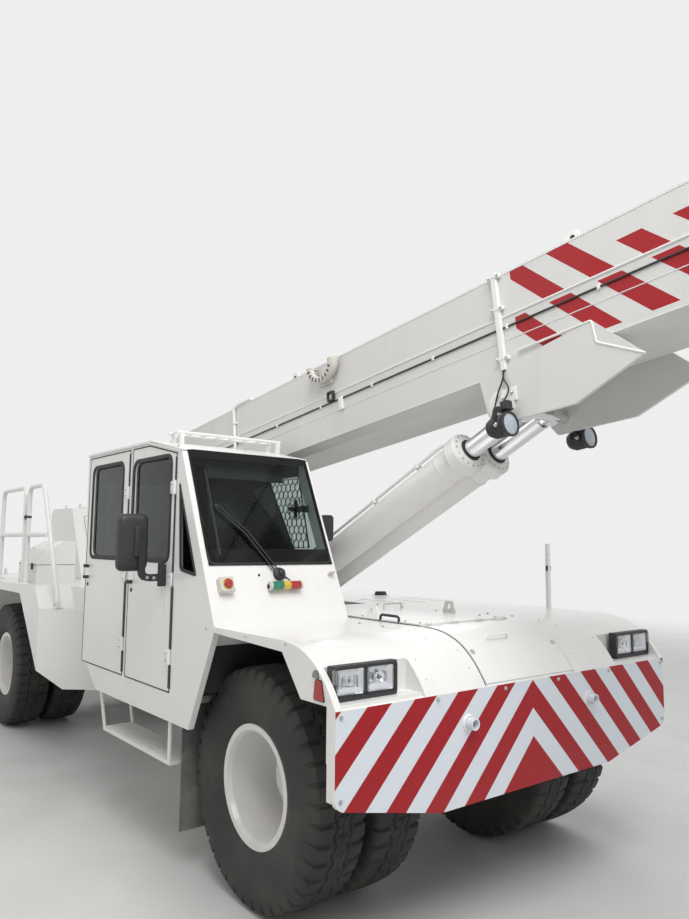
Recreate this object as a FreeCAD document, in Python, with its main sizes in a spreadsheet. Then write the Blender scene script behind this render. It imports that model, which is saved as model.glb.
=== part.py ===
"""Articulated pick-and-carry mobile crane with a four-section telescopic boom.

Millimetres. +X is forwards, +Y to the vehicle's left, +Z up, and the origin is on the floor
below the steering pivot, midway between the axles. Front pieces are drawn from a point on the
floor below the front axle, rear pieces from the origin, boom pieces from the boom's foot pin
with +X along the boom, and wheels and cylinders from their own centre lines.
"""
import FreeCAD, Part
import Sketcher
import math
import os

Vector = FreeCAD.Vector
Rotation = FreeCAD.Rotation
Placement = FreeCAD.Placement

# Driving sizes: name, value in millimetres or degrees, what it is
SIZES = [
    ("half_width", 1490, "half of the width over the mudguards"),
    ("wheelbase", 5490, "front axle to rear axle, the steering pivot midway"),
    ("tail_reach", 4450, "steering pivot to the back of the counterweight"),
    ("seat_gap", 0.3, "gap between two pieces that seat on each other"),
    ("running_gap", 0.05, "radial gap of a pin or shaft in its bore"),
    ("moving_gap", 6, "gap between pieces that pass each other"),
    ("sheet_wall", 40, "thickness of a cab wall or a door"),
    ("glass_wall", 6, "thickness of a pane"),
    ("tyre_radius", 685, "tyre outside radius"),
    ("tyre_section", 375, "tyre section width"),
    ("tyre_bead_radius", 318, "tyre inside radius"),
    ("rim_flange_radius", 352, "rim flange radius"),
    ("rim_face", 1292, "centre line of the machine to the outer rim flange"),
    ("dual_spacing", 420, "centre distance of two twin tyres"),
    ("rim_sheet", 14, "thickness of the rim"),
    ("hub_radius", 150, "wheel hub radius"),
    ("spindle_radius", 60, "axle spindle radius"),
    ("spindle_end", 1020, "centre line to the end of the spindle"),
    ("axle_radius", 110, "axle tube radius"),
    ("axle_shoulder", 700, "centre line to the end of the axle tube"),
    ("gear_radius", 215, "differential housing radius"),
    ("rail_inner", 300, "inner face of a chassis rail"),
    ("rail_outer", 420, "outer face of a chassis rail"),
    ("rail_low", 880, "underside of a chassis rail"),
    ("rail_high", 1330, "top of a chassis rail"),
    ("front_rail_nose", 955, "front axle to the front end of the rails"),
    ("pivot_pin_radius", 60, "steering pivot pin radius"),
    ("pivot_eye_radius", 165, "outside radius of the pivot eyes"),
    ("pivot_low", 760, "underside of the lower pivot plate"),
    ("pivot_high", 1290, "top of the upper pivot plate"),
    ("pivot_plate", 60, "thickness of a pivot plate"),
    ("pivot_box_front", 660, "steering pivot to the front of the pivot box"),
    ("pivot_box_back", 300, "steering pivot to the back of the pivot box"),
    ("lock_plane", 260, "pivot to the plane that the rear body keeps behind at full lock"),
    ("lock_angle", 40, "steering angle to each side"),
    ("deck_high", 1602, "front deck height"),
    ("deck_sheet", 34, "front deck thickness over the wheels"),
    ("nose_break", 510, "front axle to where the deck starts to fall"),
    ("nose_low_x", 857, "front axle to the second fold of the nose"),
    ("nose_low_z", 1513, "height of the second fold of the nose"),
    ("lid_sheet", 12, "thickness of the deck cover and the nose lid"),
    ("bumper_face", 1034, "front axle to the front of the bumper plate"),
    ("bumper_sheet", 30, "bumper plate thickness"),
    ("lamp_floor", 1336, "floor of the lamp recesses"),
    ("bumper_high", 1316, "bumper plate top"),
    ("bumper_low", 713, "bumper plate underside in the middle"),
    ("bumper_bend", 774, "half width of the level part of the bumper's underside"),
    ("bumper_corner", 862, "bumper plate underside at its ends"),
    ("well_inner", 500, "inner wall of a wheel well"),
    ("cab_inner", 450, "inner side of the cab"),
    ("cab_front_low_x", -170, "front axle to the foot of the cab front"),
    ("cab_front_high_x", -713, "front axle to the top of the cab front"),
    ("cab_front_high_z", 2747, "top of the cab front"),
    ("cab_peak_x", -1202, "front axle to the fold of the roof"),
    ("cab_roof_z", 2850, "roof height"),
    ("cab_back_x", -2467, "front axle to the back of the cab"),
    ("cab_sill", 942, "underside of the cab"),
    ("roof_sheet", 22, "roof thickness"),
    ("toe_x", -730, "front axle to the wall behind the front wheels"),
    ("door_split", -1530, "front axle to the line between the two doors"),
    ("door_gap", 8, "gap round a door"),
    ("door_front_x", -750, "front edge of the front door"),
    ("door_back_x", -2420, "back edge of the rear door"),
    ("door_low", 1120, "underside of the doors"),
    ("hinge_radius", 12, "door hinge knuckle radius"),
    ("step_high", 680, "tread height of the side steps"),
    ("rear_deck_high", 1656, "rear deck height"),
    ("corner_deck", 1455, "deck height at the rear body's front corners"),
    ("rear_skirt_low", 700, "underside of the rear body's front corners"),
    ("rear_arch_high", 1563, "top of the rear wheel arch"),
    ("rear_arch_fore", -1602, "pivot to the front end of the arch top"),
    ("rear_arch_aft", -3888, "pivot to the back end of the arch top"),
    ("tunnel_half", 450, "half width of the tunnel under the rear deck"),
    ("cowl_half", 650, "half width of the engine cowl"),
    ("cowl_high", 2510, "top of the engine cowl"),
    ("cowl_front", -2180, "pivot to the foot of the cowl's front"),
    ("cowl_back", -3420, "pivot to the back of the engine cowl"),
    ("rail_tube", 24, "handrail tube radius"),
    ("handrail_high", 2680, "top of the handrails"),
    ("handrail_mid", 2170, "middle rail of the handrails"),
    ("boom_angle", 7.1, "boom above level at rest"),
    ("boom_foot_x", -3050, "front axle to the boom's foot pin"),
    ("boom_foot_z", 2650, "height of the boom's foot pin"),
    ("boom_foot_radius", 60, "boom foot pin radius"),
    ("boom_half", 300, "half width of the outer boom section"),
    ("boom_above", 569, "foot pin to the top of the boom"),
    ("boom_fold", 41, "foot pin down to the lower fold of the boom"),
    ("boom_below", 81, "foot pin down to the underside of the boom"),
    ("boom_belly", 200, "half width of the underside of the boom"),
    ("boom_wall", 12, "boom plate thickness"),
    ("boom_slip", 8, "gap between two boom sections"),
    ("boom_tail", 400, "foot pin to the tail of the boom"),
    ("boom_reach", 6000, "foot pin to the end of the outer section"),
    ("stage_step", 250, "how far each inner section stands out"),
    ("head_beyond", 210, "end of the inmost section to the head sheaves' centre, along the boom"),
    ("head_above", -180, "foot pin to the head sheaves' centre, square to the boom"),
    ("sheave_radius", 190, "head sheave radius"),
    ("groove", 40, "depth of a sheave's groove"),
    ("rope_radius", 8, "hoist rope radius"),
    ("head_pin_radius", 45, "head pin radius"),
    ("cheek_inner", 130, "inner face of the head's cheeks"),
    ("cheek", 20, "thickness of the head's cheeks"),
    ("hook_drop", 900, "head sheaves down to the hook block's sheaves"),
    ("lift_foot_x", -1950, "front axle to the lift cylinders' foot pin"),
    ("lift_foot_z", 1420, "height of the lift cylinders' foot pin"),
    ("lift_eye_x", 1090, "front axle to the lift rods' eyes"),
    ("lift_eye_z", 2925, "height of the lift rods' eyes"),
    ("lift_half", 127, "centre line to each lift cylinder"),
    ("lift_radius", 114, "lift barrel outside radius"),
    ("lift_rod_radius", 62, "lift rod radius"),
    ("lift_barrel", 2900, "foot pin to the gland face"),
    ("lift_pin_radius", 40, "lift pin radius"),
    ("lift_eye_radius", 70, "outside radius of the lift rods' eyes"),
    ("lift_flange_radius", 138, "lift gland flange radius"),
    ("lift_rod", 2350, "length of a lift rod"),
    ("lift_ear_inner", 290, "inner face of the boom's gussets"),
    ("lift_ear", 25, "thickness of the boom's gussets"),
    ("winch_x", -2480, "front axle to the winch drum's shaft"),
    ("winch_z", 2120, "height of the winch drum's shaft"),
    ("tower_inner", 322, "inner face of the boom tower's side plates"),
    ("tower_plate", 40, "thickness of the boom tower's side plates"),
    ("steer_front", 420, "pivot forwards to the steering barrels' pins"),
    ("steer_back", 760, "pivot back to the steering rods' pins"),
    ("steer_side", 400, "centre line to the steering pins"),
    ("steer_level", 690, "height of the steering cylinders"),
    ("steer_mouth", 33, "half of the gap between the ears that hold a steering eye"),
    ("steer_ear", 20, "thickness of a steering ear"),
    ("steer_pin_radius", 22, "steering pin radius"),
    ("steer_barrel", 720, "steering barrel's pin to its gland"),
    ("steer_radius", 55, "steering barrel radius"),
    ("steer_rod_radius", 28, "steering rod radius"),
    ("steer_rod_start", 390, "barrel pin to the inner end of the steering rod"),
    ("weight_depth", 270, "depth of the counterweight"),
]
VALUES = {name: value for name, value, _ in SIZES}

doc = FreeCAD.newDocument("mobile_crane")
sheet = doc.addObject("Spreadsheet::Sheet", "sizes")


class Size:
    """A size worked out from the sheet: its number, and the expression that a feature is bound to."""

    def __init__(self, number, text=None):
        self.number = float(number)
        self.text = repr(float(number)) if text is None else text

    @staticmethod
    def of(value):
        return value if isinstance(value, Size) else Size(value)

    def __add__(self, other):
        other = Size.of(other)
        return Size(self.number + other.number, "(%s + %s)" % (self.text, other.text))

    def __sub__(self, other):
        other = Size.of(other)
        return Size(self.number - other.number, "(%s - %s)" % (self.text, other.text))

    def __mul__(self, factor):
        factor = Size.of(factor)
        return Size(self.number * factor.number, "(%s * %s)" % (self.text, factor.text))

    def __truediv__(self, factor):
        factor = Size.of(factor)
        return Size(self.number / factor.number, "(%s / %s)" % (self.text, factor.text))

    def __neg__(self):
        return Size(-self.number, "(0 - %s)" % self.text)

    def __radd__(self, other):
        return Size.of(other) + self

    def __rsub__(self, other):
        return Size.of(other) - self

    def __rmul__(self, other):
        return self * other

    def __float__(self):
        return self.number


class Sizes:
    """The sheet's sizes by name."""


def cosine(angle):
    return Size(math.cos(math.radians(angle.number)), "cos(%s)" % angle.text)


def sine(angle):
    return Size(math.sin(math.radians(angle.number)), "sin(%s)" % angle.text)


def fill_sheet():
    named = Sizes()
    for row, (name, value, meaning) in enumerate(SIZES, 1):
        sheet.set("A%d" % row, name)
        sheet.set("B%d" % row, str(value))
        sheet.set("C%d" % row, meaning)
        sheet.setAlias("B%d" % row, name)
        setattr(named, name, Size(value, "sizes." + name))
    doc.recompute()
    return named


S = fill_sheet()
front_axle_x = S.wheelbase / 2
rear_axle_x = -S.wheelbase / 2
NODES = []


def bind(thing, prop, value):
    """Give a feature's property its value, bound to the sheet where it comes from there."""
    value = Size.of(value)
    if "sizes." in value.text:
        thing.setExpression(prop, value.text)
    else:
        thing.setExpression(prop, repr(value.number))


def new_body(label):
    body = doc.addObject("PartDesign::Body", label)
    body.Label = label
    body.AllowCompound = True
    return body


def place(thing, x=0, y=0, z=0, axis=None, angle=0):
    """Put a body or a primitive at its place, turned about an axis through it."""
    for prop, value in (("x", x), ("y", y), ("z", z)):
        bind(thing, "Placement.Base." + prop, value)
    if axis is not None:
        thing.Placement = Placement(thing.Placement.Base, Rotation(Vector(*axis), float(angle)))
        bind(thing, "Placement.Rotation.Angle", angle)
    return thing


def keep(label, thing):
    """Name a finished sub-part as one of the nodes."""
    thing.Label = label
    NODES.append((label, thing))
    return thing


def origin_of(body, role):
    return [item for item in body.Origin.OriginFeatures if item.Role == role][0]


def outline(body, plane, loops, offset):
    """A sketch on one of the body's own planes: closed outlines of points, or circles."""
    drawing = body.newObject("Sketcher::SketchObject", "Outline")
    drawing.AttachmentSupport = [(origin_of(body, plane + "_Plane"), "")]
    drawing.MapMode = "FlatFace"
    drawing.setExpression("AttachmentOffset.Base.z", Size.of(offset).text)
    sizes = []
    for loop in loops:
        first = drawing.GeometryCount
        if loop[0] == "circle":
            across, up, radius = (Size.of(item) for item in loop[1:])
            centre = Vector(across.number, up.number, 0)
            drawing.addGeometry(Part.Circle(centre, Vector(0, 0, 1), radius.number), False)
            sizes.append((Sketcher.Constraint("DistanceX", -1, 1, first, 3, across.number), across))
            sizes.append((Sketcher.Constraint("DistanceY", -1, 1, first, 3, up.number), up))
            sizes.append((Sketcher.Constraint("Radius", first, radius.number), radius))
            continue
        points = [(Size.of(across), Size.of(up)) for across, up in loop]
        ends = [Vector(across.number, up.number, 0) for across, up in points]
        count = len(ends)
        lines = [Part.LineSegment(ends[i], ends[(i + 1) % count]) for i in range(count)]
        drawing.addGeometry(lines, False)
        joins = [("Coincident", first + i, 2, first + (i + 1) % count, 1) for i in range(count)]
        drawing.addConstraint([Sketcher.Constraint(*join) for join in joins])
        for i, (across, up) in enumerate(points):
            sizes.append((Sketcher.Constraint("DistanceX", -1, 1, first + i, 1, across.number), across))
            sizes.append((Sketcher.Constraint("DistanceY", -1, 1, first + i, 1, up.number), up))
    numbers = drawing.addConstraint([constraint for constraint, _ in sizes])
    for number, (_, value) in zip(numbers, sizes):
        if "sizes." in value.text:
            drawing.setExpression("Constraints[%d]" % number, value.text)
    return drawing


def add(body, plane, loops, low, high):
    """Pad outlines between two levels along the plane's axis."""
    low, high = Size.of(low), Size.of(high)
    drawing = outline(body, plane, loops, -high if plane == "XZ" else low)
    pad = body.newObject("PartDesign::Pad", "Pad")
    pad.Profile = drawing
    pad.AllowMultiFace = True
    bind(pad, "Length", high - low)
    return pad


def cut(body, plane, loops, low, high):
    """Pocket outlines between two levels along the plane's axis."""
    low, high = Size.of(low), Size.of(high)
    drawing = outline(body, plane, loops, -low if plane == "XZ" else high)
    pocket = body.newObject("PartDesign::Pocket", "Pocket")
    pocket.Profile = drawing
    pocket.AllowMultiFace = True
    bind(pocket, "Length", high - low)
    return pocket


def turn(body, loops, plane="XY", about="V_Axis"):
    """Revolve outlines about one of their sketch's axes."""
    drawing = outline(body, plane, loops, 0)
    turned = body.newObject("PartDesign::Revolution", "Revolution")
    turned.Profile = drawing
    turned.ReferenceAxis = (drawing, [about])
    turned.Angle = 360
    return turned


def box_loop(left, right, low, high):
    return [(left, low), (right, low), (right, high), (left, high)]


def round_off(body, plane, corners, radius):
    """Round the edges that run square to a plane through the corners given."""
    doc.recompute()
    pick = {"XY": (0, 1), "XZ": (0, 2), "YZ": (1, 2)}[plane]
    wanted = [(float(across), float(up)) for across, up in corners]
    base = body.Tip
    names = []
    for number, edge in enumerate(base.Shape.Edges, 1):
        ends = [(vertex.Point[pick[0]], vertex.Point[pick[1]]) for vertex in edge.Vertexes]
        if len(ends) != 2 or math.dist(ends[0], ends[1]) > 0.01:
            continue
        if any(math.dist(ends[0], corner) < 0.05 for corner in wanted):
            names.append("Edge%d" % number)
    fillet = body.newObject("PartDesign::Fillet", "Rounding")
    fillet.Base = (base, names)
    bind(fillet, "Radius", radius)
    return fillet


def side_span(side, near, far):
    """The low and high Y of something between two distances out from the centre line."""
    near, far = Size.of(near), Size.of(far)
    return (near, far) if side > 0 else (-far, -near)


def rod_between(name, start, end, radius):
    """A round bar between two points, as a cylinder primitive."""
    start = [Size.of(item) for item in start]
    end = [Size.of(item) for item in end]
    run = Vector(*[float(b) - float(a) for a, b in zip(start, end)])
    bar = doc.addObject("Part::Cylinder", name)
    bind(bar, "Radius", radius)
    bar.Height = run.Length
    for prop, value in zip("xyz", start):
        bind(bar, "Placement.Base." + prop, value)
    bar.Placement = Placement(bar.Placement.Base, Rotation(Vector(0, 0, 1), run))
    return bar


def block(name, low, high):
    """A box primitive between two corners."""
    low = [Size.of(item) for item in low]
    high = [Size.of(item) for item in high]
    box = doc.addObject("Part::Box", name)
    for prop, a, b in zip(("Length", "Width", "Height"), low, high):
        bind(box, prop, b - a)
    for prop, value in zip("xyz", low):
        bind(box, "Placement.Base." + prop, value)
    return box


def fused(label, pieces):
    """Several solids joined into one."""
    joined = doc.addObject("Part::MultiFuse", label)
    joined.Shapes = pieces
    joined.Refine = True
    return joined


def bent_tube(points, radius, bend):
    """A round tube along straight runs joined by arcs of one radius."""
    points = [Vector(*[float(item) for item in point]) for point in points]
    edges = []
    start = points[0]
    for before, corner, after in zip(points, points[1:], points[2:]):
        back = (before - corner).normalize()
        ahead = (after - corner).normalize()
        half = back.getAngle(ahead) / 2
        trim = bend / math.tan(half)
        first = corner + back * trim
        last = corner + ahead * trim
        centre = corner + (back + ahead).normalize() * (bend / math.sin(half))
        middle = centre + (corner - centre).normalize() * bend
        edges.append(Part.LineSegment(start, first).toShape())
        edges.append(Part.Arc(first, middle, last).toShape())
        start = last
    edges.append(Part.LineSegment(start, points[-1]).toShape())
    path = Part.Wire(edges)
    ring = Part.Wire(Part.Circle(points[0], points[1] - points[0], float(radius)).toShape())
    return path.makePipeShell([ring], True, True)


def shape_node(label, shape):
    """A sub-part whose shape comes from Part's own functions."""
    feature = doc.addObject("Part::Feature", label)
    feature.Shape = shape
    return feature


# Running gear


def wheel_end(side, axle, axle_x):
    """Twin tyres and their rims on one spindle. Drawn with +Y out from the centre line."""
    name = axle + ("_left" if side > 0 else "_right")
    outer_mid = S.rim_face - 145
    sheet_in = S.tyre_bead_radius - S.rim_sheet
    disc_out = outer_mid - S.dual_spacing / 2 + 14
    disc_in = outer_mid - S.dual_spacing / 2 - 14
    inner_face = outer_mid - S.dual_spacing - 145
    tyre = new_body("tyre_" + name)
    loops = []
    for middle in (outer_mid, outer_mid - S.dual_spacing):
        half = S.tyre_section / 2
        loops.append([
            (S.tyre_bead_radius, middle - 136),
            (S.tyre_bead_radius, middle + 136),
            (S.rim_flange_radius + 4, middle + 136),
            (S.rim_flange_radius + 25, middle + 152),
            (S.tyre_radius - 190, middle + half),
            (S.tyre_radius - 90, middle + half),
            (S.tyre_radius - 14, middle + half - 35),
            (S.tyre_radius, middle + half - 75),
            (S.tyre_radius, middle - half + 75),
            (S.tyre_radius - 14, middle - half + 35),
            (S.tyre_radius - 90, middle - half),
            (S.tyre_radius - 190, middle - half),
            (S.rim_flange_radius + 25, middle - 152),
            (S.rim_flange_radius + 4, middle - 136),
        ])
    turn(tyre, loops)
    rim = new_body("rim_" + name)
    bead = S.tyre_bead_radius - S.seat_gap
    turn(rim, [[
        (S.rim_flange_radius, S.rim_face),
        (S.rim_flange_radius, S.rim_face - 8),
        (bead, S.rim_face - 8),
        (bead, inner_face + 8),
        (S.rim_flange_radius, inner_face + 8),
        (S.rim_flange_radius, inner_face),
        (sheet_in, inner_face),
        (sheet_in - 20, disc_in),
        (S.hub_radius, disc_in),
        (S.hub_radius, S.axle_shoulder + S.moving_gap),
        (S.spindle_radius + S.running_gap, S.axle_shoulder + S.moving_gap),
        (S.spindle_radius + S.running_gap, S.spindle_end + S.moving_gap),
        (0, S.spindle_end + S.moving_gap),
        (0, S.spindle_end + 30),
        (S.hub_radius - 20, S.spindle_end + 30),
        (S.hub_radius, S.spindle_end + 10),
        (S.hub_radius, disc_out),
        (sheet_in - 20, disc_out),
        (sheet_in, S.rim_face - 30),
        (sheet_in + 12, S.rim_face),
    ]])
    for body in (tyre, rim):
        turned = 0 if side > 0 else 180
        place(body, axle_x, 0, S.tyre_radius, (0, 0, 1), turned)
        keep(body.Label, body)


def axle(name, axle_x, pinion_turn):
    """Axle tube with its spindles, differential housing and pinion nose, all one casting."""
    body = new_body(name)
    turn(body, [[
        (0, -S.spindle_end),
        (S.spindle_radius, -S.spindle_end),
        (S.spindle_radius, -S.axle_shoulder),
        (S.axle_radius, -S.axle_shoulder),
        (S.axle_radius, -S.gear_radius),
        (S.gear_radius, -100),
        (S.gear_radius, 100),
        (S.axle_radius, S.gear_radius),
        (S.axle_radius, S.axle_shoulder),
        (S.spindle_radius, S.axle_shoulder),
        (S.spindle_radius, S.spindle_end),
        (0, S.spindle_end),
    ]])
    add(body, "YZ", [("circle", 0, 0, S.axle_radius)], 0, S.gear_radius + 120)
    place(body, axle_x, 0, S.tyre_radius, (0, 0, 1), pinion_turn)
    keep(name, body)


def chassis_rails(body, back, nose, axle_at, seat_front, seat_back):
    """Two deep rails with the blocks that sit on the axle tube."""
    for side in (-1, 1):
        low, high = side_span(side, S.rail_inner, S.rail_outer)
        add(body, "XZ", [[
            (back, S.rail_low),
            (axle_at + seat_back, S.rail_low),
            (axle_at + seat_back, S.tyre_radius + S.axle_radius),
            (axle_at + seat_front, S.tyre_radius + S.axle_radius),
            (axle_at + seat_front, S.rail_low),
            (nose, S.rail_low),
            (nose, S.rail_high),
            (back, S.rail_high),
        ]], low, high)


def steering_bracket(body, pin_x, away, top):
    """Hanging web on each side with two ears round a steering eye, open towards the pivot."""
    mouth = S.steer_mouth
    for side in (-1, 1):
        low, high = side_span(side, S.steer_side - 55, S.steer_side + 55)
        web = (pin_x + away * 130, pin_x + away * 235)
        left, right = web if away > 0 else (web[1], web[0])
        add(body, "XY", [box_loop(left, right, low, high)], S.steer_level - mouth - S.steer_ear, top + 10)
        ear = (pin_x - away * 45, pin_x + away * 140)
        left, right = ear if away > 0 else (ear[1], ear[0])
        add(body, "XY", [box_loop(left, right, low, high)],
            S.steer_level - mouth - S.steer_ear, S.steer_level - mouth)
        add(body, "XY", [box_loop(left, right, low, high)],
            S.steer_level + mouth, S.steer_level + mouth + S.steer_ear)


def front_chassis():
    body = new_body("front_chassis")
    at = -S.wheelbase / 2
    back = at + S.pivot_box_back
    chassis_rails(body, back, S.front_rail_nose, 0, 90, -90)
    box = box_loop(back, at + S.pivot_box_front, -S.rail_outer, S.rail_outer)
    add(body, "XY", [box], S.pivot_low, S.pivot_high)
    for low, high in (
        (S.pivot_low, S.pivot_low + S.pivot_plate),
        (S.pivot_high - S.pivot_plate, S.pivot_high),
    ):
        add(body, "XY", [[
            (back, -S.rail_inner),
            (back, S.rail_inner),
            (at, S.pivot_eye_radius),
            (at, -S.pivot_eye_radius),
        ]], low, high)
        add(body, "XY", [("circle", at, 0, S.pivot_eye_radius)], low, high)
    add(body, "XY", [("circle", at, 0, S.pivot_pin_radius)], S.pivot_low - 20, S.pivot_high + 20)
    add(body, "YZ", [box_loop(-S.rail_outer, S.rail_outer, S.rail_low, S.rail_high)],
        S.front_rail_nose - 60, S.front_rail_nose)
    steering_bracket(body, at + S.steer_front, 1, S.pivot_low)
    for side in (-1, 1):
        add(body, "XY", [("circle", at + S.steer_front, side * S.steer_side, S.steer_pin_radius)],
            S.steer_level - S.steer_mouth - 5, S.steer_level + S.steer_mouth + 5)
    place(body, front_axle_x)
    keep("front_chassis", body)


def rear_chassis():
    body = new_body("rear_chassis")
    axle_at = -S.wheelbase / 2
    chassis_rails(body, -S.tail_reach + 300, -900, axle_at, 90, -90)
    low = S.pivot_low + S.pivot_plate + S.moving_gap
    high = S.pivot_high - S.pivot_plate - S.moving_gap
    add(body, "XY", [[
        (-1150, -S.rail_outer),
        (-1150, S.rail_outer),
        (-930, S.rail_outer),
        (-850, S.pivot_eye_radius + 35),
        (0, S.pivot_eye_radius),
        (0, -S.pivot_eye_radius),
        (-850, -S.pivot_eye_radius - 35),
        (-930, -S.rail_outer),
    ]], low, high)
    add(body, "XY", [("circle", 0, 0, S.pivot_eye_radius)], low, high)
    cut(body, "XY", [("circle", 0, 0, S.pivot_pin_radius + S.running_gap)], low - 10, high + 10)
    steering_bracket(body, -S.steer_back, -1, low)
    place(body)
    keep("rear_chassis", body)


# Front bodywork


def front_body():
    """Nose with the deck over the wheels, the lamp recesses and the well for each pair of wheels."""
    body = new_body("front_body")
    back = S.cab_front_low_x
    top = [
        (S.nose_break, S.deck_high),
        (S.nose_low_x, S.nose_low_z),
        (S.bumper_face - S.bumper_sheet, S.bumper_high),
    ]
    face = S.bumper_face - S.bumper_sheet - S.seat_gap
    add(body, "XZ", [[
        (back, S.deck_high),
        top[0],
        top[1],
        (face, S.bumper_high + 20),
        (face, S.bumper_corner + 30),
        (face - 40, S.bumper_corner + 30),
        (face - 40, S.rail_high + S.seat_gap),
        (back, S.rail_high + S.seat_gap),
    ]], -S.half_width, S.half_width)
    for side in (-1, 1):
        low, high = side_span(side, S.well_inner, S.half_width + 10)
        cut(body, "XZ", [[
            (back - 10, 700),
            (back - 10, S.deck_high - S.deck_sheet),
            (S.nose_break + 59, S.deck_high - 59),
            (S.bumper_face - 65, 1062),
            (S.bumper_face - 65, 700),
        ]], low, high)
        low, high = side_span(side, S.half_width - 600, S.half_width - S.sheet_wall)
        cut(body, "XZ", [[
            (880, S.lamp_floor),
            (S.bumper_face + 10, S.lamp_floor),
            (S.bumper_face + 10, 1700),
            (880, 1700),
        ]], low, high)
    place(body, front_axle_x)
    keep("front_body", body)


# Front ends of what stands behind the front wheels: the outer skin hides part of the tyre, and
# what lies inboard of it keeps clear of the tyre
SKIN_TOE = [
    (S.cab_front_low_x - S.seat_gap - 300, S.cab_sill),
    (S.cab_front_low_x - S.seat_gap, S.deck_high - S.deck_sheet),
]
INNER_TOE = [
    (S.toe_x, S.cab_sill),
    (S.toe_x, 1160),
    (S.cab_front_low_x - S.seat_gap, S.deck_high - S.deck_sheet),
]
BACK_FOOT = [
    (S.cab_back_x + 52, 1310),
    (-2301, 1117),
    (-2075, S.cab_sill),
]


def left_side_body():
    """Closed tank and locker under the left deck, behind the front wheels."""
    body = new_body("left_side_body")
    top = [(S.cab_front_low_x - S.seat_gap, S.deck_high), (S.cab_back_x + 30, S.deck_high)]
    add(body, "XZ", [top + BACK_FOOT + INNER_TOE], S.cab_inner, S.half_width - S.sheet_wall)
    add(body, "XZ", [top + BACK_FOOT + SKIN_TOE], S.half_width - S.sheet_wall, S.half_width)
    place(body, front_axle_x)
    keep("left_side_body", body)


def centre_deck():
    """Deck plate between the wheel wells, open behind for the lift cylinders."""
    body = new_body("centre_deck")
    low = S.rail_high + S.seat_gap
    back = -1050
    side = S.cab_inner - S.seat_gap
    add(body, "XY", [box_loop(back, S.cab_front_low_x - S.seat_gap, -side, side)],
        low, S.deck_high)
    place(body, front_axle_x)
    keep("centre_deck", body)


def deck_cover():
    """Lift-off cover plate on the centre deck with its pull handle, and a pad-eye on each side of it."""
    body = new_body("deck_cover")
    level = S.deck_high + S.seat_gap
    add(body, "XY", [box_loop(-900, S.nose_break - 15, -410, 410)], level, level + 12)
    round_off(body, "XY", [(-900, -410), (-900, 410)], 60)
    for side in (-1, 1):
        low, high = side_span(side, 360, 380)
        ear = [(-60, level + 12), (60, level + 12), (30, level + 95), (-30, level + 95)]
        add(body, "XZ", [ear], low, high)
        cut(body, "XZ", [("circle", 0, level + 55, 22)], low - 5, high + 5)
    place(body, front_axle_x)
    keep("deck_cover", body)


def nose_lid():
    """Lid over the falling part of the nose, hinged along its back edge."""
    body = new_body("nose_lid")
    gap = S.seat_gap * 1.5
    lift = S.lid_sheet
    upper = (S.nose_low_z - S.deck_high) / (S.nose_low_x - S.nose_break)
    lower = (S.bumper_high + 20 - S.nose_low_z) / (S.bumper_face - S.bumper_sheet - S.nose_low_x)
    back = S.nose_break + 15
    front = S.bumper_face - S.bumper_sheet - 30
    back_z = S.deck_high + upper * 15 + gap
    front_z = S.nose_low_z + lower * (front - S.nose_low_x) + gap
    add(body, "XZ", [[
        (back, back_z),
        (S.nose_low_x, S.nose_low_z + gap),
        (front, front_z),
        (front + 8, front_z + lift),
        (S.nose_low_x + 6, S.nose_low_z + gap + lift),
        (back + 2, back_z + lift),
    ]], -410, 410)
    for low, high in ((-340, -260), (260, 340)):
        add(body, "XZ", [("circle", back, S.deck_high + 13, 10)], low, high)
        lip = [
            (back, back_z + 3),
            (back + 14, back_z + 3),
            (back + 14, S.deck_high + 22),
            (back, S.deck_high + 22),
        ]
        add(body, "XZ", [lip],
            low, high)
    place(body, front_axle_x)
    keep("nose_lid", body)


def bumper_plate():
    body = new_body("bumper_plate")
    wide = S.half_width
    add(body, "YZ", [[
        (-S.bumper_bend, S.bumper_low),
        (S.bumper_bend, S.bumper_low),
        (wide, S.bumper_corner),
        (wide, S.bumper_high),
        (-wide, S.bumper_high),
        (-wide, S.bumper_corner),
    ]], S.bumper_face - S.bumper_sheet, S.bumper_face)
    round_off(body, "YZ", [(wide, S.bumper_corner), (-wide, S.bumper_corner)], 70)
    for side in (-1, 1):
        add(body, "YZ", [("circle", side * 567, 1143, 32)], S.bumper_face - 1, S.bumper_face + 55)
        cut(body, "YZ", [("circle", side * 567, 1143, 25)], S.bumper_face - 10, S.bumper_face + 56)
    place(body, front_axle_x)
    keep("bumper_plate", body)


def head_lamps():
    """Two black lamp housings in their recesses, and two lenses in each."""
    housing = new_body("lamp_housings")
    glass = new_body("lamp_lenses")
    for side in (-1, 1):
        low, high = side_span(side, S.half_width - 470, S.half_width - 45)
        add(housing, "YZ", [box_loop(low, high, S.lamp_floor + S.seat_gap, 1510)], 905, 950)
        for middle in (S.half_width - 357, S.half_width - 158):
            near, far = side_span(side, middle - 92, middle + 92)
            cut(housing, "YZ", [box_loop(near, far, 1362, 1498)], 925, 960)
            add(glass, "YZ", [box_loop(near + 2, far - 2, 1364, 1496)], 925 + 0.3, 958)
    for body in (housing, glass):
        place(body, front_axle_x)
        keep(body.Label, body)


# Cab

CAB_TOP = [
    (S.cab_front_low_x - 1, S.deck_high),
    (S.cab_front_high_x + 28, S.cab_front_high_z - S.roof_sheet),
    (S.cab_peak_x, S.cab_roof_z - 4 - S.roof_sheet),
    (S.cab_back_x, S.cab_roof_z - S.roof_sheet),
]
QUARTER_PANE = [(-700, 2520), (-655, 1925), (-420, 1895)]
LEFT_PANE = [(-2250, 1995), (-460, 1995), (-760, 2620), (-2250, 2620)]


DOORS = ("front", "rear")


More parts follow.
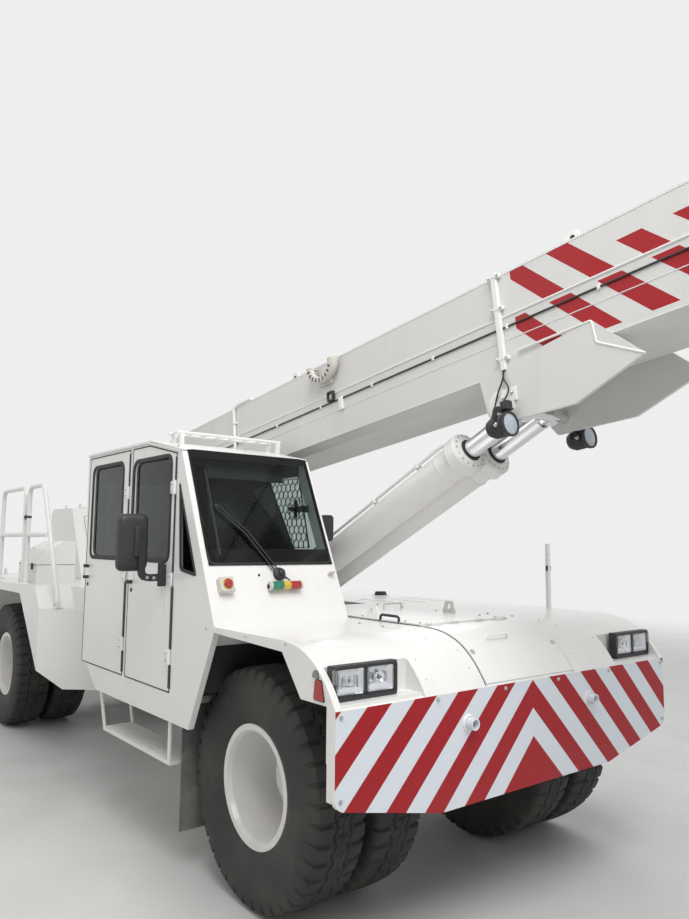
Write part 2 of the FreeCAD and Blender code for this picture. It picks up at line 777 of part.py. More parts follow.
def door_loop(name, inset):
    """Outline of a door opening, drawn in by an inset: its top runs along under the roof."""
    fall = (S.cab_roof_z - 4 - S.cab_front_high_z) / (S.cab_front_high_x - S.cab_peak_x)
    level = S.cab_roof_z - 4 - S.roof_sheet - 14 - inset
    low = S.door_low + inset
    if name == "rear":
        back = S.door_back_x + inset
        front = S.door_split - 20 - inset
        return [(back, low), (front, low), (front, level), (back, level)]
    back = S.door_split + 20 + inset
    front = S.door_front_x - inset
    corner = level - fall * (front - S.cab_peak_x)
    return [(back, low), (front, low), (front, corner), (S.cab_peak_x, level), (back, level)]


def cab_shell():
    """Welded cab body: right frame round the doors, left wall, back wall, front wall and floor."""
    body = new_body("cab_shell")
    wall = S.sheet_wall
    add(body, "XZ", [CAB_TOP + BACK_FOOT + INNER_TOE], -S.half_width + wall, -S.cab_inner)
    add(body, "XZ", [CAB_TOP + BACK_FOOT + SKIN_TOE], -S.half_width, -S.half_width + wall)
    cut(body, "XZ", [[
        (S.cab_front_low_x - wall * 1.1, S.deck_high - 20),
        (S.cab_front_high_x + 28 - wall * 1.1, S.cab_front_high_z - S.roof_sheet),
        (S.cab_front_high_x - wall, S.cab_front_high_z + 120),
        (S.cab_back_x + wall, S.cab_front_high_z + 120),
        (S.cab_back_x + 52 + wall, 1330),
        (-2270, 1140),
        (-2060, S.cab_sill + wall),
        (S.toe_x - wall, S.cab_sill + wall),
        (S.toe_x - wall, 1180),
    ]], -S.half_width + wall, -S.cab_inner - wall)
    # Two door openings in the right frame, their tops along the roof
    for name in DOORS:
        cut(body, "XZ", [door_loop(name, 0)], -S.half_width - 5, -S.half_width + wall + 5)
    cut(body, "XZ", [QUARTER_PANE], -S.half_width - 5, -S.half_width + wall + 5)
    # Windscreen, left window and back window
    cut(body, "YZ", [box_loop(-S.half_width + 50, -S.cab_inner - 45, 1985, 2690)], -1000, 0)
    cut(body, "XZ", [LEFT_PANE], -S.cab_inner - wall - 5, -S.cab_inner + 5)
    cut(body, "YZ", [box_loop(-S.half_width + 150, -S.cab_inner - 150, 1995, 2620)], -2700, -2300)
    place(body, front_axle_x)
    keep("cab_shell", body)


def cab_roof():
    body = new_body("cab_roof")
    gap = S.seat_gap
    add(body, "XZ", [[
        (S.cab_front_high_x + 28, S.cab_front_high_z - S.roof_sheet + gap),
        (S.cab_front_high_x, S.cab_front_high_z),
        (S.cab_peak_x, S.cab_roof_z - 4),
        (S.cab_back_x, S.cab_roof_z),
        (S.cab_back_x, S.cab_roof_z - S.roof_sheet + gap),
        (S.cab_peak_x, S.cab_roof_z - 4 - S.roof_sheet + gap),
    ]], -S.half_width, -S.cab_inner)
    place(body, front_axle_x)
    keep("cab_roof", body)


def cab_panes():
    """Windscreen, and the fixed side and back panes."""
    screen = new_body("windscreen")
    slope = S.cab_front_high_x + 29 - S.cab_front_low_x
    slope /= S.cab_front_high_z - S.roof_sheet - S.deck_high
    stand_off = S.seat_gap * 1.3 - 1
    low_x = S.cab_front_low_x + slope * (1965 - S.deck_high) + stand_off
    high_x = S.cab_front_low_x + slope * (2738 - S.deck_high) + stand_off
    wall = S.glass_wall
    add(screen, "XZ", [[(low_x, 1965), (low_x + wall, 1965), (high_x + wall, 2738), (high_x, 2738)]],
        -S.half_width + 40, -S.cab_inner - 22)
    fixed = new_body("cab_glass")
    mid = S.sheet_wall / 2
    thick = S.glass_wall / 2
    add(fixed, "XZ", [LEFT_PANE], -S.cab_inner - mid - thick, -S.cab_inner - mid + thick)
    add(fixed, "XZ", [QUARTER_PANE], -S.half_width + mid - thick, -S.half_width + mid + thick)
    add(fixed, "YZ", [box_loop(-S.half_width + 150, -S.cab_inner - 150, 1995, 2620)],
        S.cab_back_x + mid + 20, S.cab_back_x + mid + 26)
    for body in (screen, fixed):
        place(body, front_axle_x)
        keep(body.Label, body)


def cab_doors():
    """Two doors hinged at their front edges, each with its pane and its handle."""
    wall = S.sheet_wall
    gap = S.door_gap
    upper_hinge = S.cab_front_high_z - S.roof_sheet - 290
    rows = [
        ("front", S.door_split + 20 + gap, S.door_front_x - gap, -1467, -842, 2697),
        ("rear", S.door_back_x + gap, S.door_split - 20 - gap, -2325, -1690, 2712),
    ]
    for name, back, front, pane_back, pane_front, pane_top in rows:
        body = new_body("door_" + name)
        low = S.door_low + gap
        add(body, "XZ", [door_loop(name, gap)], -S.half_width, -S.half_width + wall)
        pane = box_loop(Size.of(pane_back), Size.of(pane_front), Size.of(1990), Size.of(pane_top))
        cut(body, "XZ", [pane], -S.half_width - 5, -S.half_width + wall + 5)
        round_off(body, "XZ", pane, 60)
        add(body, "XZ", [box_loop(back + 40, back + 75, 1800, 1920)], -S.half_width - 35, -S.half_width)
        for level in (low + 180, upper_hinge):
            hinge_x = front + gap / 2
            hinge_y = -S.half_width - S.hinge_radius - S.seat_gap
            leaf = box_loop(front - 30, hinge_x, hinge_y, -S.half_width + 4)
            add(body, "XY", [("circle", hinge_x, hinge_y, S.hinge_radius)], level, level + 90)
            add(body, "XY", [leaf], level, level + 90)
        glass = new_body("door_%s_glass" % name)
        middle = -S.half_width + wall / 2
        add(glass, "XZ", [pane], middle - S.glass_wall / 2, middle + S.glass_wall / 2)
        round_off(glass, "XZ", pane, 60)
        for piece in (body, glass):
            place(piece, front_axle_x)
            keep(piece.Label, piece)


def mirror():
    """Mirror head with its bracket on the front door."""
    body = new_body("mirror_right")
    add(body, "YZ", [box_loop(-1820, -1610, 1900, 2295)], -960, -890)
    round_off(body, "YZ", box_loop(-1820, -1610, 1900, 2295), 45)
    add(body, "XZ", [box_loop(-900, -870, 1850, 1915)], -1700, -S.half_width - S.seat_gap)
    add(body, "XY", [box_loop(-935, -870, -1700, -1660)], 1870, 1910)
    place(body, front_axle_x)
    keep("mirror_right", body)


def mirror_left():
    """Small mirror on an arm beside the cab's left wall."""
    body = new_body("mirror_left")
    wall = -S.cab_inner + S.seat_gap
    face = box_loop(-440, -335, 2125, 2320)
    add(body, "YZ", [face], -545, -500)
    round_off(body, "YZ", face, 30)
    add(body, "XZ", [("circle", -520, 2218, 12)], wall, -430)
    place(body, front_axle_x)
    keep("mirror_left", body)


def cab_inside():
    """Seat on its pedestal, and the steering column with its wheel."""
    seat = new_body("driver_seat")
    floor = S.cab_sill + S.sheet_wall + S.seat_gap
    middle = (S.half_width + S.cab_inner) / -2
    add(seat, "XY", [box_loop(-1700, -1300, middle - 200, middle + 200)], floor, 1330)
    add(seat, "XZ", [[
        (-1780, 1330), (-1230, 1330), (-1210, 1400), (-1260, 1455), (-1640, 1440),
        (-1740, 2060), (-1790, 2150), (-1870, 2140), (-1860, 2020), (-1800, 1420),
    ]], middle - 250, middle + 250)
    column = new_body("steering_column")
    add(column, "XZ", [[
        (-920, floor), (-800, floor), (-800, 1250), (-960, 1560), (-1020, 1530), (-920, 1230),
    ]], middle - 40, middle + 40)
    ring = doc.addObject("Part::Torus", "SteeringRing")
    ring.Radius1 = 195
    ring.Radius2 = 16
    tilt = Rotation(Vector(0, 1, 0), -27)
    ring.Placement = Placement(Vector(-1005, float(middle), 1575), tilt)
    boss = doc.addObject("Part::Cylinder", "SteeringBoss")
    boss.Radius = 45
    boss.Height = 60
    boss.Placement = Placement(Vector(-995, float(middle), 1535), tilt)
    spoke = doc.addObject("Part::Box", "SteeringSpoke")
    spoke.Length = 40
    spoke.Width = 390
    spoke.Height = 14
    spoke.Placement = Placement(Vector(-1022, float(middle) - 195, 1570), tilt)
    place(seat, front_axle_x)
    keep(seat.Label, seat)
    whole = fused("steering_set", [column, ring, boss, spoke])
    place(whole, front_axle_x)
    keep("steering_column", whole)


def steps():
    """Open tread steps hung below the cab and below the left locker."""
    body = new_body("side_steps")
    for side in (-1, 1):
        low, high = side_span(side, S.half_width - 265, S.half_width - 25)
        add(body, "XY", [box_loop(-1940, -760, low, high)], S.step_high - 25, S.step_high)
        for foot, head in ((-1940, -2050), (-800, -800)):
            for out in (S.half_width - 265, S.half_width - 37):
                near, far = side_span(side, out, out + 12)
                add(body, "XZ", [[
                    (foot, S.step_high - 10),
                    (foot + 35, S.step_high - 10),
                    (head + 35, S.cab_sill - S.seat_gap),
                    (head, S.cab_sill - S.seat_gap),
                ]], near, far)
    place(body, front_axle_x)
    keep("side_steps", body)


def roof_rack():
    """White tube ladder across the roof's front on short feet."""
    pieces = []
    fall = (S.cab_roof_z - 4 - S.cab_front_high_z) / (S.cab_front_high_x - S.cab_peak_x)
    feet = new_body("RackFeet")
    for y in (-1310, -470):
        for back in (-1245, -1115):
            front = back + 30
            base = [S.cab_roof_z - 4 + S.seat_gap * 1.5 - fall * max(x + 1202, 0) for x in (back, front)]
            lift = 3 if back < -1200 else 0
            add(feet, "XZ", [[(back, base[0] + lift), (front, base[1]), (front, 2915), (back, 2915)]],
                y, y + 30)
    pieces.append(feet)
    for x in (-1230, -1100):
        pieces.append(rod_between("RackBar", (x, -1340, 2915), (x, -430, 2915), 12))
    for step in range(8):
        y = -1310 + step * 120
        pieces.append(rod_between("RackRung", (-1230, y, 2915), (-1100, y, 2915), 9))
    whole = fused("roof_rack", pieces)
    place(whole, front_axle_x)
    keep("roof_rack", whole)


def marker_post():
    post = new_body("marker_post")
    add(post, "XY", [box_loop(75, 105, S.half_width - 55, S.half_width - 25)], S.deck_high + S.seat_gap, 2125)
    place(post, front_axle_x)
    keep("marker_post", post)


# Boom and its lift


def tower():
    """Two side plates that carry the boom's foot pin behind the cab, with their base box and pins."""
    body = new_body("boom_tower")
    foot = S.boom_foot_x
    for side in (-1, 1):
        low, high = side_span(side, S.tower_inner, S.tower_inner + S.tower_plate)
        add(body, "XZ", [[
            (-1450, S.rail_high + S.seat_gap),
            (-2440, S.rail_high + S.seat_gap),
            (-2440, 1900),
            (foot - 150, 2500),
            (foot - 150, S.boom_foot_z + 100),
            (foot + 100, S.boom_foot_z + 150),
            (-2200, 2200),
            (-1450, 1650),
        ]], low, high)
    reach = S.tower_inner + S.tower_plate
    add(body, "XZ", [("circle", foot, S.boom_foot_z, S.boom_foot_radius)], -reach, reach)
    add(body, "XZ", [("circle", S.lift_foot_x, S.lift_foot_z, S.lift_pin_radius)], -reach, reach)
    add(body, "XZ", [box_loop(-2440, -2380, S.rail_high + S.seat_gap, 1850)], -reach, reach)
    place(body, front_axle_x)
    keep("boom_tower", body)


def on_boom(thing):
    """Put a piece drawn in the boom's own frame at the boom's foot pin."""
    return place(thing, front_axle_x + S.boom_foot_x, 0, S.boom_foot_z, (0, -1, 0), S.boom_angle)


def section_loop(inset):
    """Outline of a boom section, drawn in by an inset: upright sides with a folded belly."""
    half = S.boom_half - inset
    belly = S.boom_belly - inset * 0.6
    top = S.boom_above - inset
    fold = -S.boom_fold + inset * 0.6
    low = -S.boom_below + inset
    return [(-half, top), (-half, fold), (-belly, low), (belly, low), (half, fold), (half, top)]


def boom_sections():
    inset = Size.of(0)
    rows = [
        ("boom_base", -S.boom_tail, S.boom_reach),
        ("boom_stage_2", Size.of(150), S.boom_reach + S.stage_step),
        ("boom_stage_3", Size.of(250), S.boom_reach + S.stage_step * 2),
        ("boom_stage_4", Size.of(350), S.boom_reach + S.stage_step * 3),
    ]
    for label, start, end in rows:
        body = new_body(label)
        add(body, "YZ", [section_loop(inset), section_loop(inset + S.boom_wall)], start, end)
        if label == "boom_base":
            boom_base_details(body)
        if label != "boom_base":
            slide_pads(body, start, inset)
        if label != "boom_stage_4":
            mouth_pads(body, end, inset)
        if label == "boom_stage_4":
            boom_head(body, end, inset)
        on_boom(body)
        keep(label, body)
        inset = inset + S.boom_wall + S.boom_slip


def slide_pads(body, start, inset):
    """Wear pads on the tail of an inner section, above and below, that seat in the section outside it."""
    height = S.boom_slip - S.seat_gap
    top = S.boom_above - inset
    low = -S.boom_below + inset
    add(body, "YZ", [
        box_loop(-150, 150, top - 2, top + height),
        box_loop(-130, 130, low - height, low + 2),
    ], start, start + 200)


def mouth_pads(body, end, inset):
    """Wear pads in the mouth of a section, below and above the section that slides in it."""
    height = S.boom_slip - S.seat_gap
    top = S.boom_above - inset - S.boom_wall
    low = -S.boom_below + inset + S.boom_wall
    add(body, "YZ", [
        box_loop(-150, 150, top - height, top + 2),
        box_loop(-110, 110, low - 2, low + height),
    ], end - 150, end)


def boom_base_details(body):
    """Foot bore, gusset plates that hold the lift rods' pin, and the collar at the mouth."""
    reach = S.boom_half
    cut(body, "XZ", [("circle", 0, 0, S.boom_foot_radius + S.running_gap)], -reach - 5, reach + 5)
    mouth = S.boom_reach
    add(body, "YZ", [section_loop(Size.of(-25)), section_loop(Size.of(0))], mouth - 120, mouth)
    along, above = lift_eye_on_boom()
    for side in (-1, 1):
        low, high = side_span(side, S.lift_ear_inner, S.lift_ear_inner + S.lift_ear)
        add(body, "XZ", [[
            (along - 150, -S.boom_fold + 10),
            (4793, 62),
            (5058, -206),
            (4629, -354),
            (along + 60, above - 100),
            (along - 60, above - 100),
            (along - 110, above - 30),
        ]], low, high)


def lift_eye_on_boom():
    """The lift rods' eye at rest in the boom's own frame."""
    level = S.lift_eye_x - S.boom_foot_x
    rise = S.lift_eye_z - S.boom_foot_z
    along = level * cosine(S.boom_angle) + rise * sine(S.boom_angle)
    above = rise * cosine(S.boom_angle) - level * sine(S.boom_angle)
    return along, above


def boom_head(body, end, inset):
    """End plate at the boom's tip with two cheeks and the pin of the head sheaves."""
    head = end + S.head_beyond
    add(body, "YZ", [section_loop(inset)], end - 20, end)
    for side in (-1, 1):
        low, high = side_span(side, S.cheek_inner, S.cheek_inner + S.cheek)
        add(body, "XZ", [[
            (end - 5, 420),
            (end - 5, -20),
            (head - 90, S.head_above - 90),
            (head + 60, S.head_above - 110),
            (head + 110, S.head_above + 40),
            (end + 260, 260),
            (end + 90, 420),
        ]], low, high)
    outer = S.cheek_inner + S.cheek
    add(body, "XZ", [("circle", head, S.head_above, S.head_pin_radius)], -outer, outer)


def boom_siren():
    """Curved siren horn and the square sensor frame below it on the outer boom's right flank."""
    face = -S.boom_half - S.seat_gap
    points = [(2330, 540), (2345, 430), (2480, 385), (2600, 410), (2640, 500)]
    path = [(along, face - 45, above) for along, above in points]
    horn = bent_tube(path, Size.of(34), 35)
    seat = Part.makeBox(150, 30, 40, Vector(2405, float(face) - 30, 350))
    ring = Part.makeBox(74, 28, 78, Vector(2488, float(face) - 28, 235))
    hole = Part.makeBox(50, 40, 54, Vector(2500, float(face) - 34, 247))
    shape = shape_node("boom_siren", Part.makeCompound([horn.fuse(seat), ring.cut(hole)]))
    on_boom(shape)
    keep("boom_siren", shape)


def head_centre():
    """Centre of the head sheaves at rest in the row's frame."""
    along = S.boom_reach + S.stage_step * 3 + S.head_beyond
    x = along * cosine(S.boom_angle) - S.head_above * sine(S.boom_angle)
    z = along * sine(S.boom_angle) + S.head_above * cosine(S.boom_angle)
    return front_axle_x + S.boom_foot_x + x, S.boom_foot_z + z


def sheave_loop(middle, radius, bore):
    """Half section of a grooved sheave at a distance along its pin."""
    return [
        (bore, middle - 30),
        (radius, middle - 30),
        (radius, middle - 22),
        (radius - S.groove, middle - 8),
        (radius - S.groove, middle + 8),
        (radius, middle + 22),
        (radius, middle + 30),
        (bore, middle + 30),
    ]


def head_sheaves():
    """Two rope sheaves between the head's cheeks."""
    body = new_body("head_sheaves")
    for middle in (-50, 50):
        turn(body, [sheave_loop(middle, S.sheave_radius, S.head_pin_radius + S.seat_gap)])
    x, z = head_centre()
    place(body, x, 0, z)
    keep("head_sheaves", body)


def hook_block():
    """Block with two sheaves between side plates, its hook, and the four taut falls of rope."""
    drop = S.hook_drop
    body = new_body("hook_block")
    groove_at = S.sheave_radius - S.groove + S.rope_radius + S.seat_gap
    plates = []
    for low, high in ((-100, -88), (-6, 6), (88, 100)):
        plate = block("BlockPlate", (-170, low, -drop - 190), (170, high, -drop + 190))
        plates.append(plate)
    plates.append(block("BlockCheek", (-120, -100, -drop - 300), (120, 100, -drop - 180)))
    plates.append(rod_between("BlockPin", (0, -110, -drop), (0, 110, -drop), 35))
    plates.append(rod_between("HookShank", (0, 0, -drop - 420), (0, 0, -drop - 290), 38))
    hook = doc.addObject("Part::Torus", "HookBow")
    hook.Radius1 = 95
    hook.Radius2 = 34
    hook.Angle3 = 290
    hook.Placement = Placement(Vector(0, 0, float(-drop - 505)), Rotation(Vector(1, 0, 0), 90))
    plates.append(hook)
    for middle in (-50, 50):
        ring = new_body("BlockSheave")
        turn(ring, [sheave_loop(middle, S.sheave_radius, Size.of(30))])
        place(ring, 0, 0, -drop)
        plates.append(ring)
        for side in (-1, 1):
            across = side * groove_at
            fall = rod_between("Fall", (across, middle, -drop), (across, middle, 0), S.rope_radius)
            plates.append(fall)
    whole = fused("hook_block", plates)
    x, z = head_centre()
    place(whole, x, 0, z)
    keep("hook_block", whole)


def winch():
    """Rope drum across the foot of the tower, held by its own shaft ends in the side plates."""
    body = new_body("winch")
    flange = S.tower_inner - 25
    turn(body, [[
        (0, -S.tower_inner + S.seat_gap),
        (50, -S.tower_inner + S.seat_gap),
        (50, -flange),
        (190, -flange),
        (190, -flange + 15),
        (120, -flange + 15),
        (120, flange - 15),
        (190, flange - 15),
        (190, flange),
        (50, flange),
        (50, S.tower_inner - S.seat_gap),
        (0, S.tower_inner - S.seat_gap),
    ]])
    place(body, front_axle_x + S.winch_x, 0, S.winch_z)
    keep("winch", body)


def work_lamps():
    """A round lamp on a bracket outside each gusset."""
    body = new_body("work_lamps")
    outer = S.lift_ear_inner + S.lift_ear
    along, above = lift_eye_on_boom()
    for side in (-1, 1):
        near, far = side_span(side, outer + S.seat_gap, outer + 75)
        add(body, "XZ", [box_loop(along + 45, along + 75, above - 95, above - 70)], near, far)
        middle = side * (outer + 75)
        for radius, start, end in ((50, -50, -25), (66, -25, 80), (75, 80, 110)):
            add(body, "YZ", [("circle", middle, above - 140, radius)], along + start, along + end)
    on_boom(body)
    keep("work_lamps", body)


def on_lift(thing):
    """Put a piece drawn along the lift cylinders at their foot pin."""
    level = VALUES["lift_eye_x"] - VALUES["lift_foot_x"]
    rise = VALUES["lift_eye_z"] - VALUES["lift_foot_z"]
    angle = Size(math.degrees(math.atan2(rise, level)))
    return place(thing, front_axle_x + S.lift_foot_x, 0, S.lift_foot_z, (0, -1, 0), angle)


def lift_cylinders():
    """Twin lift cylinders: barrels joined at their glands, and rods joined by the pin they turn on."""
    run = VALUES["lift_eye_x"] - VALUES["lift_foot_x"]
    rise = VALUES["lift_eye_z"] - VALUES["lift_foot_z"]
    length = Size(math.hypot(run, rise))
    barrels = new_body("lift_barrels")
    rods = new_body("lift_rods")
    for side in (-1, 1):
        middle = side * S.lift_half
        add(barrels, "YZ", [("circle", middle, 0, S.lift_radius)], 120, S.lift_barrel - 60)
        add(barrels, "YZ", [("circle", middle, 0, S.lift_flange_radius)], S.lift_barrel - 60, S.lift_barrel)
        low, high = side_span(side, S.lift_half - 45, S.lift_half + 45)
        add(barrels, "XZ", [("circle", 0, 0, 90)], low, high)
        add(barrels, "XZ", [box_loop(0, 140, -80, 80)], low, high)
        add(rods, "YZ", [("circle", middle, 0, S.lift_rod_radius)], length - S.lift_rod, length - 60)
        low, high = side_span(side, S.lift_half - 38, S.lift_half + 38)
        add(rods, "XZ", [("circle", length, 0, S.lift_eye_radius)], low, high)
    reach = S.lift_half + 60
    cut(barrels, "XZ", [("circle", 0, 0, S.lift_pin_radius + S.running_gap)], -reach, reach)
    for side in (-1, 1):
        bore = ("circle", side * S.lift_half, 0, S.lift_rod_radius + S.running_gap)
        cut(barrels, "YZ", [bore], 400, S.lift_barrel + 10)
    pin = S.lift_ear_inner - S.moving_gap
    add(rods, "XZ", [("circle", length, 0, S.lift_pin_radius)], -pin, pin)
    for body in (barrels, rods):
        on_lift(body)
        keep(body.Label, body)


def steering_cylinders():
    """A cylinder on each side under the pivot, drawn from its front pin backwards."""
    length = S.steer_front + S.steer_back
    eye = S.steer_mouth - S.moving_gap
    for side, name in ((-1, "right"), (1, "left")):
        barrel = new_body("steer_barrel_" + name)
        add(barrel, "XY", [("circle", 0, 0, 45)], -eye, eye)
        add(barrel, "YZ", [("circle", 0, 0, 24)], -100, -30)
        add(barrel, "YZ", [("circle", 0, 0, S.steer_radius)], -S.steer_barrel, -90)
        cut(barrel, "XY", [("circle", 0, 0, S.steer_pin_radius + S.running_gap)], -eye - 5, eye + 5)
        bore = ("circle", 0, 0, S.steer_rod_radius + S.running_gap)
        cut(barrel, "YZ", [bore], -S.steer_barrel - 10, -105)
        rod = new_body("steer_rod_" + name)
        add(rod, "YZ", [("circle", 0, 0, S.steer_rod_radius)], -length + 20, -S.steer_rod_start)
        add(rod, "XY", [("circle", -length, 0, 45)], -eye, eye)
        for body in (barrel, rod):
            place(body, S.steer_front, side * S.steer_side, S.steer_level)
            keep(body.Label, body)


# Rear bodywork


def rear_body():
    """Decked rear body over the wheels, its front corners cut back for full lock."""
    body = new_body("rear_body")
    skirt = S.rear_arch_high - S.rear_skirt_low
    tail = -S.tail_reach + S.weight_depth + S.seat_gap
    add(body, "XZ", [[
        (-300, S.rear_deck_high),
        (-300, S.rear_skirt_low),
        (S.rear_arch_fore + skirt, S.rear_skirt_low),
        (S.rear_arch_fore, S.rear_arch_high),
        (S.rear_arch_aft, S.rear_arch_high),
        (tail, 1270),
        (tail, S.rear_deck_high),
    ]], -S.half_width, S.half_width)
    far = S.half_width + 20
    back = (S.lock_plane - far * sine(S.lock_angle)) / cosine(S.lock_angle)
    front = S.lock_plane / cosine(S.lock_angle)
    for side in (-1, 1):
        wedge = [(back, side * far), (front, 0), (front + 50, 0), (front + 50, side * far)]
        cut(body, "XY", [wedge], 600, 1700)
    tunnel = box_loop(-S.tunnel_half, S.tunnel_half, 600, S.rail_high + S.seat_gap)
    cut(body, "YZ", [tunnel], -S.tail_reach, 0)
    cut(body, "YZ", [box_loop(-720, 720, 600, 1250)], -1160, 0)
    # Deck stepped down at both front corners, to the feet of the rails
    for side in (-1, 1):
        low, high = side_span(side, 1140, S.half_width + 5)
        cut(body, "XZ", [[
            (-1080, S.rear_deck_high + 1),
            (-915, S.corner_deck),
            (-500, S.corner_deck),
            (-500, S.rear_deck_high + 1),
        ]], low, high)
    place(body)
    keep("rear_body", body)


def engine_cowl():
    """Hollow cowl over the engine with a falling front."""
    body = new_body("engine_cowl")
    floor = S.rear_deck_high + S.seat_gap
    wall = 30
    lean = 450
    add(body, "XZ", [[
        (S.cowl_front, floor), (S.cowl_front - lean, S.cowl_high),
        (S.cowl_back + 60, S.cowl_high), (S.cowl_back, S.cowl_high - 70), (S.cowl_back, floor),
    ]], -S.cowl_half, S.cowl_half)
    cut(body, "XZ", [[
        (S.cowl_front - wall + 6, floor - 10), (S.cowl_front - lean - wall + 18, S.cowl_high - wall),
        (S.cowl_back + 75, S.cowl_high - wall),
        (S.cowl_back + wall, S.cowl_high - 85),
        (S.cowl_back + wall, floor - 10),
    ]], -S.cowl_half + wall, S.cowl_half - wall)
    place(body)
    keep("engine_cowl", body)
    block_body = new_body("engine_block")
    side = S.cowl_half - 250
    plan = box_loop(S.cowl_back + 60, S.cowl_front - 440, -side, side)
    add(block_body, "XY", [plan], floor, S.cowl_high - 180)
    place(block_body)
    keep("engine_block", block_body)


def counterweight():
    """Cast block across the tail with a recess for each tail lamp, and the lamps in them."""
    body = new_body("counterweight")
    lamps = new_body("tail_lamps")
    tail = -S.tail_reach
    across = box_loop(tail, tail + S.weight_depth, -S.half_width, S.half_width)
    add(body, "XY", [across], S.pivot_low, S.rear_deck_high)
    round_off(body, "XY", [(tail, -S.half_width), (tail, S.half_width)], 130)
    level = S.rear_deck_high - 266
    for side in (-1, 1):
        low, high = side_span(side, S.half_width - 480, S.half_width - 190)
        recess = box_loop(low, high, level - 60, level + 60)
        lamp = box_loop(low + 3, high - 3, level - 57, level + 57)
        cut(body, "YZ", [recess], tail - 10, tail + 30)
        add(lamps, "YZ", [lamp], tail + 6, tail + 30 - S.seat_gap)
    for piece in (body, lamps):
        place(piece)
        keep(piece.Label, piece)


def handrails():
    """Two tube hoops with a middle rail on each side of the rear deck."""
    foot = S.rear_deck_high + S.seat_gap
    top = S.handrail_high
    rail = S.half_width - 90
    hoops = [(-845, -1250, -1740, rail - 65, S.corner_deck + S.seat_gap), (-1830, -1890, -2790, rail, foot)]
    solids = []
    for side in (-1, 1):
        y = float(rail) * side
        for front_foot, front_top, back, foot_y, front_low in hoops:
            points = [
                (front_foot, foot_y * side, front_low),
                (front_foot, foot_y * side, float(front_low) + 60),
                (front_top, y, top),
                (back, y, top),
                (back, y, foot),
            ]
            hoop = bent_tube(points, S.rail_tube, 85)
            share = (float(S.handrail_mid) - float(front_low) - 60) / (float(top) - float(front_low) - 60)
            front = front_foot + (front_top - front_foot) * share - 4
            start = Vector(back, y, float(S.handrail_mid))
            middle = Part.makeCylinder(float(S.rail_tube), front - back, start, Vector(1, 0, 0))
            solids.append(hoop.fuse(middle).removeSplitter())
    shape = shape_node("handrails", Part.makeCompound(solids))
    place(shape)
    keep("handrails", shape)


def deck_locker():
    """Locker with a sloping lid on the right side of the rear deck."""
    body = new_body("deck_locker")
    floor = S.rear_deck_high + S.seat_gap
    edge = 160 - S.half_width
    add(body, "YZ", [[
        (edge, floor),
        (edge + 400, floor),
        (edge + 400, 2105),
        (edge + 255, 2105),
        (edge + 115, 2020),
        (edge, 1860),
    ]], -2280, -1600)
    place(body)
    keep("deck_locker", body)


def mud_flaps():
    body = new_body("mud_flaps")
    for side in (-1, 1):
        low, high = side_span(side, S.half_width - 930, S.half_width - 90)
        add(body, "YZ", [box_loop(low, high, 240, 1100)], S.toe_x + S.seat_gap, S.toe_x + 10)
    place(body, front_axle_x)
    keep("mud_flaps", body)


def main():
    for name, at, turned in (("front", front_axle_x, 180), ("rear", rear_axle_x, 0)):
        axle(name + "_axle", at, turned)
        for side in (-1, 1):
            wheel_end(side, name, at)
    front_chassis()
    rear_chassis()
    front_body()
    left_side_body()
    centre_deck()
    deck_cover()
    nose_lid()
    bumper_plate()
    head_lamps()
    cab_shell()
    cab_roof()
    cab_panes()
    cab_doors()
    mirror()
    mirror_left()
    cab_inside()
    steps()
    roof_rack()
    marker_post()
    tower()
    boom_sections()
    head_sheaves()
    hook_block()
    winch()
    work_lamps()
    boom_siren()
    lift_cylinders()
    steering_cylinders()
    rear_body()
    engine_cowl()
    counterweight()
    handrails()
    deck_locker()
    mud_flaps()


def check_and_export():
    doc.recompute()
    for thing in doc.Objects:
        if "Invalid" in thing.State or "Error" in thing.State:
            raise ValueError("%s (%s) failed: %s" % (thing.Name, thing.Label, thing.State))
    os.makedirs("parts", exist_ok=True)
    for label, thing in NODES:
        shape = thing.Shape
        if shape.isNull() or not shape.isValid():
            raise ValueError("%s has no valid shape" % label)
        shape.exportStep("parts/%s.step" % label)
        print("%-20s solids %d volume %.4f m3" % (label, len(shape.Solids), shape.Volume * 1e-9))


main()
check_and_export()
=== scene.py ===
"""Looks of an articulated pick-and-carry crane, worked out as surfaces over its CAD frame."""

from math import copysign, cos, pi, radians, sin

import bmesh
import bpy
import numpy as np
from bpy.props import FloatProperty, FloatVectorProperty, IntProperty, PointerProperty
from mathutils import Matrix, Vector


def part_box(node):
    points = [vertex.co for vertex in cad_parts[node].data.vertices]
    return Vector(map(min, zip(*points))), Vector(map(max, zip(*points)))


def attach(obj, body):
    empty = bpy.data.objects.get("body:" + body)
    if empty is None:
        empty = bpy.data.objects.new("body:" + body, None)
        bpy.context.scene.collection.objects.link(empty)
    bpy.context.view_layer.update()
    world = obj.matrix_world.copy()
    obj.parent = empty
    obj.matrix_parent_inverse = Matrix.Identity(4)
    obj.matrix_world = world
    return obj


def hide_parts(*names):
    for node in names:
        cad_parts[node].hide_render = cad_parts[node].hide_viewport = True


bl_info = {
    "name": "Pick-and-carry crane dressing",
    "version": (1, 0, 0),
    "blender": (4, 5, 0),
    "location": "View3D > Sidebar > Crane",
    "description": "Treads, stripes, lamps, glass seals, ropes and finishes for a mobile crane",
    "category": "Object",
}

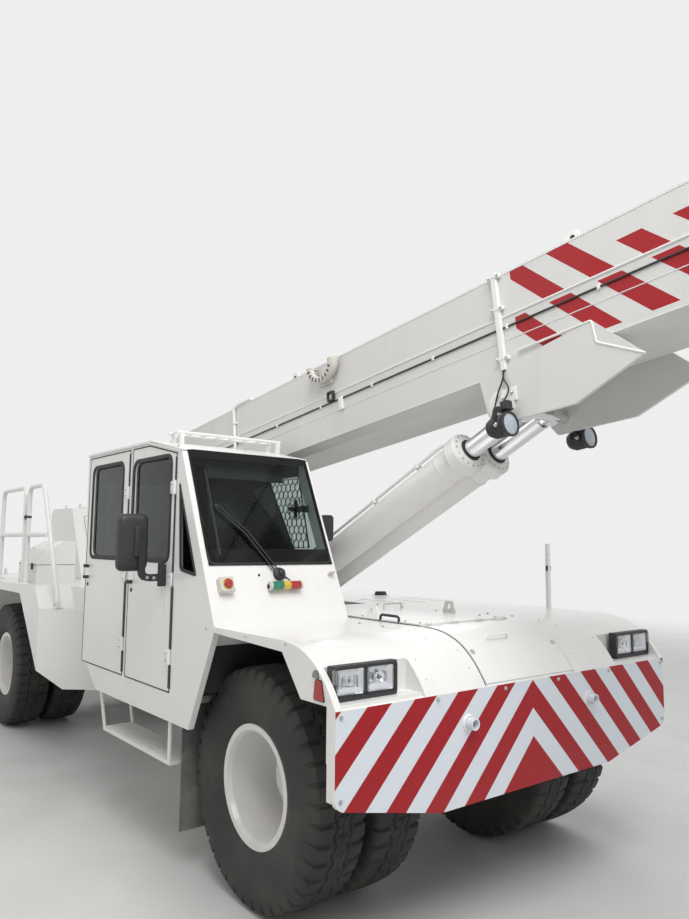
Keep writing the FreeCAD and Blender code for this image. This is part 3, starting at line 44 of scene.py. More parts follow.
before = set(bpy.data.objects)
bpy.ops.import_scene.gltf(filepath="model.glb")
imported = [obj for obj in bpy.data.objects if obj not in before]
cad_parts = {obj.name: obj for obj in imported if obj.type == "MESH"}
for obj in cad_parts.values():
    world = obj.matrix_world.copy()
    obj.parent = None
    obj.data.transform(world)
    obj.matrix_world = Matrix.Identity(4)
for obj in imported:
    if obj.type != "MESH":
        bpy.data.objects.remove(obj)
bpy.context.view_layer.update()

# Places in the frame, in metres
FRONT_AXLE = np.array([2.745, 0.0, 0.685])
REAR_AXLE = np.array([-2.745, 0.0, 0.685])
BOOM_FOOT = np.array([-0.305, 0.0, 2.65])
BOOM_ANGLE = radians(7.1)
LIFT_FOOT = np.array([0.795, 0.0, 1.42])
LIFT_EYE = np.array([3.835, 0.0, 2.925])
# Outer face of the body and cab, and top of the front deck
SIDE = 1.49
DECK = 1.602
X = np.array([1.0, 0.0, 0.0])
Y = np.array([0.0, 1.0, 0.0])
Z = np.array([0.0, 0.0, 1.0])
ALONG = np.array([cos(BOOM_ANGLE), 0.0, sin(BOOM_ANGLE)])
ABOVE = np.array([-sin(BOOM_ANGLE), 0.0, cos(BOOM_ANGLE)])


def unit(vector):
    vector = np.asarray(vector, float)
    return vector / np.linalg.norm(vector)


def across(axis):
    """Two directions square to an axis and to each other."""
    axis = unit(axis)
    other = Z if abs(axis[2]) < 0.9 else X
    first = unit(np.cross(other, axis))
    return first, np.cross(axis, first)


def grid(points, wrap_u=False, wrap_v=False):
    """Surface over an array of points: each point is joined to its neighbours in both directions."""
    points = np.asarray(points, float)
    rows, cols = points.shape[:2]
    i = np.arange(rows if wrap_u else rows - 1)
    j = np.arange(cols if wrap_v else cols - 1)
    i, j = np.meshgrid(i, j, indexing="ij")
    i2, j2 = (i + 1) % rows, (j + 1) % cols
    faces = np.stack([i * cols + j, i2 * cols + j, i2 * cols + j2, i * cols + j2], -1)
    return points.reshape(-1, 3), [tuple(f) for f in faces.reshape(-1, 4).tolist()]


def full_turn(steps):
    return np.linspace(0, 2 * pi, steps, endpoint=False)


def lathe(profile, centre, axis, steps=48):
    """A profile of (distance along the axis, radius) carried round: centre + a*axis + r*(cos, sin)."""
    along, radius = np.asarray(profile, float).T[..., None]
    first, second = across(axis)
    angle = full_turn(steps)[:, None, None]
    circle = np.cos(angle) * first + np.sin(angle) * second
    return grid(np.asarray(centre) + along * unit(axis) + radius * circle, wrap_u=True)


def bend(points, radius, steps=6):
    """A path whose corners are arcs: quadratic curves that start and end a radius away from the corner."""
    points = [np.asarray(p, float) for p in points]
    path = [points[0]]
    for before, corner, after in zip(points, points[1:], points[2:]):
        reach = min(radius, np.linalg.norm(before - corner) / 2, np.linalg.norm(after - corner) / 2)
        a = corner + unit(before - corner) * reach
        b = corner + unit(after - corner) * reach
        t = np.linspace(0, 1, steps + 1)[:, None]
        path.extend((1 - t) ** 2 * a + 2 * t * (1 - t) * corner + t ** 2 * b)
    path.append(points[-1])
    return np.array(path)


def sweep(path, section, closed=False):
    """A section of (side, up) carried along a path, each station square to the path's direction there."""
    path = np.asarray(path, float)
    side, up = np.asarray(section, float).T[..., None]
    ahead = np.roll(path, -1, 0) - np.roll(path, 1, 0)
    if not closed:
        ahead[0], ahead[-1] = path[1] - path[0], path[-1] - path[-2]
    ahead /= np.linalg.norm(ahead, axis=1)[:, None]
    first, _ = across(ahead[0])
    sides = []
    for direction in ahead:
        first = unit(first - direction * first.dot(direction))
        sides.append(first)
    sides = np.array(sides)
    points = path[:, None] + side * sides[:, None] + up * np.cross(ahead, sides)[:, None]
    if not closed:
        ends = path[:, None].repeat(len(section), 1)
        points = np.concatenate([ends[:1], points, ends[-1:]])
    return grid(points, wrap_u=closed, wrap_v=True)


def circle_section(radius, sides=10):
    angle = full_turn(sides)
    return np.stack([np.cos(angle), np.sin(angle)], -1) * radius


def pipe(points, radius, corner=0.0, sides=10, closed=False):
    """A round bar along a path with rounded corners."""
    path = bend(points, corner) if corner else np.asarray(points, float)
    return sweep(path, circle_section(radius, sides), closed)


def block(size, centre, radius=0.004, along=X, up=Z, steps=3):
    """A box with rounded edges: a cube's grid pulled to an inner box plus a sphere of the edge radius."""
    size = np.asarray(size, float) / 2
    radius = min(radius, size.min() * 0.98)
    swing = np.tan(np.linspace(0, pi / 4, steps + 1))
    line = np.concatenate([-1 - swing[::-1], 1 + swing])
    u, v = np.meshgrid(line, line, indexing="ij")
    verts, faces = [], []
    count = 0
    for axis in range(3):
        for sign in (-1, 1):
            cube = np.empty(u.shape + (3,))
            cube[..., axis] = sign * 2.0
            cube[..., (axis + 1) % 3] = u if sign > 0 else v
            cube[..., (axis + 2) % 3] = v if sign > 0 else u
            inner = np.clip(cube, -1, 1)
            lift = cube - inner
            lift /= np.linalg.norm(lift, axis=-1, keepdims=True)
            points, quads = grid(inner * (size - radius) + lift * radius)
            verts.append(points)
            faces += [tuple(k + count for k in q) for q in quads]
            count += len(points)
    verts = np.concatenate(verts)
    along = unit(along)
    up = unit(np.asarray(up) - along * np.dot(up, along))
    frame_axes = np.stack([along, np.cross(up, along), up])
    return verts @ frame_axes + np.asarray(centre), faces


def plate(outline, origin, right, up, depth, edge=0.0):
    """A flat outline given a thickness along cross(right, up), its rims chamfered by the edge."""
    outline = np.asarray(outline, float)
    right, up = unit(right), unit(up)
    normal = np.cross(right, up)
    lefts = []
    for run in (np.roll(outline, -1, 0) - outline, outline - np.roll(outline, 1, 0)):
        lefts.append(np.stack([-run[:, 1], run[:, 0]], -1) / np.linalg.norm(run, axis=1)[:, None])
    mitre = (lefts[0] + lefts[1]) / (1 + (lefts[0] * lefts[1]).sum(1))[:, None]
    x, y = outline.T
    area = (x * np.roll(y, -1) - y * np.roll(x, -1)).sum()
    inset = outline + mitre * edge * (1 if area > 0 else -1)
    rings = [(outline, 0.0), (outline, depth)]
    if edge:
        rings = [(inset, 0.0), (outline, edge), (outline, depth - edge), (inset, depth)]
    points = [ring[:, :1] * right + ring[:, 1:] * up + normal * height for ring, height in rings]
    verts, faces = grid(np.array(points) + np.asarray(origin), wrap_v=True)
    count = len(outline)
    faces += [tuple(range(count))[::-1], tuple(range(len(verts) - count, len(verts)))]
    return verts, faces


def rounded(corners, radius, steps=5):
    """A closed outline whose corners are arcs, as quadratic curves between their starts and ends."""
    corners = np.asarray(corners, float)
    result = []
    for before, corner, after in zip(np.roll(corners, 1, 0), corners, np.roll(corners, -1, 0)):
        reach = min(radius, np.linalg.norm(before - corner) / 2.05, np.linalg.norm(after - corner) / 2.05)
        a = corner + unit(before - corner) * reach
        b = corner + unit(after - corner) * reach
        t = np.linspace(0, 1, steps + 1)[:, None]
        result.append((1 - t) ** 2 * a + 2 * t * (1 - t) * corner + t ** 2 * b)
    return np.concatenate(result)


def box_outline(left, right, low, high):
    return [(left, low), (right, low), (right, high), (left, high)]


def centred(width, height):
    """A rectangle about the middle of an outline's or a section's plane."""
    return box_outline(-width / 2, width / 2, -height / 2, height / 2)


def oblong(width, height, radius, steps=5):
    return rounded(centred(width, height), radius, steps)


def lay(outline, origin, right, up, lift=0.0):
    """Points of a flat outline in space, lifted along its normal."""
    outline = np.asarray(outline, float)
    right, up = unit(right), unit(up)
    return np.asarray(origin) + outline[..., :1] * right + outline[..., 1:] * up + lift * np.cross(right, up)


def seal(outline, origin, right, up, section):
    """A strip carried round a closed outline, such as a window seal or a lamp bezel."""
    path = lay(outline, origin, right, up)
    normal = np.cross(unit(right), unit(up))
    ahead = np.roll(path, -1, 0) - np.roll(path, 1, 0)
    ahead /= np.linalg.norm(ahead, axis=1)[:, None]
    side, rise = np.asarray(section, float).T[..., None]
    points = path[:, None] + side * np.cross(ahead, normal)[:, None] + rise * normal
    return grid(points, wrap_u=True, wrap_v=True)


def pin(centre, axis, half, radius, steps=20):
    """A plain round pin that reaches as far to both sides of its centre."""
    return lathe([(-half, 0.0), (-half, radius), (half, radius), (half, 0.0)], centre, axis, steps)


def bolt(centre, axis, radius=0.012, washer=True):
    """A hexagon head on a washer, its corners chamfered by a shorter ring at its top."""
    head = [(0.0, radius), (radius * 0.9, radius), (radius * 1.1, radius * 0.82), (radius * 1.1, 0.0)]
    parts = [lathe(head, centre, axis, 6)]
    if washer:
        parts.append(lathe(
            [(0.0, radius * 1.5), (radius * 0.2, radius * 1.5), (radius * 0.25, 0.0)], centre, axis, 16))
    return parts


def bolt_ring(centre, axis, first, second, radius, count, start=0.0, washer=False):
    """Bolts round centre + first*cos(t) + second*sin(t), from t = start."""
    bolts = []
    for t in start + 2 * pi * np.arange(count) / count:
        bolts += bolt(centre + first * cos(t) + second * sin(t), axis, radius, washer)
    return bolts


def on_boom(along, side, above):
    return BOOM_FOOT + ALONG * along + Y * side + ABOVE * above


# Cross pin of the lift rods, along, aside and above on the boom
LIFT_PIN = (4.1423, 0.0, -0.2388)


def boom_block(size, place, radius):
    """A box that lies along the boom, at a place on it."""
    return block(size, on_boom(*place), radius, ALONG, ABOVE)


def make(name, body, slot=None, angle=35.0, **groups):
    """One piece from surfaces by finish: its doubles are merged and its faces turned outwards."""
    mesh = bpy.data.meshes.new(name)
    verts, faces, index = [], [], []
    count = 0
    for number, (finish_name, surfaces) in enumerate(groups.items()):
        mesh.materials.append(FINISHES[finish_name]())
        for points, quads in surfaces:
            verts.append(points)
            faces += [tuple(k + count for k in face) for face in quads]
            index += [number] * len(quads)
            count += len(points)
    mesh.from_pydata(np.concatenate(verts), [], faces)
    mesh.polygons.foreach_set("material_index", np.array(index, np.int32))
    work = bmesh.new()
    work.from_mesh(mesh)
    bmesh.ops.remove_doubles(work, verts=work.verts, dist=1e-5)
    bmesh.ops.dissolve_degenerate(work, edges=work.edges, dist=1e-6)
    bmesh.ops.recalc_face_normals(work, faces=work.faces)
    work.to_mesh(mesh)
    work.free()
    mesh.shade_smooth()
    mesh.set_sharp_from_angle(angle=radians(angle))
    piece = bpy.data.objects.new(name, mesh)
    bpy.context.scene.collection.objects.link(piece)
    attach(piece, body)
    return piece


class Finish:
    """A finish made of shader nodes on Object coordinates, which are the frame's own metres."""

    def __init__(self, name, colour, roughness, metallic, sockets):
        self.material = bpy.data.materials.new(name)
        self.material.use_nodes = True
        self.tree = self.material.node_tree
        self.shader = self.tree.nodes["Principled BSDF"]
        self.place = self.node("ShaderNodeTexCoord").outputs["Object"]
        for socket, value in {
                "Base Color": colour, "Roughness": roughness, "Metallic": metallic, **sockets}.items():
            self.set(socket.replace("_", " "), value)

    def node(self, kind, settings=(), **inputs):
        node = self.tree.nodes.new(kind)
        for key, value in dict(settings).items():
            setattr(node, key, value)
        for key, value in inputs.items():
            self.feed(node.inputs[key.replace("_", " ")], value)
        return node

    def feed(self, socket, value):
        if isinstance(value, bpy.types.NodeSocket):
            self.tree.links.new(value, socket)
        elif socket.type == "RGBA":
            socket.default_value = (*value[:3], 1.0)
        else:
            socket.default_value = value

    def set(self, socket, value):
        self.feed(self.shader.inputs[socket], value)

    def sum(self, operation, a, b=0.0):
        node = self.node("ShaderNodeMath", {"operation": operation})
        self.feed(node.inputs[0], a)
        self.feed(node.inputs[1], b)
        return node.outputs[0]

    def times(self, total, *values):
        for value in values:
            total = self.sum("MULTIPLY", total, value)
        return total

    def plus(self, a, b):
        return self.sum("ADD", a, b)

    def minus(self, a, b):
        return self.sum("SUBTRACT", a, b)

    def over(self, a, b):
        return self.sum("GREATER_THAN", a, b)

    def under(self, a, b):
        return self.sum("LESS_THAN", a, b)

    def within(self, value, low, high):
        return self.times(self.over(value, low), self.under(value, high))

    def mix(self, share, a, b):
        node = self.node("ShaderNodeMix", {"data_type": "RGBA"})
        for number, value in ((0, share), (6, a), (7, b)):
            self.feed(node.inputs[number], value)
        return node.outputs[2]

    def colour(self, share, a, b):
        """Base colour that goes from one to the other by a share."""
        self.set("Base Color", self.mix(share, a, b))

    def base(self):
        return self.shader.inputs["Base Color"].links[0].from_socket

    def rough(self, *values):
        self.set("Roughness", self.ramp(*values))

    def axes(self):
        return self.node("ShaderNodeSeparateXYZ", Vector=self.place).outputs

    def noise(self, scale, detail=4.0, rough=0.55, stretch=None):
        place = self.place
        if stretch:
            place = self.node("ShaderNodeMapping", Vector=place, Scale=stretch).outputs[0]
        return self.node(
            "ShaderNodeTexNoise", Vector=place, Scale=scale, Detail=detail, Roughness=rough).outputs[0]

    def cells(self, scale, feature="F1"):
        return self.node(
            "ShaderNodeTexVoronoi", {"feature": feature}, Vector=self.place, Scale=scale).outputs[0]

    def wave(self, scale, direction):
        settings = {"bands_direction": direction}
        return self.node("ShaderNodeTexWave", settings, Vector=self.place, Scale=scale).outputs[1]

    def ramp(self, value, low, high, to_low=0.0, to_high=1.0):
        node = self.node("ShaderNodeMapRange", {"interpolation_type": "SMOOTHSTEP"})
        for number, item in enumerate((value, low, high, to_low, to_high)):
            self.feed(node.inputs[number], item)
        return node.outputs[0]

    def bump(self, height, strength, distance=0.001):
        self.set(
            "Normal",
            self.node("ShaderNodeBump", Height=height, Strength=strength, Distance=distance).outputs[0])

    def dusty(self, base, dust, top=1.2, most=0.35):
        """Dust that thins out with height and breaks up in soft patches."""
        low = self.ramp(self.axes()[2], 0.2, top, most, 0.0)
        patch = self.ramp(self.noise(3.0, 6.0), 0.35, 0.7, 0.3, 1.0)
        return self.mix(self.times(low, patch), base, dust)


FINISHES = {}


def finish(colour=(1.0, 1.0, 1.0), roughness=0.34, metallic=0.0, **sockets):
    """Keep a finish by its maker's name: the maker adds its nodes once, when it is first asked for."""

    def keep(maker):
        made = []

        def once():
            if not made:
                made.append(Finish(maker.__name__, colour, roughness, metallic, sockets))
                maker(made[0])
            return made[0].material

        FINISHES[maker.__name__] = once
        return maker

    return keep


def crane():
    return bpy.context.scene.crane


def coated(made, shade=1.0, dust=0.35):
    """Sprayed enamel: slow shade changes, a fine orange-peel bump, small run marks and road dust low down."""
    pale = tuple(c * shade for c in crane().paint)
    made.set("Base Color", pale)
    streak = made.ramp(made.noise(1.0, 5.0, 0.6, (6.0, 6.0, 0.7)), 0.45, 0.75)
    base = made.mix(made.times(streak, 0.5), pale, tuple(c * 0.93 for c in pale))
    made.set("Base Color", made.dusty(base, (0.42, 0.38, 0.32), 1.3, dust))
    made.rough(made.noise(2.2, 4.0), 0.3, 0.75, 0.28, 0.44)
    made.bump(made.noise(260.0, 2.0), 0.05, 0.0006)


@finish(Coat_Weight=0.35, Coat_Roughness=0.12)
def white_paint(made):
    coated(made)


@finish(Coat_Weight=0.35, Coat_Roughness=0.12)
def frame_paint(made):
    coated(made, 0.9, 0.55)


@finish(Coat_Weight=0.35, Coat_Roughness=0.12)
def wheel_paint(made):
    coated(made, 0.94, 0.3)


@finish(Coat_Weight=0.35, Coat_Roughness=0.12)
def cab_paint(made):
    """White outside, and charcoal within the cab's hollow: painted shade for the dark inside of the cab."""
    coated(made)
    x, y, z = made.axes()
    front = made.plus(x, made.times(z, 0.486))
    inside = made.times(made.within(y, -SIDE + 0.012, -0.462), made.under(front, 3.337))
    # The back wall leans in towards its foot in three runs
    for reach, level, lean in ((0.294, 2.83, 0.0342), (0.346, 1.31, 0.59), (0.46, 1.117, 1.29)):
        wall = made.plus(reach, made.times(made.minus(level, z), lean))
        inside = made.times(inside, made.over(x, wall))
    inside = made.times(inside, made.under(x, 2.0), made.over(z, 0.96))
    # Painted shade: within the hollow the sheet turns charcoal
    made.colour(inside, made.base(), (0.03, 0.031, 0.034))
    made.set("Roughness", made.mix(inside, (0.34,) * 3, (0.75,) * 3))


@finish(Coat_Weight=0.35, Coat_Roughness=0.12)
def door_paint(made):
    """White outside with grey runs under the mirror's foot, and charcoal on the doors' inner faces as painted
    shade of the cab's inside.
    """
    coated(made)
    x, y, z = made.axes()
    away = made.sum("ABSOLUTE", made.minus(x, 1.85))
    run = made.times(made.ramp(away, 0.02, 0.055, 1.0, 0.0), made.ramp(z, 1.52, 1.8), made.under(z, 1.815))
    streaks = made.ramp(made.noise(1.0, 4.0, 0.6, (60.0, 60.0, 3.0)), 0.45, 0.62, 0.0, 0.55)
    base = made.mix(made.times(run, streaks), made.base(), (0.36, 0.34, 0.31))
    # Painted shade: the doors' inner faces turn charcoal
    made.colour(made.over(y, -SIDE + 0.034), base, (0.035, 0.036, 0.039))


@finish(Coat_Weight=0.35, Coat_Roughness=0.12)
def roof_paint(made):
    """White outside, and near black below the roof's own plane, which falls towards the front: painted shade
    under the roof.
    """
    coated(made, 1.0, 0.0)
    x, _, z = made.axes()
    fall = made.times(made.sum("MAXIMUM", made.minus(x, 1.543), 0.0), 0.2025)
    # Painted shade: under the roof's plane the sheet turns near black
    made.colour(made.under(made.plus(z, fall), 2.836), made.base(), (0.05, 0.05, 0.055))


@finish((0.72, 0.77, 0.82), 0.4, Coat_Weight=0.08, Coat_Roughness=0.3, Specular_IOR_Level=0.25)
def striped_plate(made):
    """White sheeting with red chevrons: a band is red where (|y| + z) repeats within half of its pitch."""
    x, y, z = made.axes()
    pitch = crane().stripe_pitch
    step = made.sum("MAXIMUM", made.plus(made.sum("ABSOLUTE", y), z), 0.832)
    red = made.under(made.sum("FLOORED_MODULO", made.minus(step, 0.829), pitch), pitch * 0.5)
    cells = made.cells(140.0, "DISTANCE_TO_EDGE")
    tape = made.mix(red, (0.72, 0.77, 0.82), crane().stripe_red)
    tape = made.mix(made.ramp(cells, 0.0, 0.08, 0.04, 0.0), tape, (0.5, 0.45, 0.48))
    tape = made.dusty(tape, (0.45, 0.4, 0.36), 1.1, 0.08)
    made.colour(made.over(x, FRONT_AXLE[0] + 1.0335), crane().paint, tape)
    made.bump(cells, 0.06, 0.0004)


@finish(Coat_Weight=0.1, Coat_Roughness=0.12, Specular_IOR_Level=0.3)
def boom_paint(made):
    """White enamel, darkened to 0.84 as painted shade over the whole boom, with slanted red bars on both
    flanks, by u + w: u along the boom and w above its foot.
    """
    # Painted shade: the enamel is taken down to 0.84 all over the boom
    coated(made, 0.84, 0.0)
    turn = {"Location": BOOM_FOOT, "Rotation": (0.0, -BOOM_ANGLE, 0.0)}
    boom = made.node("ShaderNodeMapping", {"vector_type": "TEXTURE"}, Vector=made.place, **turn).outputs[0]
    u, v, w = made.node("ShaderNodeSeparateXYZ", Vector=boom).outputs
    slant = made.plus(u, w)
    bar = made.under(made.sum("FLOORED_MODULO", made.minus(slant, 4.497), 0.3105), 0.1465)
    flank = made.within(made.sum("ABSOLUTE", v), 0.2985, 0.3008)
    low = made.times(made.within(w, -0.006, 0.267), made.over(slant, 4.4))
    top = made.plus(made.times(made.under(u, 4.86), 0.122), 0.438)
    high = made.times(made.within(w, 0.3, top), made.over(slant, 4.7))
    red = made.times(bar, made.within(u, 4.3, 5.86), flank, made.plus(low, high))
    made.colour(red, made.base(), crane().stripe_red)


@finish((0.022, 0.022, 0.022), 0.78)
def tread_rubber(made):
    """Worn black rubber: grey scuffs and brown dust in soft patches all over, and a fine grain."""
    scuff = made.ramp(made.noise(9.0, 8.0, 0.65), 0.38, 0.72)
    dust = made.ramp(made.noise(2.6, 5.0), 0.4, 0.65, 0.0, 0.55)
    base = made.mix(scuff, (0.018, 0.018, 0.019), (0.045, 0.043, 0.04))
    made.colour(dust, base, (0.06, 0.055, 0.044))
    made.rough(scuff, 0.0, 1.0, 0.66, 0.86)
    made.bump(made.noise(120.0, 6.0, 0.7), 0.25, 0.001)


@finish((0.022, 0.022, 0.024), 0.45)
def black_steel(made):
    """Black enamel on steel, with dust and faint rubbed patches."""
    rub = made.ramp(made.noise(7.0, 7.0, 0.6), 0.5, 0.75, 0.0, 0.6)
    base = made.mix(rub, (0.018, 0.018, 0.02), (0.06, 0.057, 0.053))
    made.set("Base Color", made.dusty(base, (0.11, 0.095, 0.075), 1.4, 0.5))
    made.rough(rub, 0.0, 0.6, 0.38, 0.62)
    made.bump(made.noise(150.0, 3.0), 0.08, 0.0006)


@finish((0.024, 0.025, 0.027), 0.5)
def black_plastic(made):
    """Moulded black plastic with a fine leather-like grain."""
    made.colour(made.noise(5.0, 5.0), (0.018, 0.019, 0.021), (0.034, 0.035, 0.038))
    made.bump(made.cells(420.0), 0.12, 0.0004)


@finish((0.016, 0.016, 0.017), 0.62)
def seal_rubber(made):
    made.colour(made.noise(14.0, 4.0), (0.012, 0.012, 0.013), (0.028, 0.027, 0.026))
    made.bump(made.noise(300.0, 2.0), 0.06, 0.0004)


@finish((0.42, 0.46, 0.46), 0.03, Transmission_Weight=1.0, IOR=1.25)
def tinted_glass(made):
    """Grey toughened glass with faint patches of dust."""
    film = made.ramp(made.noise(18.0, 7.0, 0.6), 0.55, 0.9, 0.0, 0.25)
    made.colour(film, (0.36, 0.41, 0.41), (0.26, 0.28, 0.27))


@finish((0.5, 0.56, 0.54), 0.03, IOR=1.25)
def screen_tint(made):
    """The windscreen: green-grey glass with a black border, broad along its foot where it is painted shade
    for the dark dash seen behind the glass.
    """
    _, y, z = made.axes()
    # Painted shade: the broad black band along the foot stands for the dark dash behind the glass
    band = made.under(z, 2.068)
    for edge in (made.over(z, 2.686), made.over(y, -0.498), made.under(y, -1.437)):
        band = made.sum("MAXIMUM", band, edge)
    film = made.ramp(made.noise(9.0, 7.0, 0.6), 0.5, 0.85, 0.0, 0.3)
    glass = made.mix(film, (0.5, 0.57, 0.55), (0.36, 0.39, 0.38))
    made.colour(band, glass, (0.012, 0.012, 0.013))
    made.set("Transmission Weight", made.minus(1.0, band))


@finish((0.5, 0.55, 0.54), 0.04, Transmission_Weight=1.0, IOR=1.25)
def film_glass(made):
    """Side and back panes: dark film, but clear in front of the slanting edge where the guard is."""
    x, y, z = made.axes()
    edge = made.minus(1.93, made.times(made.minus(z, 2.075), 0.69))
    ahead = made.times(made.over(x, edge), made.over(y, -1.0))
    made.colour(ahead, (0.03, 0.036, 0.036), (0.72, 0.76, 0.75))


@finish((0.97, 0.98, 1.0), 0.06, Transmission_Weight=1.0, IOR=1.48)
def clear_lens(made):
    """Clear moulded glass with fine upright flutes."""
    made.bump(made.wave(30.0, "Y"), 0.35, 0.0012)


@finish((0.86, 0.87, 0.88), 0.12, 1.0)
def bright_reflector(made):
    made.rough(made.noise(40.0, 3.0), 0.3, 0.7, 0.08, 0.2)
    made.bump(made.noise(60.0, 2.0), 0.1, 0.001)


LENS = {"roughness": 0.16, "Coat_Weight": 0.6, "Coat_Roughness": 0.05}


def lens_plastic(made):
    """Coloured lens plastic with a prism pattern of small cells."""
    colour = made.shader.inputs["Base Color"].default_value[:3]
    cells = made.cells(110.0, "DISTANCE_TO_EDGE")
    made.colour(made.ramp(cells, 0.0, 0.25), tuple(c * 0.55 for c in colour), colour)
    made.bump(cells, 0.3, 0.0012)


@finish((0.5, 0.02, 0.022), **LENS)
def red_lens(made):
    lens_plastic(made)


@finish((0.8, 0.26, 0.02), **LENS)
def amber_lens(made):
    lens_plastic(made)


@finish((0.3, 0.29, 0.28), **LENS)
def smoke_lens(made):
    lens_plastic(made)


@finish((0.01, 0.27, 0.16), **LENS)
def green_lens(made):
    lens_plastic(made)


@finish((0.85, 0.58, 0.05), **LENS)
def yellow_lens(made):
    lens_plastic(made)


@finish((0.8, 0.81, 0.83), 0.1, 1.0)
def chromed_rod(made):
    """Hard chrome, ground round the rod: fine turned marks that run around it."""
    made.rough(made.noise(30.0, 5.0), 0.3, 0.8, 0.06, 0.2)
    made.bump(made.noise(160.0, 2.0), 0.04, 0.0003)


@finish((0.3, 0.3, 0.31), 0.45, 0.9)
def wire_rope(made):
    """Laid steel wire: slanted strands, as a wave along x + 2z."""
    lay = made.wave(90.0, "DIAGONAL")
    made.colour(lay, (0.1, 0.1, 0.1), (0.42, 0.42, 0.43))
    made.bump(lay, 0.5, 0.002)


@finish((0.07, 0.07, 0.075), 0.55, 0.4)
def cast_steel(made):
    made.colour(made.noise(8.0, 7.0), (0.045, 0.045, 0.048), (0.13, 0.12, 0.11))
    made.bump(made.noise(90.0, 5.0, 0.7), 0.3, 0.001)


@finish((0.52, 0.52, 0.53), 0.3, 0.9)
def machined_steel(made):
    made.rough(made.noise(50.0, 4.0), 0.3, 0.7, 0.2, 0.42)
    made.bump(made.noise(200.0, 2.0), 0.06, 0.0004)


@finish((0.035, 0.036, 0.04), 0.9, Sheen_Weight=0.3)
def seat_cloth(made):
    """Charcoal seat cloth: two crossed waves raise its threads."""
    weave = made.times(made.wave(160.0, "Y"), made.wave(160.0, "Z"))
    made.colour(weave, (0.024, 0.025, 0.028), (0.06, 0.06, 0.066))
    made.bump(weave, 0.5, 0.001)


@finish((0.16, 0.16, 0.155), 0.8)
def flap_rubber(made):
    """Grey weathered rubber sheet of a mud flap, dusty at its foot."""
    grime = made.ramp(made.noise(5.0, 7.0, 0.65), 0.35, 0.7)
    base = made.mix(grime, (0.12, 0.12, 0.12), (0.24, 0.235, 0.22))
    made.set("Base Color", made.dusty(base, (0.26, 0.23, 0.19), 0.9, 0.6))
    made.bump(made.noise(80.0, 4.0), 0.15, 0.001)


@finish((0.62, 0.6, 0.55), 0.4)
def grey_box(made):
    made.colour(made.noise(9.0, 5.0), (0.66, 0.64, 0.58), (0.54, 0.52, 0.47))
    made.bump(made.noise(250.0, 2.0), 0.05, 0.0004)


@finish((0.02, 0.02, 0.022), 0.5)
def hose_rubber(made):
    made.colour(made.noise(20.0, 4.0), (0.015, 0.015, 0.017), (0.035, 0.034, 0.033))
    made.bump(made.noise(240.0, 3.0), 0.1, 0.0005)


@finish((0.02, 0.03, 0.035), 0.12)
def screen_glass(made):
    made.colour(made.noise(6.0, 2.0), (0.012, 0.018, 0.022), (0.05, 0.07, 0.08))


@finish((0.4, 0.45, 0.5), 0.28, Coat_Weight=0.6, Coat_Roughness=0.06)
def frosted_lens(made):
    """Blue-grey frosted glass with a fine prism pattern pressed in it."""
    prism = made.cells(140.0)
    made.colour(prism, (0.3, 0.35, 0.41), (0.52, 0.57, 0.62))
    made.bump(prism, 0.5, 0.0015)


@finish((0.62, 0.61, 0.59), 0.55)
def floor_concrete(made):
    """Pale power-floated concrete, which fades to the even backdrop far from the machine."""
    cloud = made.ramp(made.noise(1.8, 8.0, 0.62), 0.3, 0.7)
    made.colour(cloud, (0.635, 0.63, 0.615), (0.665, 0.66, 0.645))
    made.rough(made.noise(1.6, 5.0), 0.3, 0.7, 0.42, 0.65)
    made.bump(made.noise(30.0, 6.0), 0.05, 0.001)
    reach = made.node("ShaderNodeVectorMath", {"operation": "LENGTH"}, Vector=made.place).outputs["Value"]
    ray = made.node("ShaderNodeLightPath").outputs
    seen = made.sum("MAXIMUM", ray["Is Glossy Ray"], ray["Is Transmission Ray"])
    far = made.times(made.ramp(reach, 8.0, 19.0), made.sum("MAXIMUM", ray["Is Camera Ray"], seen))
    glow = made.node("ShaderNodeEmission", Color=(crane().floor_shade,) * 3, Strength=1.0)
    both = made.node("ShaderNodeMixShader")
    for number, item in enumerate((far, made.shader.outputs[0], glow.outputs[0])):
        made.feed(both.inputs[number], item)
    made.feed(made.tree.nodes["Material Output"].inputs["Surface"], both.outputs[0])


class CraneSizes(bpy.types.PropertyGroup):
    """Sizes and colours that a user would change."""

    paint: FloatVectorProperty(
        name="Paint", description="Enamel of the body and boom", subtype="COLOR", default=(0.81, 0.8, 0.775),
        min=0, max=1)
    stripe_red: FloatVectorProperty(
        name="Stripe red", description="Warning stripes", subtype="COLOR", default=(0.36, 0.006, 0.012),
        min=0, max=1)
    stripe_pitch: FloatProperty(
        name="Chevron pitch", description="Height between two red chevrons", default=0.3235, min=0.1,
        unit="LENGTH")
    lug_count: IntProperty(name="Tread lugs", description="Shoulder lugs round a tyre", default=40, min=12)
    tread_depth: FloatProperty(
        name="Tread depth", description="Depth of the tread grooves", default=0.016, min=0.002, unit="LENGTH")
    nut_count: IntProperty(name="Wheel nuts", description="Nuts on a wheel's hub", default=10, min=4)
    seal_width: FloatProperty(
        name="Seal width", description="Width of the window seals", default=0.026, min=0.005, unit="LENGTH")
    mesh_pitch: FloatProperty(
        name="Guard mesh pitch", description="Width of a diamond of the window guard", default=0.062,
        min=0.02, unit="LENGTH")
    key_light: FloatProperty(
        name="Key light", description="Power of the large soft lamp", default=680.0, min=0.0)
    sky_light: FloatProperty(
        name="Sky light", description="Strength of the even light all round", default=0.52, min=0.0)
    floor_shade: FloatProperty(
        name="Backdrop shade", description="Grey of what the camera sees behind", default=0.86, min=0.0,
        max=1.0)


class CraneOperator(bpy.types.Operator):
    """Common ground of the crane's operators."""

    bl_options = {"REGISTER", "UNDO"}


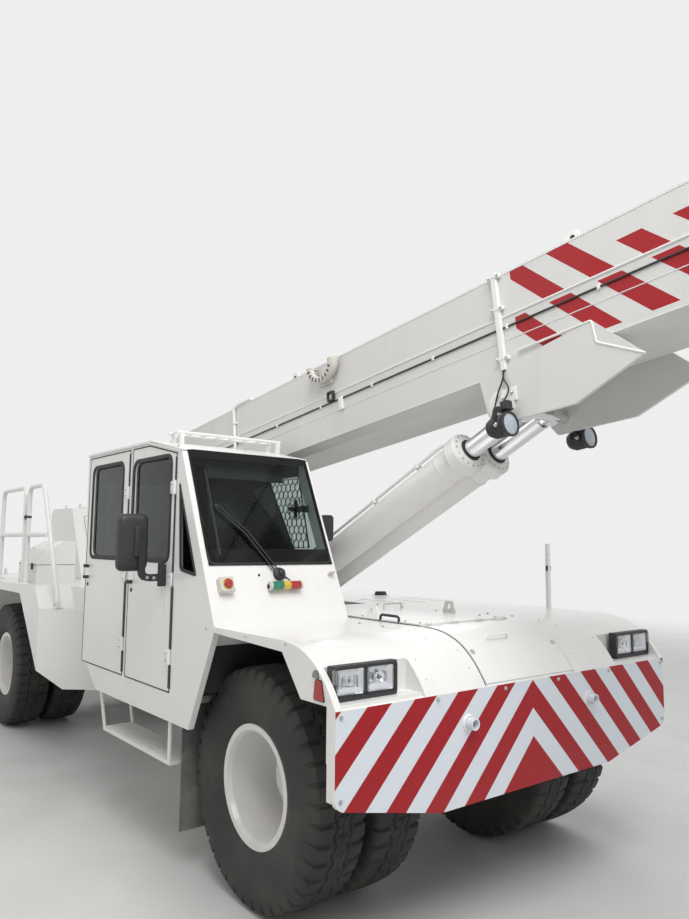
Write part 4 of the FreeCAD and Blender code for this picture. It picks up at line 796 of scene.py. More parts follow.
def smoothed(points, rounds=3):
    """Corners cut off again and again: each run keeps its points at a quarter and three quarters."""
    points = np.asarray(points, float)
    for _ in range(rounds):
        a = points[:-1] * 0.75 + points[1:] * 0.25
        b = points[:-1] * 0.25 + points[1:] * 0.75
        points = np.concatenate([points[:1], np.stack([a, b], 1).reshape(-1, 2), points[-1:]])
    return points


def tyre_surface(centre, sizes):
    """A tyre as radius over angle and section: a crowned profile less the depth of its grooves.

    The grooves are two zigzag rings at y = +-(0.052 + 0.011*triangle(angle)), a finer one in the middle,
    slots across both shoulders, one for each lug, that run down on to the sidewall, and short cuts
    across the middle.
    """
    lugs = sizes.lug_count
    tread = np.linspace(-0.158, 0.158, 33)
    crown = np.stack([tread, 0.685 - 0.012 * (tread / 0.158) ** 2], -1)
    wall = smoothed(
        [(0.158, 0.673), (0.176, 0.652), (0.186, 0.585), (0.1875, 0.5), (0.18, 0.425), (0.158, 0.37),
         (0.136, 0.345)],
        1)[1:]
    inner = np.array([(0.133, 0.33), (0.12, 0.322), (-0.12, 0.322), (-0.133, 0.33)])
    profile = np.concatenate([crown, wall, inner, (wall * (-1, 1))[::-1]])
    angle = full_turn(lugs * 9)[:, None]
    y, r = profile.T[:, None]
    phase = angle * lugs / (2 * pi)
    zigzag = np.abs((phase % 1) * 2 - 1) - 0.5
    rings = 0
    for gap, half, deep in (
            (y - 0.052 - 0.022 * zigzag, 0.008, 1.0), (y + 0.052 + 0.022 * zigzag, 0.008, 1.0),
            (y - 0.03 * zigzag, 0.005, 0.7)):
        rings = np.maximum(rings, deep * np.clip((half - np.abs(gap)) / 0.004, 0, 1))
    slot = (phase + 0.12 * np.sign(y)) % 1 - 0.5
    reach = np.clip((np.abs(y) - 0.066) / 0.01, 0, 1) * np.clip((r - 0.6) / 0.04, 0, 1)
    slots = np.clip((0.13 - np.abs(slot)) / 0.05, 0, 1) * reach
    cross = np.clip((0.07 - np.abs((phase + 0.5) % 1 - 0.5)) / 0.05, 0, 1)
    cross = cross * np.clip((0.045 - np.abs(y)) / 0.01, 0, 1) * 0.6
    depth = np.maximum(np.maximum(rings * (np.abs(y) < 0.1), slots), cross) * sizes.tread_depth * (r > 0.6)
    beads = 0.0022 * np.cos((r - 0.46) * 2 * pi / 0.055) * ((r > 0.4) & (r < 0.6))
    radius = r - depth
    width = np.sign(y) * (np.abs(y) - depth * 0.5 * (np.abs(y) > 0.15) + beads - 0.0022)
    points = np.stack([np.cos(angle) * radius, width + angle * 0, np.sin(angle) * radius], -1)
    return grid(points + np.asarray(centre), wrap_u=True, wrap_v=True)


class CRANE_OT_tyres(CraneOperator):
    """Twin tyres with their tread, in place of the plain ones"""

    bl_idname = "crane.tyres"
    bl_label = "Tyres"

    def execute(self, context):
        sizes = context.scene.crane
        for axle, place in (("front", FRONT_AXLE), ("rear", REAR_AXLE)):
            for side, sign in (("left", 1), ("right", -1)):
                pair = [tyre_surface(place + Y * sign * reach, sizes) for reach in (1.1465, 0.7265)]
                tyre = make(
                    "tread_%s_%s" % (axle, side), "wheel_%s_%s" % (axle, side), "tyre", 28, tread_rubber=pair)
                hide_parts("tyre_%s_%s" % (axle, side))
        return {"FINISHED"}


class CRANE_OT_wheel_details(CraneOperator):
    """Wheel nuts and rim bead on each wheel"""

    bl_idname = "crane.wheel_details"
    bl_label = "Wheel details"

    def execute(self, context):
        sizes = context.scene.crane
        for axle, place in (("front", FRONT_AXLE), ("rear", REAR_AXLE)):
            for side, sign in (("left", 1), ("right", -1)):
                out = Y * sign
                steel, paint = [], []
                hub = place + out * 0.905
                steel += bolt_ring(hub, out, X * 0.205, Z * 0.205, 0.017, sizes.nut_count, washer=True)
                bead = [
                    (1.276, 0.3515), (1.289, 0.3515), (1.2915, 0.345), (1.289, 0.338), (1.276, 0.3365),
                    (1.268, 0.342)]
                paint.append(lathe(bead + bead[:1], place, out, 96))
                make(
                    "wheel_nuts_%s_%s" % (axle, side), "wheel_%s_%s" % (axle, side), machined_steel=steel,
                    wheel_paint=paint)
        return {"FINISHED"}


def dish(outline, origin, right, up, depth, rings=6):
    """A bowl under an outline: each ring is the outline shrunk by cos(t) and sunk by sin(t)."""
    t = np.linspace(0, pi / 2, rings)[:, None, None]
    shrunk = np.asarray(outline) * (np.cos(t) + 0.12 * np.sin(t))
    return grid(lay(shrunk, origin, right, up, -depth * np.sin(t)), wrap_v=True)


class CRANE_OT_head_lamps(CraneOperator):
    """Rectangular head lamps with bezel, reflector, bulb and fluted lens, and the marker lamps beside them"""

    bl_idname = "crane.head_lamps"
    bl_label = "Head lamps"

    def execute(self, context):
        shell, glow, dark, lens, smoke, red = [], [], [], [], [], []
        for sign in (-1, 1):
            for reach, round_bulb in ((1.332, False), (1.133, True)):
                centre = np.array([3.695, sign * reach, 1.43])
                shell.append(seal(
                    oblong(0.186, 0.138, 0.02), centre, Y, Z,
                    [(-0.002, -0.011), (0.007, -0.01), (0.009, 0.0), (0.004, 0.005), (-0.002, 0.004)]))
                glow.append(dish(oblong(0.176, 0.128, 0.016), centre - X * 0.0005, Y, Z, 0.023))
                # Bulb shade: a ring with two side wings on the inner lamp, an upright frame on the outer one
                if round_bulb:
                    glow.append(lathe(
                        [(-0.02, 0.026), (-0.006, 0.03), (-0.005, 0.026), (-0.014, 0.014), (-0.02, 0.01)],
                        centre, X, 28))
                    dark += [
                        block((0.003, 0.007, 0.05), centre + (-0.01, s * 0.046, 0.0), 0.001) for s in (-1, 1)]
                    dark.append(lathe([(-0.007, 0.0), (-0.007, 0.008), (-0.014, 0.01)], centre, X, 16))
                else:
                    dark += [
                        block((0.003, 0.006, 0.056), centre + (-0.01, s * 0.05, -0.004),
                              0.001) for s in (-1, 1)]
                    glow += [
                        block((0.006, 0.012, 0.04), centre + (-0.01, y, 0.0), 0.002) for y in (-0.018, 0.018)]
                    dark.append(block((0.004, 0.045, 0.004), centre + (-0.008, 0.0, -0.026), 0.001))
                lens.append(plate(oblong(0.172, 0.124, 0.015), centre + X * 0.001, Y, Z, 0.004, 0.0015))
            shell.append(seal(
                oblong(0.424, 0.172, 0.024), (3.696, sign * 1.2325, 1.4235), Y, Z,
                [(-0.001, -0.004), (0.0, 0.004), (-0.006, 0.008), (-0.018, 0.006), (-0.018, -0.004)]))
            for y in (1.425, 1.035):
                shell += bolt((3.696, sign * y, 1.503), X, 0.0045)
            smoke.append(plate(
                oblong(0.024, 0.074, 0.008), (3.6955, sign * 1.4365, 1.458), Y, Z, 0.008, 0.002))
            # Red and grey marker lamps on the outside of the thin wall
            side = X * -sign
            wedge = np.array([(-0.042, -0.048), (0.042, -0.048), (0.018, 0.046), (-0.03, 0.046)]) * (-sign, 1)
            cap = np.array([(-0.036, -0.017), (0.016, -0.017), (0.002, 0.017), (-0.028, 0.017)]) * (-sign, 1)
            for outline, spot, kind in (
                    (wedge, (3.65, sign * 1.4899, 1.398), red), (cap, (3.632, sign * 1.4899, 1.47), smoke)):
                outline = outline if sign < 0 else outline[::-1]
                shell.append(plate(rounded(outline * 1.1, 0.01), spot, side, Z, 0.004, 0.001))
                kind.append(plate(
                    rounded(outline, 0.01), np.array(spot) + Y * sign * 0.004, side, Z, 0.006, 0.002))
        piece = make(
            "head_lamps", "front_frame", "lamp_glass", black_plastic=shell, bright_reflector=glow,
            smoke_lens=dark + smoke, clear_lens=lens, red_lens=red)
        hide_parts("lamp_lenses")
        return {"FINISHED"}


class CRANE_OT_front_plate(CraneOperator):
    """Rim, weld rings and bolts of the striped plate"""

    bl_idname = "crane.front_plate"
    bl_label = "Striped plate"

    def execute(self, context):
        paint, steel = [], []
        for sign in (-1, 1):
            centre = np.array([3.779, sign * 0.567, 1.143])
            paint.append(lathe([(0.0, 0.047), (0.004, 0.046), (0.009, 0.04), (0.0095, 0.034)], centre, X, 28))
            for y, z in ((1.455, 1.285), (1.455, 0.9), (0.8, 1.292), (0.25, 1.292)):
                steel += bolt((3.779, sign * y, z), X, 0.008)
        make("plate_fittings", "front_frame", "bumper_paint", white_paint=paint, machined_steel=steel)
        return {"FINISHED"}


def handle_bar(start, end, lift, radius, up=Z):
    """A grab handle: a bar that rises from one foot, runs along and comes down to the other."""
    start, end = np.asarray(start, float), np.asarray(end, float)
    path = [start, start + np.asarray(up) * lift, end + np.asarray(up) * lift, end]
    return pipe(path, radius, lift * 0.8, 10)


NOSE_START = 3.145
NOSE_END = 3.777
NOSE_DROP = 0.2855
NOSE_POWER = 3.7


def nose_line(start, end, lift, steps=30):
    """The nose's curve z = DECK - NOSE_DROP*t^NOSE_POWER, t from 0 to 1 along it, moved out by a lift."""
    x = np.linspace(start, end, steps)
    t = np.clip((x - NOSE_START) / (NOSE_END - NOSE_START), 0, None)
    slope = -NOSE_POWER * NOSE_DROP * t ** (NOSE_POWER - 1) / (NOSE_END - NOSE_START)
    size = np.sqrt(1 + slope ** 2)
    return np.stack([x - lift * slope / size, DECK - NOSE_DROP * t ** NOSE_POWER + lift / size], -1)


def on_nose(x, y, lift=0.0):
    """A point on the curved nose and the direction away from it."""
    (x0, z0), (x1, z1) = nose_line(x, x + 1e-3, 0.0, 2)
    away = unit((z0 - z1, 0.0, x1 - x0))
    return np.array([x0, y, z0]) + away * lift, away


def nose_strip(low, high, upper, under):
    """A closed strip between two widths, from its upper line and the line under it, both in (x, z)."""
    outline = np.concatenate([np.asarray(under, float), upper[::-1]])
    return plate(outline, (0.0, high, 0.0), X, Z, high - low)


class CRANE_OT_nose(CraneOperator):
    """Curved sheet of the nose over the folded one, and its curved lid with loop, latches and rivets"""

    bl_idname = "crane.nose"
    bl_label = "Nose"

    def execute(self, context):
        # The folds of the sheet below, sunk a little into it
        folds = [(3.255, 1.6), (3.602, 1.511), (3.7485, 1.334), (3.7485, 1.3164)]
        paint, black = [], []
        front = nose_line(NOSE_START, 3.7775, 0.0008)
        paint.append(nose_strip(-0.8903, 0.8903, front, [(NOSE_START, 1.6), *folds, (3.7775, 1.3164)]))
        for sign in (-1, 1):
            low, high = sorted((sign * 0.89, sign * 1.4899))
            back = nose_line(NOSE_START, 3.6252, 0.0008)
            paint.append(nose_strip(
                low, high, back, [(NOSE_START, 1.6), (3.255, 1.6), (3.602, 1.511), (3.6252, 1.483)]))
            low, high = sorted((sign * 1.4497, sign * 1.4899))
            wall = nose_line(3.6248, 3.7775, 0.0008)
            paint.append(nose_strip(low, high, wall, [(3.6248, 1.483), *folds[2:], (3.7775, 1.3164)]))
            for x, y in (
                    (3.615, 0.478), (3.705, 0.478), (3.64, 0.835), (3.722, 0.835), (3.36, 0.62), (3.5, 0.62)):
                paint += bolt(*on_nose(x, sign * y, 0.001), 0.006)
            seam = nose_line(3.255, 3.774, 0.001)
            black.append(sweep([(x, sign * 0.4145, z) for x, z in seam], circle_section(0.0028, 6)))
        make("nose_sheet", "front_frame", white_paint=paint, black_plastic=black)
        lid = [nose_strip(-0.409, 0.409, nose_line(3.273, 3.769, 0.007), nose_line(3.273, 3.769, 0.0013))]
        for sign in (-1, 1):
            low, high = sorted((sign * 0.26, sign * 0.34))
            lid.append(lathe(
                [(low, 0.0), (low, 0.009), (high, 0.009), (high, 0.0)], (3.27, 0.0, 1.6155), Y, 20))
            lid.append(block((0.03, 0.07, 0.005), (3.284, sign * 0.3, 1.6105), 0.0015))
        (a, away), (b, _) = on_nose(3.575, -0.18, 0.006), on_nose(3.575, 0.0, 0.006)
        lid.append(handle_bar(a, b, 0.03, 0.006, away))
        latches = []
        for sign in (-1, 1):
            spot, away = on_nose(3.64, sign * 0.38, 0.0065)
            latches.append(lathe(
                [(0.0, 0.0), (0.0, 0.017), (0.005, 0.016), (0.007, 0.011), (0.003, 0.009), (0.003, 0.0)],
                spot, away, 20))
        cover = make("nose_lid_sheet", "nose_lid", white_paint=lid, machined_steel=latches)
        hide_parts("nose_lid")
        return {"FINISHED"}


class CRANE_OT_deck_details(CraneOperator):
    """Handles, joints, hinges and bolts of the front deck and its lids"""

    bl_idname = "crane.deck_details"
    bl_label = "Deck details"

    def execute(self, context):
        black, paint, steel = [], [], []
        # Black grab handle beside the cab foot and a white one on the cover
        black.append(handle_bar((2.86, -0.405, 1.6), (3.04, -0.405, 1.6), 0.045, 0.009))
        paint.append(handle_bar((2.3, 0.3, 1.614), (2.3, 0.12, 1.614), 0.04, 0.008))
        for y in (-0.36, 0.36):
            for x in (1.95, 2.25, 2.62, 3.05, 3.19):
                steel += bolt((x, y, 1.6145), Z, 0.007)
        for sign in (-1, 1):
            for x, y in ((2.9, 0.62), (3.13, 0.62), (2.55, 0.62)):
                steel += bolt((x, sign * y, 1.6025), Z, 0.007)
            for y in (0.34, 0.12):
                paint.append(pipe(
                    [(3.262, sign * y - 0.035, 1.618), (3.262, sign * y + 0.035, 1.618)], 0.009))
        black.append(sweep([(1.85, -0.4155, 1.604), (3.25, -0.4155, 1.604)], circle_section(0.0035, 6)))
        black.append(sweep([(1.85, 0.4155, 1.604), (3.25, 0.4155, 1.604)], circle_section(0.0035, 6)))
        make("deck_fittings", "front_frame", black_plastic=black, white_paint=paint, machined_steel=steel)
        return {"FINISHED"}


# Outlines on the cab, in metres: the screen's plane leans back, x + 0.474 z is the same all over it
SCREEN_LEAN = unit((-0.543, 0.0, 1.145))
SCREEN_FOOT = np.array([2.575, 0.0, DECK])
SCREEN_OUT = np.cross(Y, SCREEN_LEAN)


def on_screen(y, z, out=0.0):
    """A point of the screen's plane at a width and height, carried outwards from it."""
    return SCREEN_FOOT + Y * y + SCREEN_LEAN * (z - SCREEN_FOOT[2]) / SCREEN_LEAN[2] + SCREEN_OUT * out


def door_outline(name, inset=0.008):
    """A door's edge in (-x, z): straight sides, and a top that runs along under the roof."""
    front, back = (1.995, 1.235) if name == "front" else (1.195, 0.325)
    front, back, low, level = front - inset, back + inset, 1.12 + inset, 2.81 - inset
    if name == "rear":
        return rounded([(-front, low), (-back, low), (-back, level), (-front, level)], 0.02)
    corner = level - 0.2025 * (front - 1.543)
    return rounded([(-front, low), (-back, low), (-back, level), (-1.543, level), (-front, corner)], 0.02)


class CRANE_OT_cab_seals(CraneOperator):
    """Rubber seals of every cab window and round the doors"""

    bl_idname = "crane.cab_seals"
    bl_label = "Cab seals"

    def execute(self, context):
        sizes = context.scene.crane
        wide = sizes.seal_width
        lip = [(-0.004, -0.004), (wide, -0.004), (wide, 0.003), (wide * 0.5, 0.007), (-0.004, 0.005)]
        cab, front, rear = [], [], []
        foot, top = [(z - DECK) / SCREEN_LEAN[2] for z in (1.965, 2.738)]
        screen = rounded(box_outline(-1.45, -0.472, foot, top), 0.05)
        cab.append(seal(screen, SCREEN_FOOT + SCREEN_OUT * 0.006, Y, SCREEN_LEAN,
                        [(-0.02, -0.006), (0.002, -0.006), (0.002, 0.003), (-0.006, 0.006), (-0.02, 0.003)]))
        for store, box in ((front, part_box("door_front_glass")), (rear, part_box("door_rear_glass"))):
            outline = rounded(box_outline(-box[1][0], -box[0][0], box[0][2], box[1][2]), 0.06)
            store.append(seal(outline, (0, -SIDE, 0), -X, Z, [(s, -n) for s, n in lip]))
        for store, name in ((front, "front"), (rear, "rear")):
            store.append(seal(
                door_outline(name, 0.006), (0, -SIDE, 0), -X, Z,
                [(-0.003, 0.01), (0.003, 0.01), (0.003, -0.002), (-0.003, -0.002)]))
        make("cab_seals", "front_frame", seal_rubber=cab)
        make("door_front_seals", "door_front", seal_rubber=front)
        make("door_rear_seals", "door_rear", seal_rubber=rear)
        return {"FINISHED"}


class CRANE_OT_wiper(CraneOperator):
    """Wiper with its twin arms, blade and spindle on the cab front"""

    bl_idname = "crane.wiper"
    bl_label = "Wiper"

    def execute(self, context):
        black = []
        pivot = on_screen(-0.944, 1.898, 0.02)
        elbow = on_screen(-1.137, 2.165, 0.035)
        hold = on_screen(-1.326, 2.342, 0.03)
        side = unit(np.cross(SCREEN_OUT, hold - pivot)) * 0.014
        flat = centred(0.016, 0.008)
        for shift in (side, -side):
            black.append(sweep(bend([pivot + shift, elbow + shift, hold + shift], 0.05), flat))
        black.append(lathe(
            [(-0.02, 0.04), (0.0, 0.044), (0.01, 0.042), (0.022, 0.026), (0.04, 0.021), (0.044, 0.0)], pivot,
            SCREEN_OUT, 28))
        top, low = on_screen(-1.344, 2.592, 0.014), on_screen(-1.359, 2.021, 0.014)
        black.append(sweep(
            [top, low], [(-0.01, -0.003), (0.01, -0.003), (0.007, 0.003), (0.0, 0.012), (-0.007, 0.003)]))
        black.append(pipe([hold + SCREEN_OUT * 0.006, hold - SCREEN_OUT * 0.012], 0.01))
        black.append(pipe([pivot, on_screen(-0.9, 1.885, 0.012), on_screen(-0.86, 1.86, 0.004)], 0.004, 0.03))
        make("wiper", "front_frame", black_plastic=black)
        return {"FINISHED"}


class CRANE_OT_cab_front_fittings(CraneOperator):
    """Isolator box with its red knob, three-colour tube lamp, washer jet and bracket on the cab front"""

    bl_idname = "crane.cab_front_fittings"
    bl_label = "Cab front fittings"

    def execute(self, context):
        case, red, green, yellow, black, steel = [], [], [], [], [], []
        spot = on_screen(-1.368, 1.833, 0.0)
        case.append(block((0.1, 0.1, 0.052), spot + SCREEN_OUT * 0.026, 0.008, Y, SCREEN_OUT))
        red.append(lathe(
            [(0.05, 0.026), (0.056, 0.029), (0.068, 0.029), (0.074, 0.024), (0.075, 0.0)], spot, SCREEN_OUT,
            32))
        yellow.append(lathe(
            [(0.0515, 0.0), (0.0515, 0.036), (0.0545, 0.036), (0.055, 0.028)], spot, SCREEN_OUT, 32))
        for a, b in ((-1, -1), (1, -1), (1, 1), (-1, 1)):
            steel += bolt(
                spot + SCREEN_OUT * 0.052 + Y * 0.042 * a + SCREEN_LEAN * 0.042 * b, SCREEN_OUT, 0.003, False)
        tube = on_screen(-0.93, 1.817, 0.038)
        for store, start, end in ((green, -0.11, -0.025), (yellow, -0.025, 0.03), (red, 0.03, 0.115)):
            store.append(lathe([(start, 0.0), (start, 0.028), (end, 0.028), (end, 0.0)], tube, Y, 28))
        for y in (-0.118, 0.118):
            case.append(lathe(
                [(-0.008, 0.0), (-0.008, 0.027), (-0.004, 0.031), (0.004, 0.031), (0.008, 0.027),
                 (0.008, 0.0)],
                tube + Y * y, Y, 28))
            case.append(block((0.016, 0.045, 0.036), tube + Y * y - SCREEN_OUT * 0.02, 0.003, Y, SCREEN_LEAN))
        black.append(lathe(
            [(0.0, 0.009), (0.008, 0.008), (0.014, 0.004), (0.015, 0.0)], on_screen(-1.096, 1.898),
            SCREEN_OUT, 16))
        case.append(block((0.045, 0.085, 0.01), on_screen(-0.512, 1.895, 0.005), 0.003, Y, SCREEN_LEAN))
        make(
            "cab_front_fittings", "front_frame", grey_box=case, red_lens=red, green_lens=green,
            yellow_lens=yellow, black_plastic=black, machined_steel=steel)
        return {"FINISHED"}


class CRANE_OT_window_guard(CraneOperator):
    """Diamond mesh of expanded metal inside the cab's left window, in black as painted shade: the bars are
    made dark as they look in shade
    """

    bl_idname = "crane.window_guard"
    bl_label = "Window guard"

    def execute(self, context):
        sizes = context.scene.crane
        y = -0.478
        bars = []
        pitch = sizes.mesh_pitch
        z = np.linspace(2.075, 2.6, 85)
        # Each strand waves by a quarter pitch against its neighbour, and the clipped crests touch as knots
        wave = np.clip(1.7 * np.sin((z - 2.075) * 2 * pi / (pitch * 1.75)), -1, 1) * pitch / 4
        for k in range(24):
            x = 1.55 + k * pitch / 2 + wave * (-1) ** k
            inside = np.where((x > 1.93 - (z - 2.075) * 0.69) & (x < 2.135 - (z - 2.075) * 0.27))[0]
            for run in np.split(inside, np.where(np.diff(inside) > 1)[0] + 1):
                if len(run) > 1:
                    path = np.stack([x[run], x[run] * 0 + y, z[run]], -1)
                    bars.append(sweep(path, centred(0.008, 0.003)))
        edge = [(1.93, y, 2.075), (2.135, y, 2.075), (1.993, y, 2.6), (1.568, y, 2.6)]
        bars.append(sweep(edge, circle_section(0.006, 8), closed=True))
        # Painted shade: the bars are black, standing for bars seen dark in shade
        make("window_guard", "front_frame", black_steel=bars)
        return {"FINISHED"}


class CRANE_OT_mirror(CraneOperator):
    """Door mirror with its moulded shell, glass and jointed arm"""

    bl_idname = "crane.mirror"
    bl_label = "Mirror"

    def execute(self, context):
        shell, glass = [], []
        centre = np.array([1.822, -1.715, 2.105])
        outline = rounded(centred(0.208, 0.384), 0.05, 6)
        # Lip, bowl that narrows by the cube of t while it deepens by its sine, and the closed back
        t = np.linspace(0, 1, 9)[:, None, None]
        depth = 0.062 * np.sin(t * pi / 2)
        bowl = lay(outline * (1 - 0.3 * t ** 3), centre, Y, Z, depth - 0.02)
        lip = lay([outline * (0.96, 0.97)], centre, Y, Z, -0.02)
        middle = bowl[-1].mean(0)
        back = [
            middle + (bowl[-1] - middle) * share + X * rise for share, rise in ((0.5, 0.004), (0.0, 0.006))]
        shell.append(grid(np.concatenate([lip, bowl, back]), wrap_v=True))
        glass.append(plate(outline * 0.955, centre - X * 0.024, Y, Z, 0.005, 0.002))
        arm = [
            (1.862, -1.512, 1.872), (1.864, -1.61, 1.868), (1.872, -1.662, 1.885), (1.874, -1.668, 1.96),
            (1.87, -1.668, 2.13)]
        shell.append(sweep(bend(arm, 0.04), centred(0.022, 0.048)))
        shell.append(lathe(
            [(-0.075, 0.0), (-0.075, 0.017), (-0.07, 0.02), (0.08, 0.02), (0.085, 0.016), (0.085, 0.0)],
            (1.862, -1.522, 1.885), Z, 20))
        shell.append(block((0.05, 0.03, 0.15), (1.862, -1.505, 1.885), 0.008))
        shell.append(block((0.03, 0.04, 0.2), (1.868, -1.7, 2.11), 0.008))
        for y, z in ((-1.585, 1.868), (-1.64, 1.874)):
            shell.append(block((0.012, 0.03, 0.04), (1.853, y, z), 0.003))
        steel = bolt((1.876, -1.575, 1.868), X, 0.008) + bolt((1.88, -1.625, 1.872), X, 0.008)
        mirror = make(
            "mirror_head", "door_front", "black_plastic", black_plastic=shell, bright_reflector=glass,
            machined_steel=steel)
        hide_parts("mirror_right")
        return {"FINISHED"}


def boom_strip(along, side, above, section):
    """A strip along a run on the boom's flank."""
    return sweep([on_boom(along[0], side, above), on_boom(along[1], side, above)], section)


class CRANE_OT_boom_lines(CraneOperator):
    """Weld seams, cable, conduit, tube and clips on the boom's flanks"""

    bl_idname = "crane.boom_lines"
    bl_label = "Boom lines"

    def execute(self, context):
        half = 0.3
        paint, black, steel = [], [], []
        for sign in (-1, 1):
            side = sign * half
            bead = circle_section(0.0075, 8)
            paint.append(boom_strip((-0.395, 5.878), side, 0.295, bead))
            for above in (0.15, 0.559, -0.041):
                paint.append(boom_strip((-0.395, 5.878), side, above, circle_section(0.0032, 6)))
            black.append(boom_strip((-0.2, 5.86), side + sign * 0.006, 0.229, circle_section(0.0058, 8)))
            for along in np.arange(-0.1, 5.8, 0.62):
                paint.append(boom_block((0.022, 0.014, 0.03), (along, side + sign * 0.006, 0.229), 0.004))
        # Square conduit down the right flank to the lamp, and its clamps
        side = -half - 0.014
        paint.append(sweep([on_boom(4.19, side, 0.585), on_boom(4.19, side, -0.03)],
                           rounded(centred(0.028, 0.04), 0.006)))
        for above in (0.353, 0.041, 0.56):
            paint.append(boom_block((0.085, 0.034, 0.024), (4.19, side, above), 0.005))
            for along in (4.156, 4.224):
                steel += bolt(on_boom(along, side - 0.017, above), -Y, 0.007)
        # White tube from the boom's top to its flank near the cab
        paint.append(pipe(
            [on_boom(1.35, -0.295, 0.585), on_boom(1.12, -0.305, 0.585), on_boom(1.07, -0.316, 0.56),
             on_boom(1.07, -0.316, 0.06)],
            0.015, 0.06, 12))
        for above in (0.42, 0.16):
            paint.append(boom_block((0.06, 0.036, 0.02), (1.07, -0.314, above), 0.005))
        make("boom_lines", "boom", white_paint=paint, hose_rubber=black, machined_steel=steel)
        return {"FINISHED"}


class CRANE_OT_boom_fittings(CraneOperator):
    """Sensor glass, a small box, lifting lugs, pad adjusters, collar bolts and pin caps on the outer boom"""

    bl_idname = "crane.boom_fittings"
    bl_label = "Boom fittings"

    def execute(self, context):
        half = 0.3
        cream, paint, steel, dark = [], [], [], []
        # Glass of the sensor frame and a small box beside it
        frame_at = on_boom(2.525, -half - 0.016, 0.274)
        outline = rounded(centred(0.06, 0.064), 0.01)
        cream.append(plate(outline * 0.78, frame_at + Y * 0.01, ALONG, ABOVE, 0.008, 0.002))
        paint.append(boom_block((0.05, 0.02, 0.1), (2.636, -half - 0.008, 0.19), 0.006))
        # Lifting lugs with their holes, pad adjusters above and below, and collar bolts
        for along, side in ((1.95, -0.22), (1.95, 0.22), (4.7, -0.22), (4.7, 0.22)):
            lug = rounded([(-0.07, 0.0), (0.07, 0.0), (0.032, 0.085), (-0.032, 0.085)], 0.02)
            paint.append(plate(lug, on_boom(along, side + 0.008, 0.567), ALONG, ABOVE, 0.016, 0.002))
            dark.append(pin(on_boom(along, side, 0.612), Y, 0.0095, 0.016))
        for side in (-0.13, 0.0, 0.13):
            for along in (5.915, 5.965):
                steel += bolt(on_boom(along, side, 0.594), ABOVE, 0.011)
                steel += bolt(on_boom(along, side * 0.8, -0.106), -ABOVE, 0.011)
        for sign in (-1, 1):
            for above in (0.1, 0.3, 0.5):
                steel += bolt(on_boom(5.94, sign * 0.325, above), Y * sign, 0.012)
        # Pin caps of the boom foot and of the lift rods
        for sign in (-1, 1):
            for where, reach, radius in ((BOOM_FOOT, 0.2995, 0.085), (on_boom(*LIFT_PIN), 0.315, 0.066)):
                base = where + Y * sign * reach
                paint.append(lathe(
                    [(0.0, radius), (0.01, radius), (0.014, radius * 0.92), (0.014, 0.0)], base, Y * sign,
                    36))
                ring = radius * 0.72
                steel += bolt_ring(base + Y * sign * 0.014, Y * sign, ALONG * ring, ABOVE * ring, 0.008, 6)
        make(
            "boom_fittings", "boom", grey_box=cream, white_paint=paint, machined_steel=steel,
            seal_rubber=dark)
        return {"FINISHED"}


class CRANE_OT_siren(CraneOperator):
    """Curved siren horn with a fan of slots in its mouth, and the black sensor frame below it"""

    bl_idname = "crane.siren"
    bl_label = "Siren"

    def execute(self, context):
        cream, black, dark, steel = [], [], [], []
        face = -0.3
        # The horn is a tube on an arc: its width grows to both mouths
        centre = on_boom(2.485, face - 0.048, 0.53)
        arc = np.radians(np.linspace(-185, 8, 33))
        ring = np.array([centre + ALONG * cos(a) * 0.135 + ABOVE * sin(a) * 0.115 for a in arc])
        swell = 0.032 + 0.014 * np.abs(np.linspace(-1, 1, len(arc))) ** 2
        swing = full_turn(24)
        ahead = np.gradient(ring, axis=0)
        ahead /= np.linalg.norm(ahead, axis=1)[:, None]
        out = np.cross(ahead, Y)
        skin = ring[:, None] + swell[:, None, None] * (
            np.cos(swing)[None, :, None] * out[:, None] + np.sin(swing)[None, :, None] * Y)
        lip = [ring[i] + (skin[i] - ring[i]) * share + ahead[i] * depth
               for i, share, depth in ((0, 0.0, 0.012), (0, 0.84, 0.012), (0, 0.86, 0.0))]
        tail = [ring[i] + (skin[i] - ring[i]) * share - ahead[i] * depth
                for i, share, depth in ((-1, 0.86, 0.0), (-1, 0.84, 0.012), (-1, 0.0, 0.012))]
        cream.append(grid(np.concatenate([lip, skin, tail]), wrap_v=True))
        for index in range(3, 30, 3):
            spot = ring[index] - Y * (swell[index] - 0.001)
            dark.append(block((0.013, 0.005, 0.03), spot, 0.002, ahead[index], out[index]))
            dark.append(block(
                (0.012, 0.024, 0.005), ring[index] + out[index] * (swell[index] - 0.001), 0.002, ahead[index],
                out[index]))
        cream.append(boom_block((0.15, 0.03, 0.04), (2.48, face - 0.0155, 0.398), 0.006))
        for along in (2.425, 2.535):
            steel += bolt(on_boom(along, face - 0.0305, 0.398), -Y, 0.007)
        frame_at = on_boom(2.525, face - 0.0143, 0.274)
        outline = rounded(centred(0.062, 0.066), 0.01)
        black.append(seal(outline, frame_at, ALONG, ABOVE, centred(0.012, 0.0276)))
        for a in (-1, 1):
            for b in (-1, 1):
                black.append(block(
                    (0.013, 0.024, 0.013), frame_at + ALONG * 0.03 * a + ABOVE * 0.032 * b, 0.003, ALONG,
                    ABOVE))
        horn = make(
            "siren_horn", "boom", "white_paint", grey_box=cream, seal_rubber=dark, black_plastic=black,
            machined_steel=steel)
        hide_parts("boom_siren")
        return {"FINISHED"}


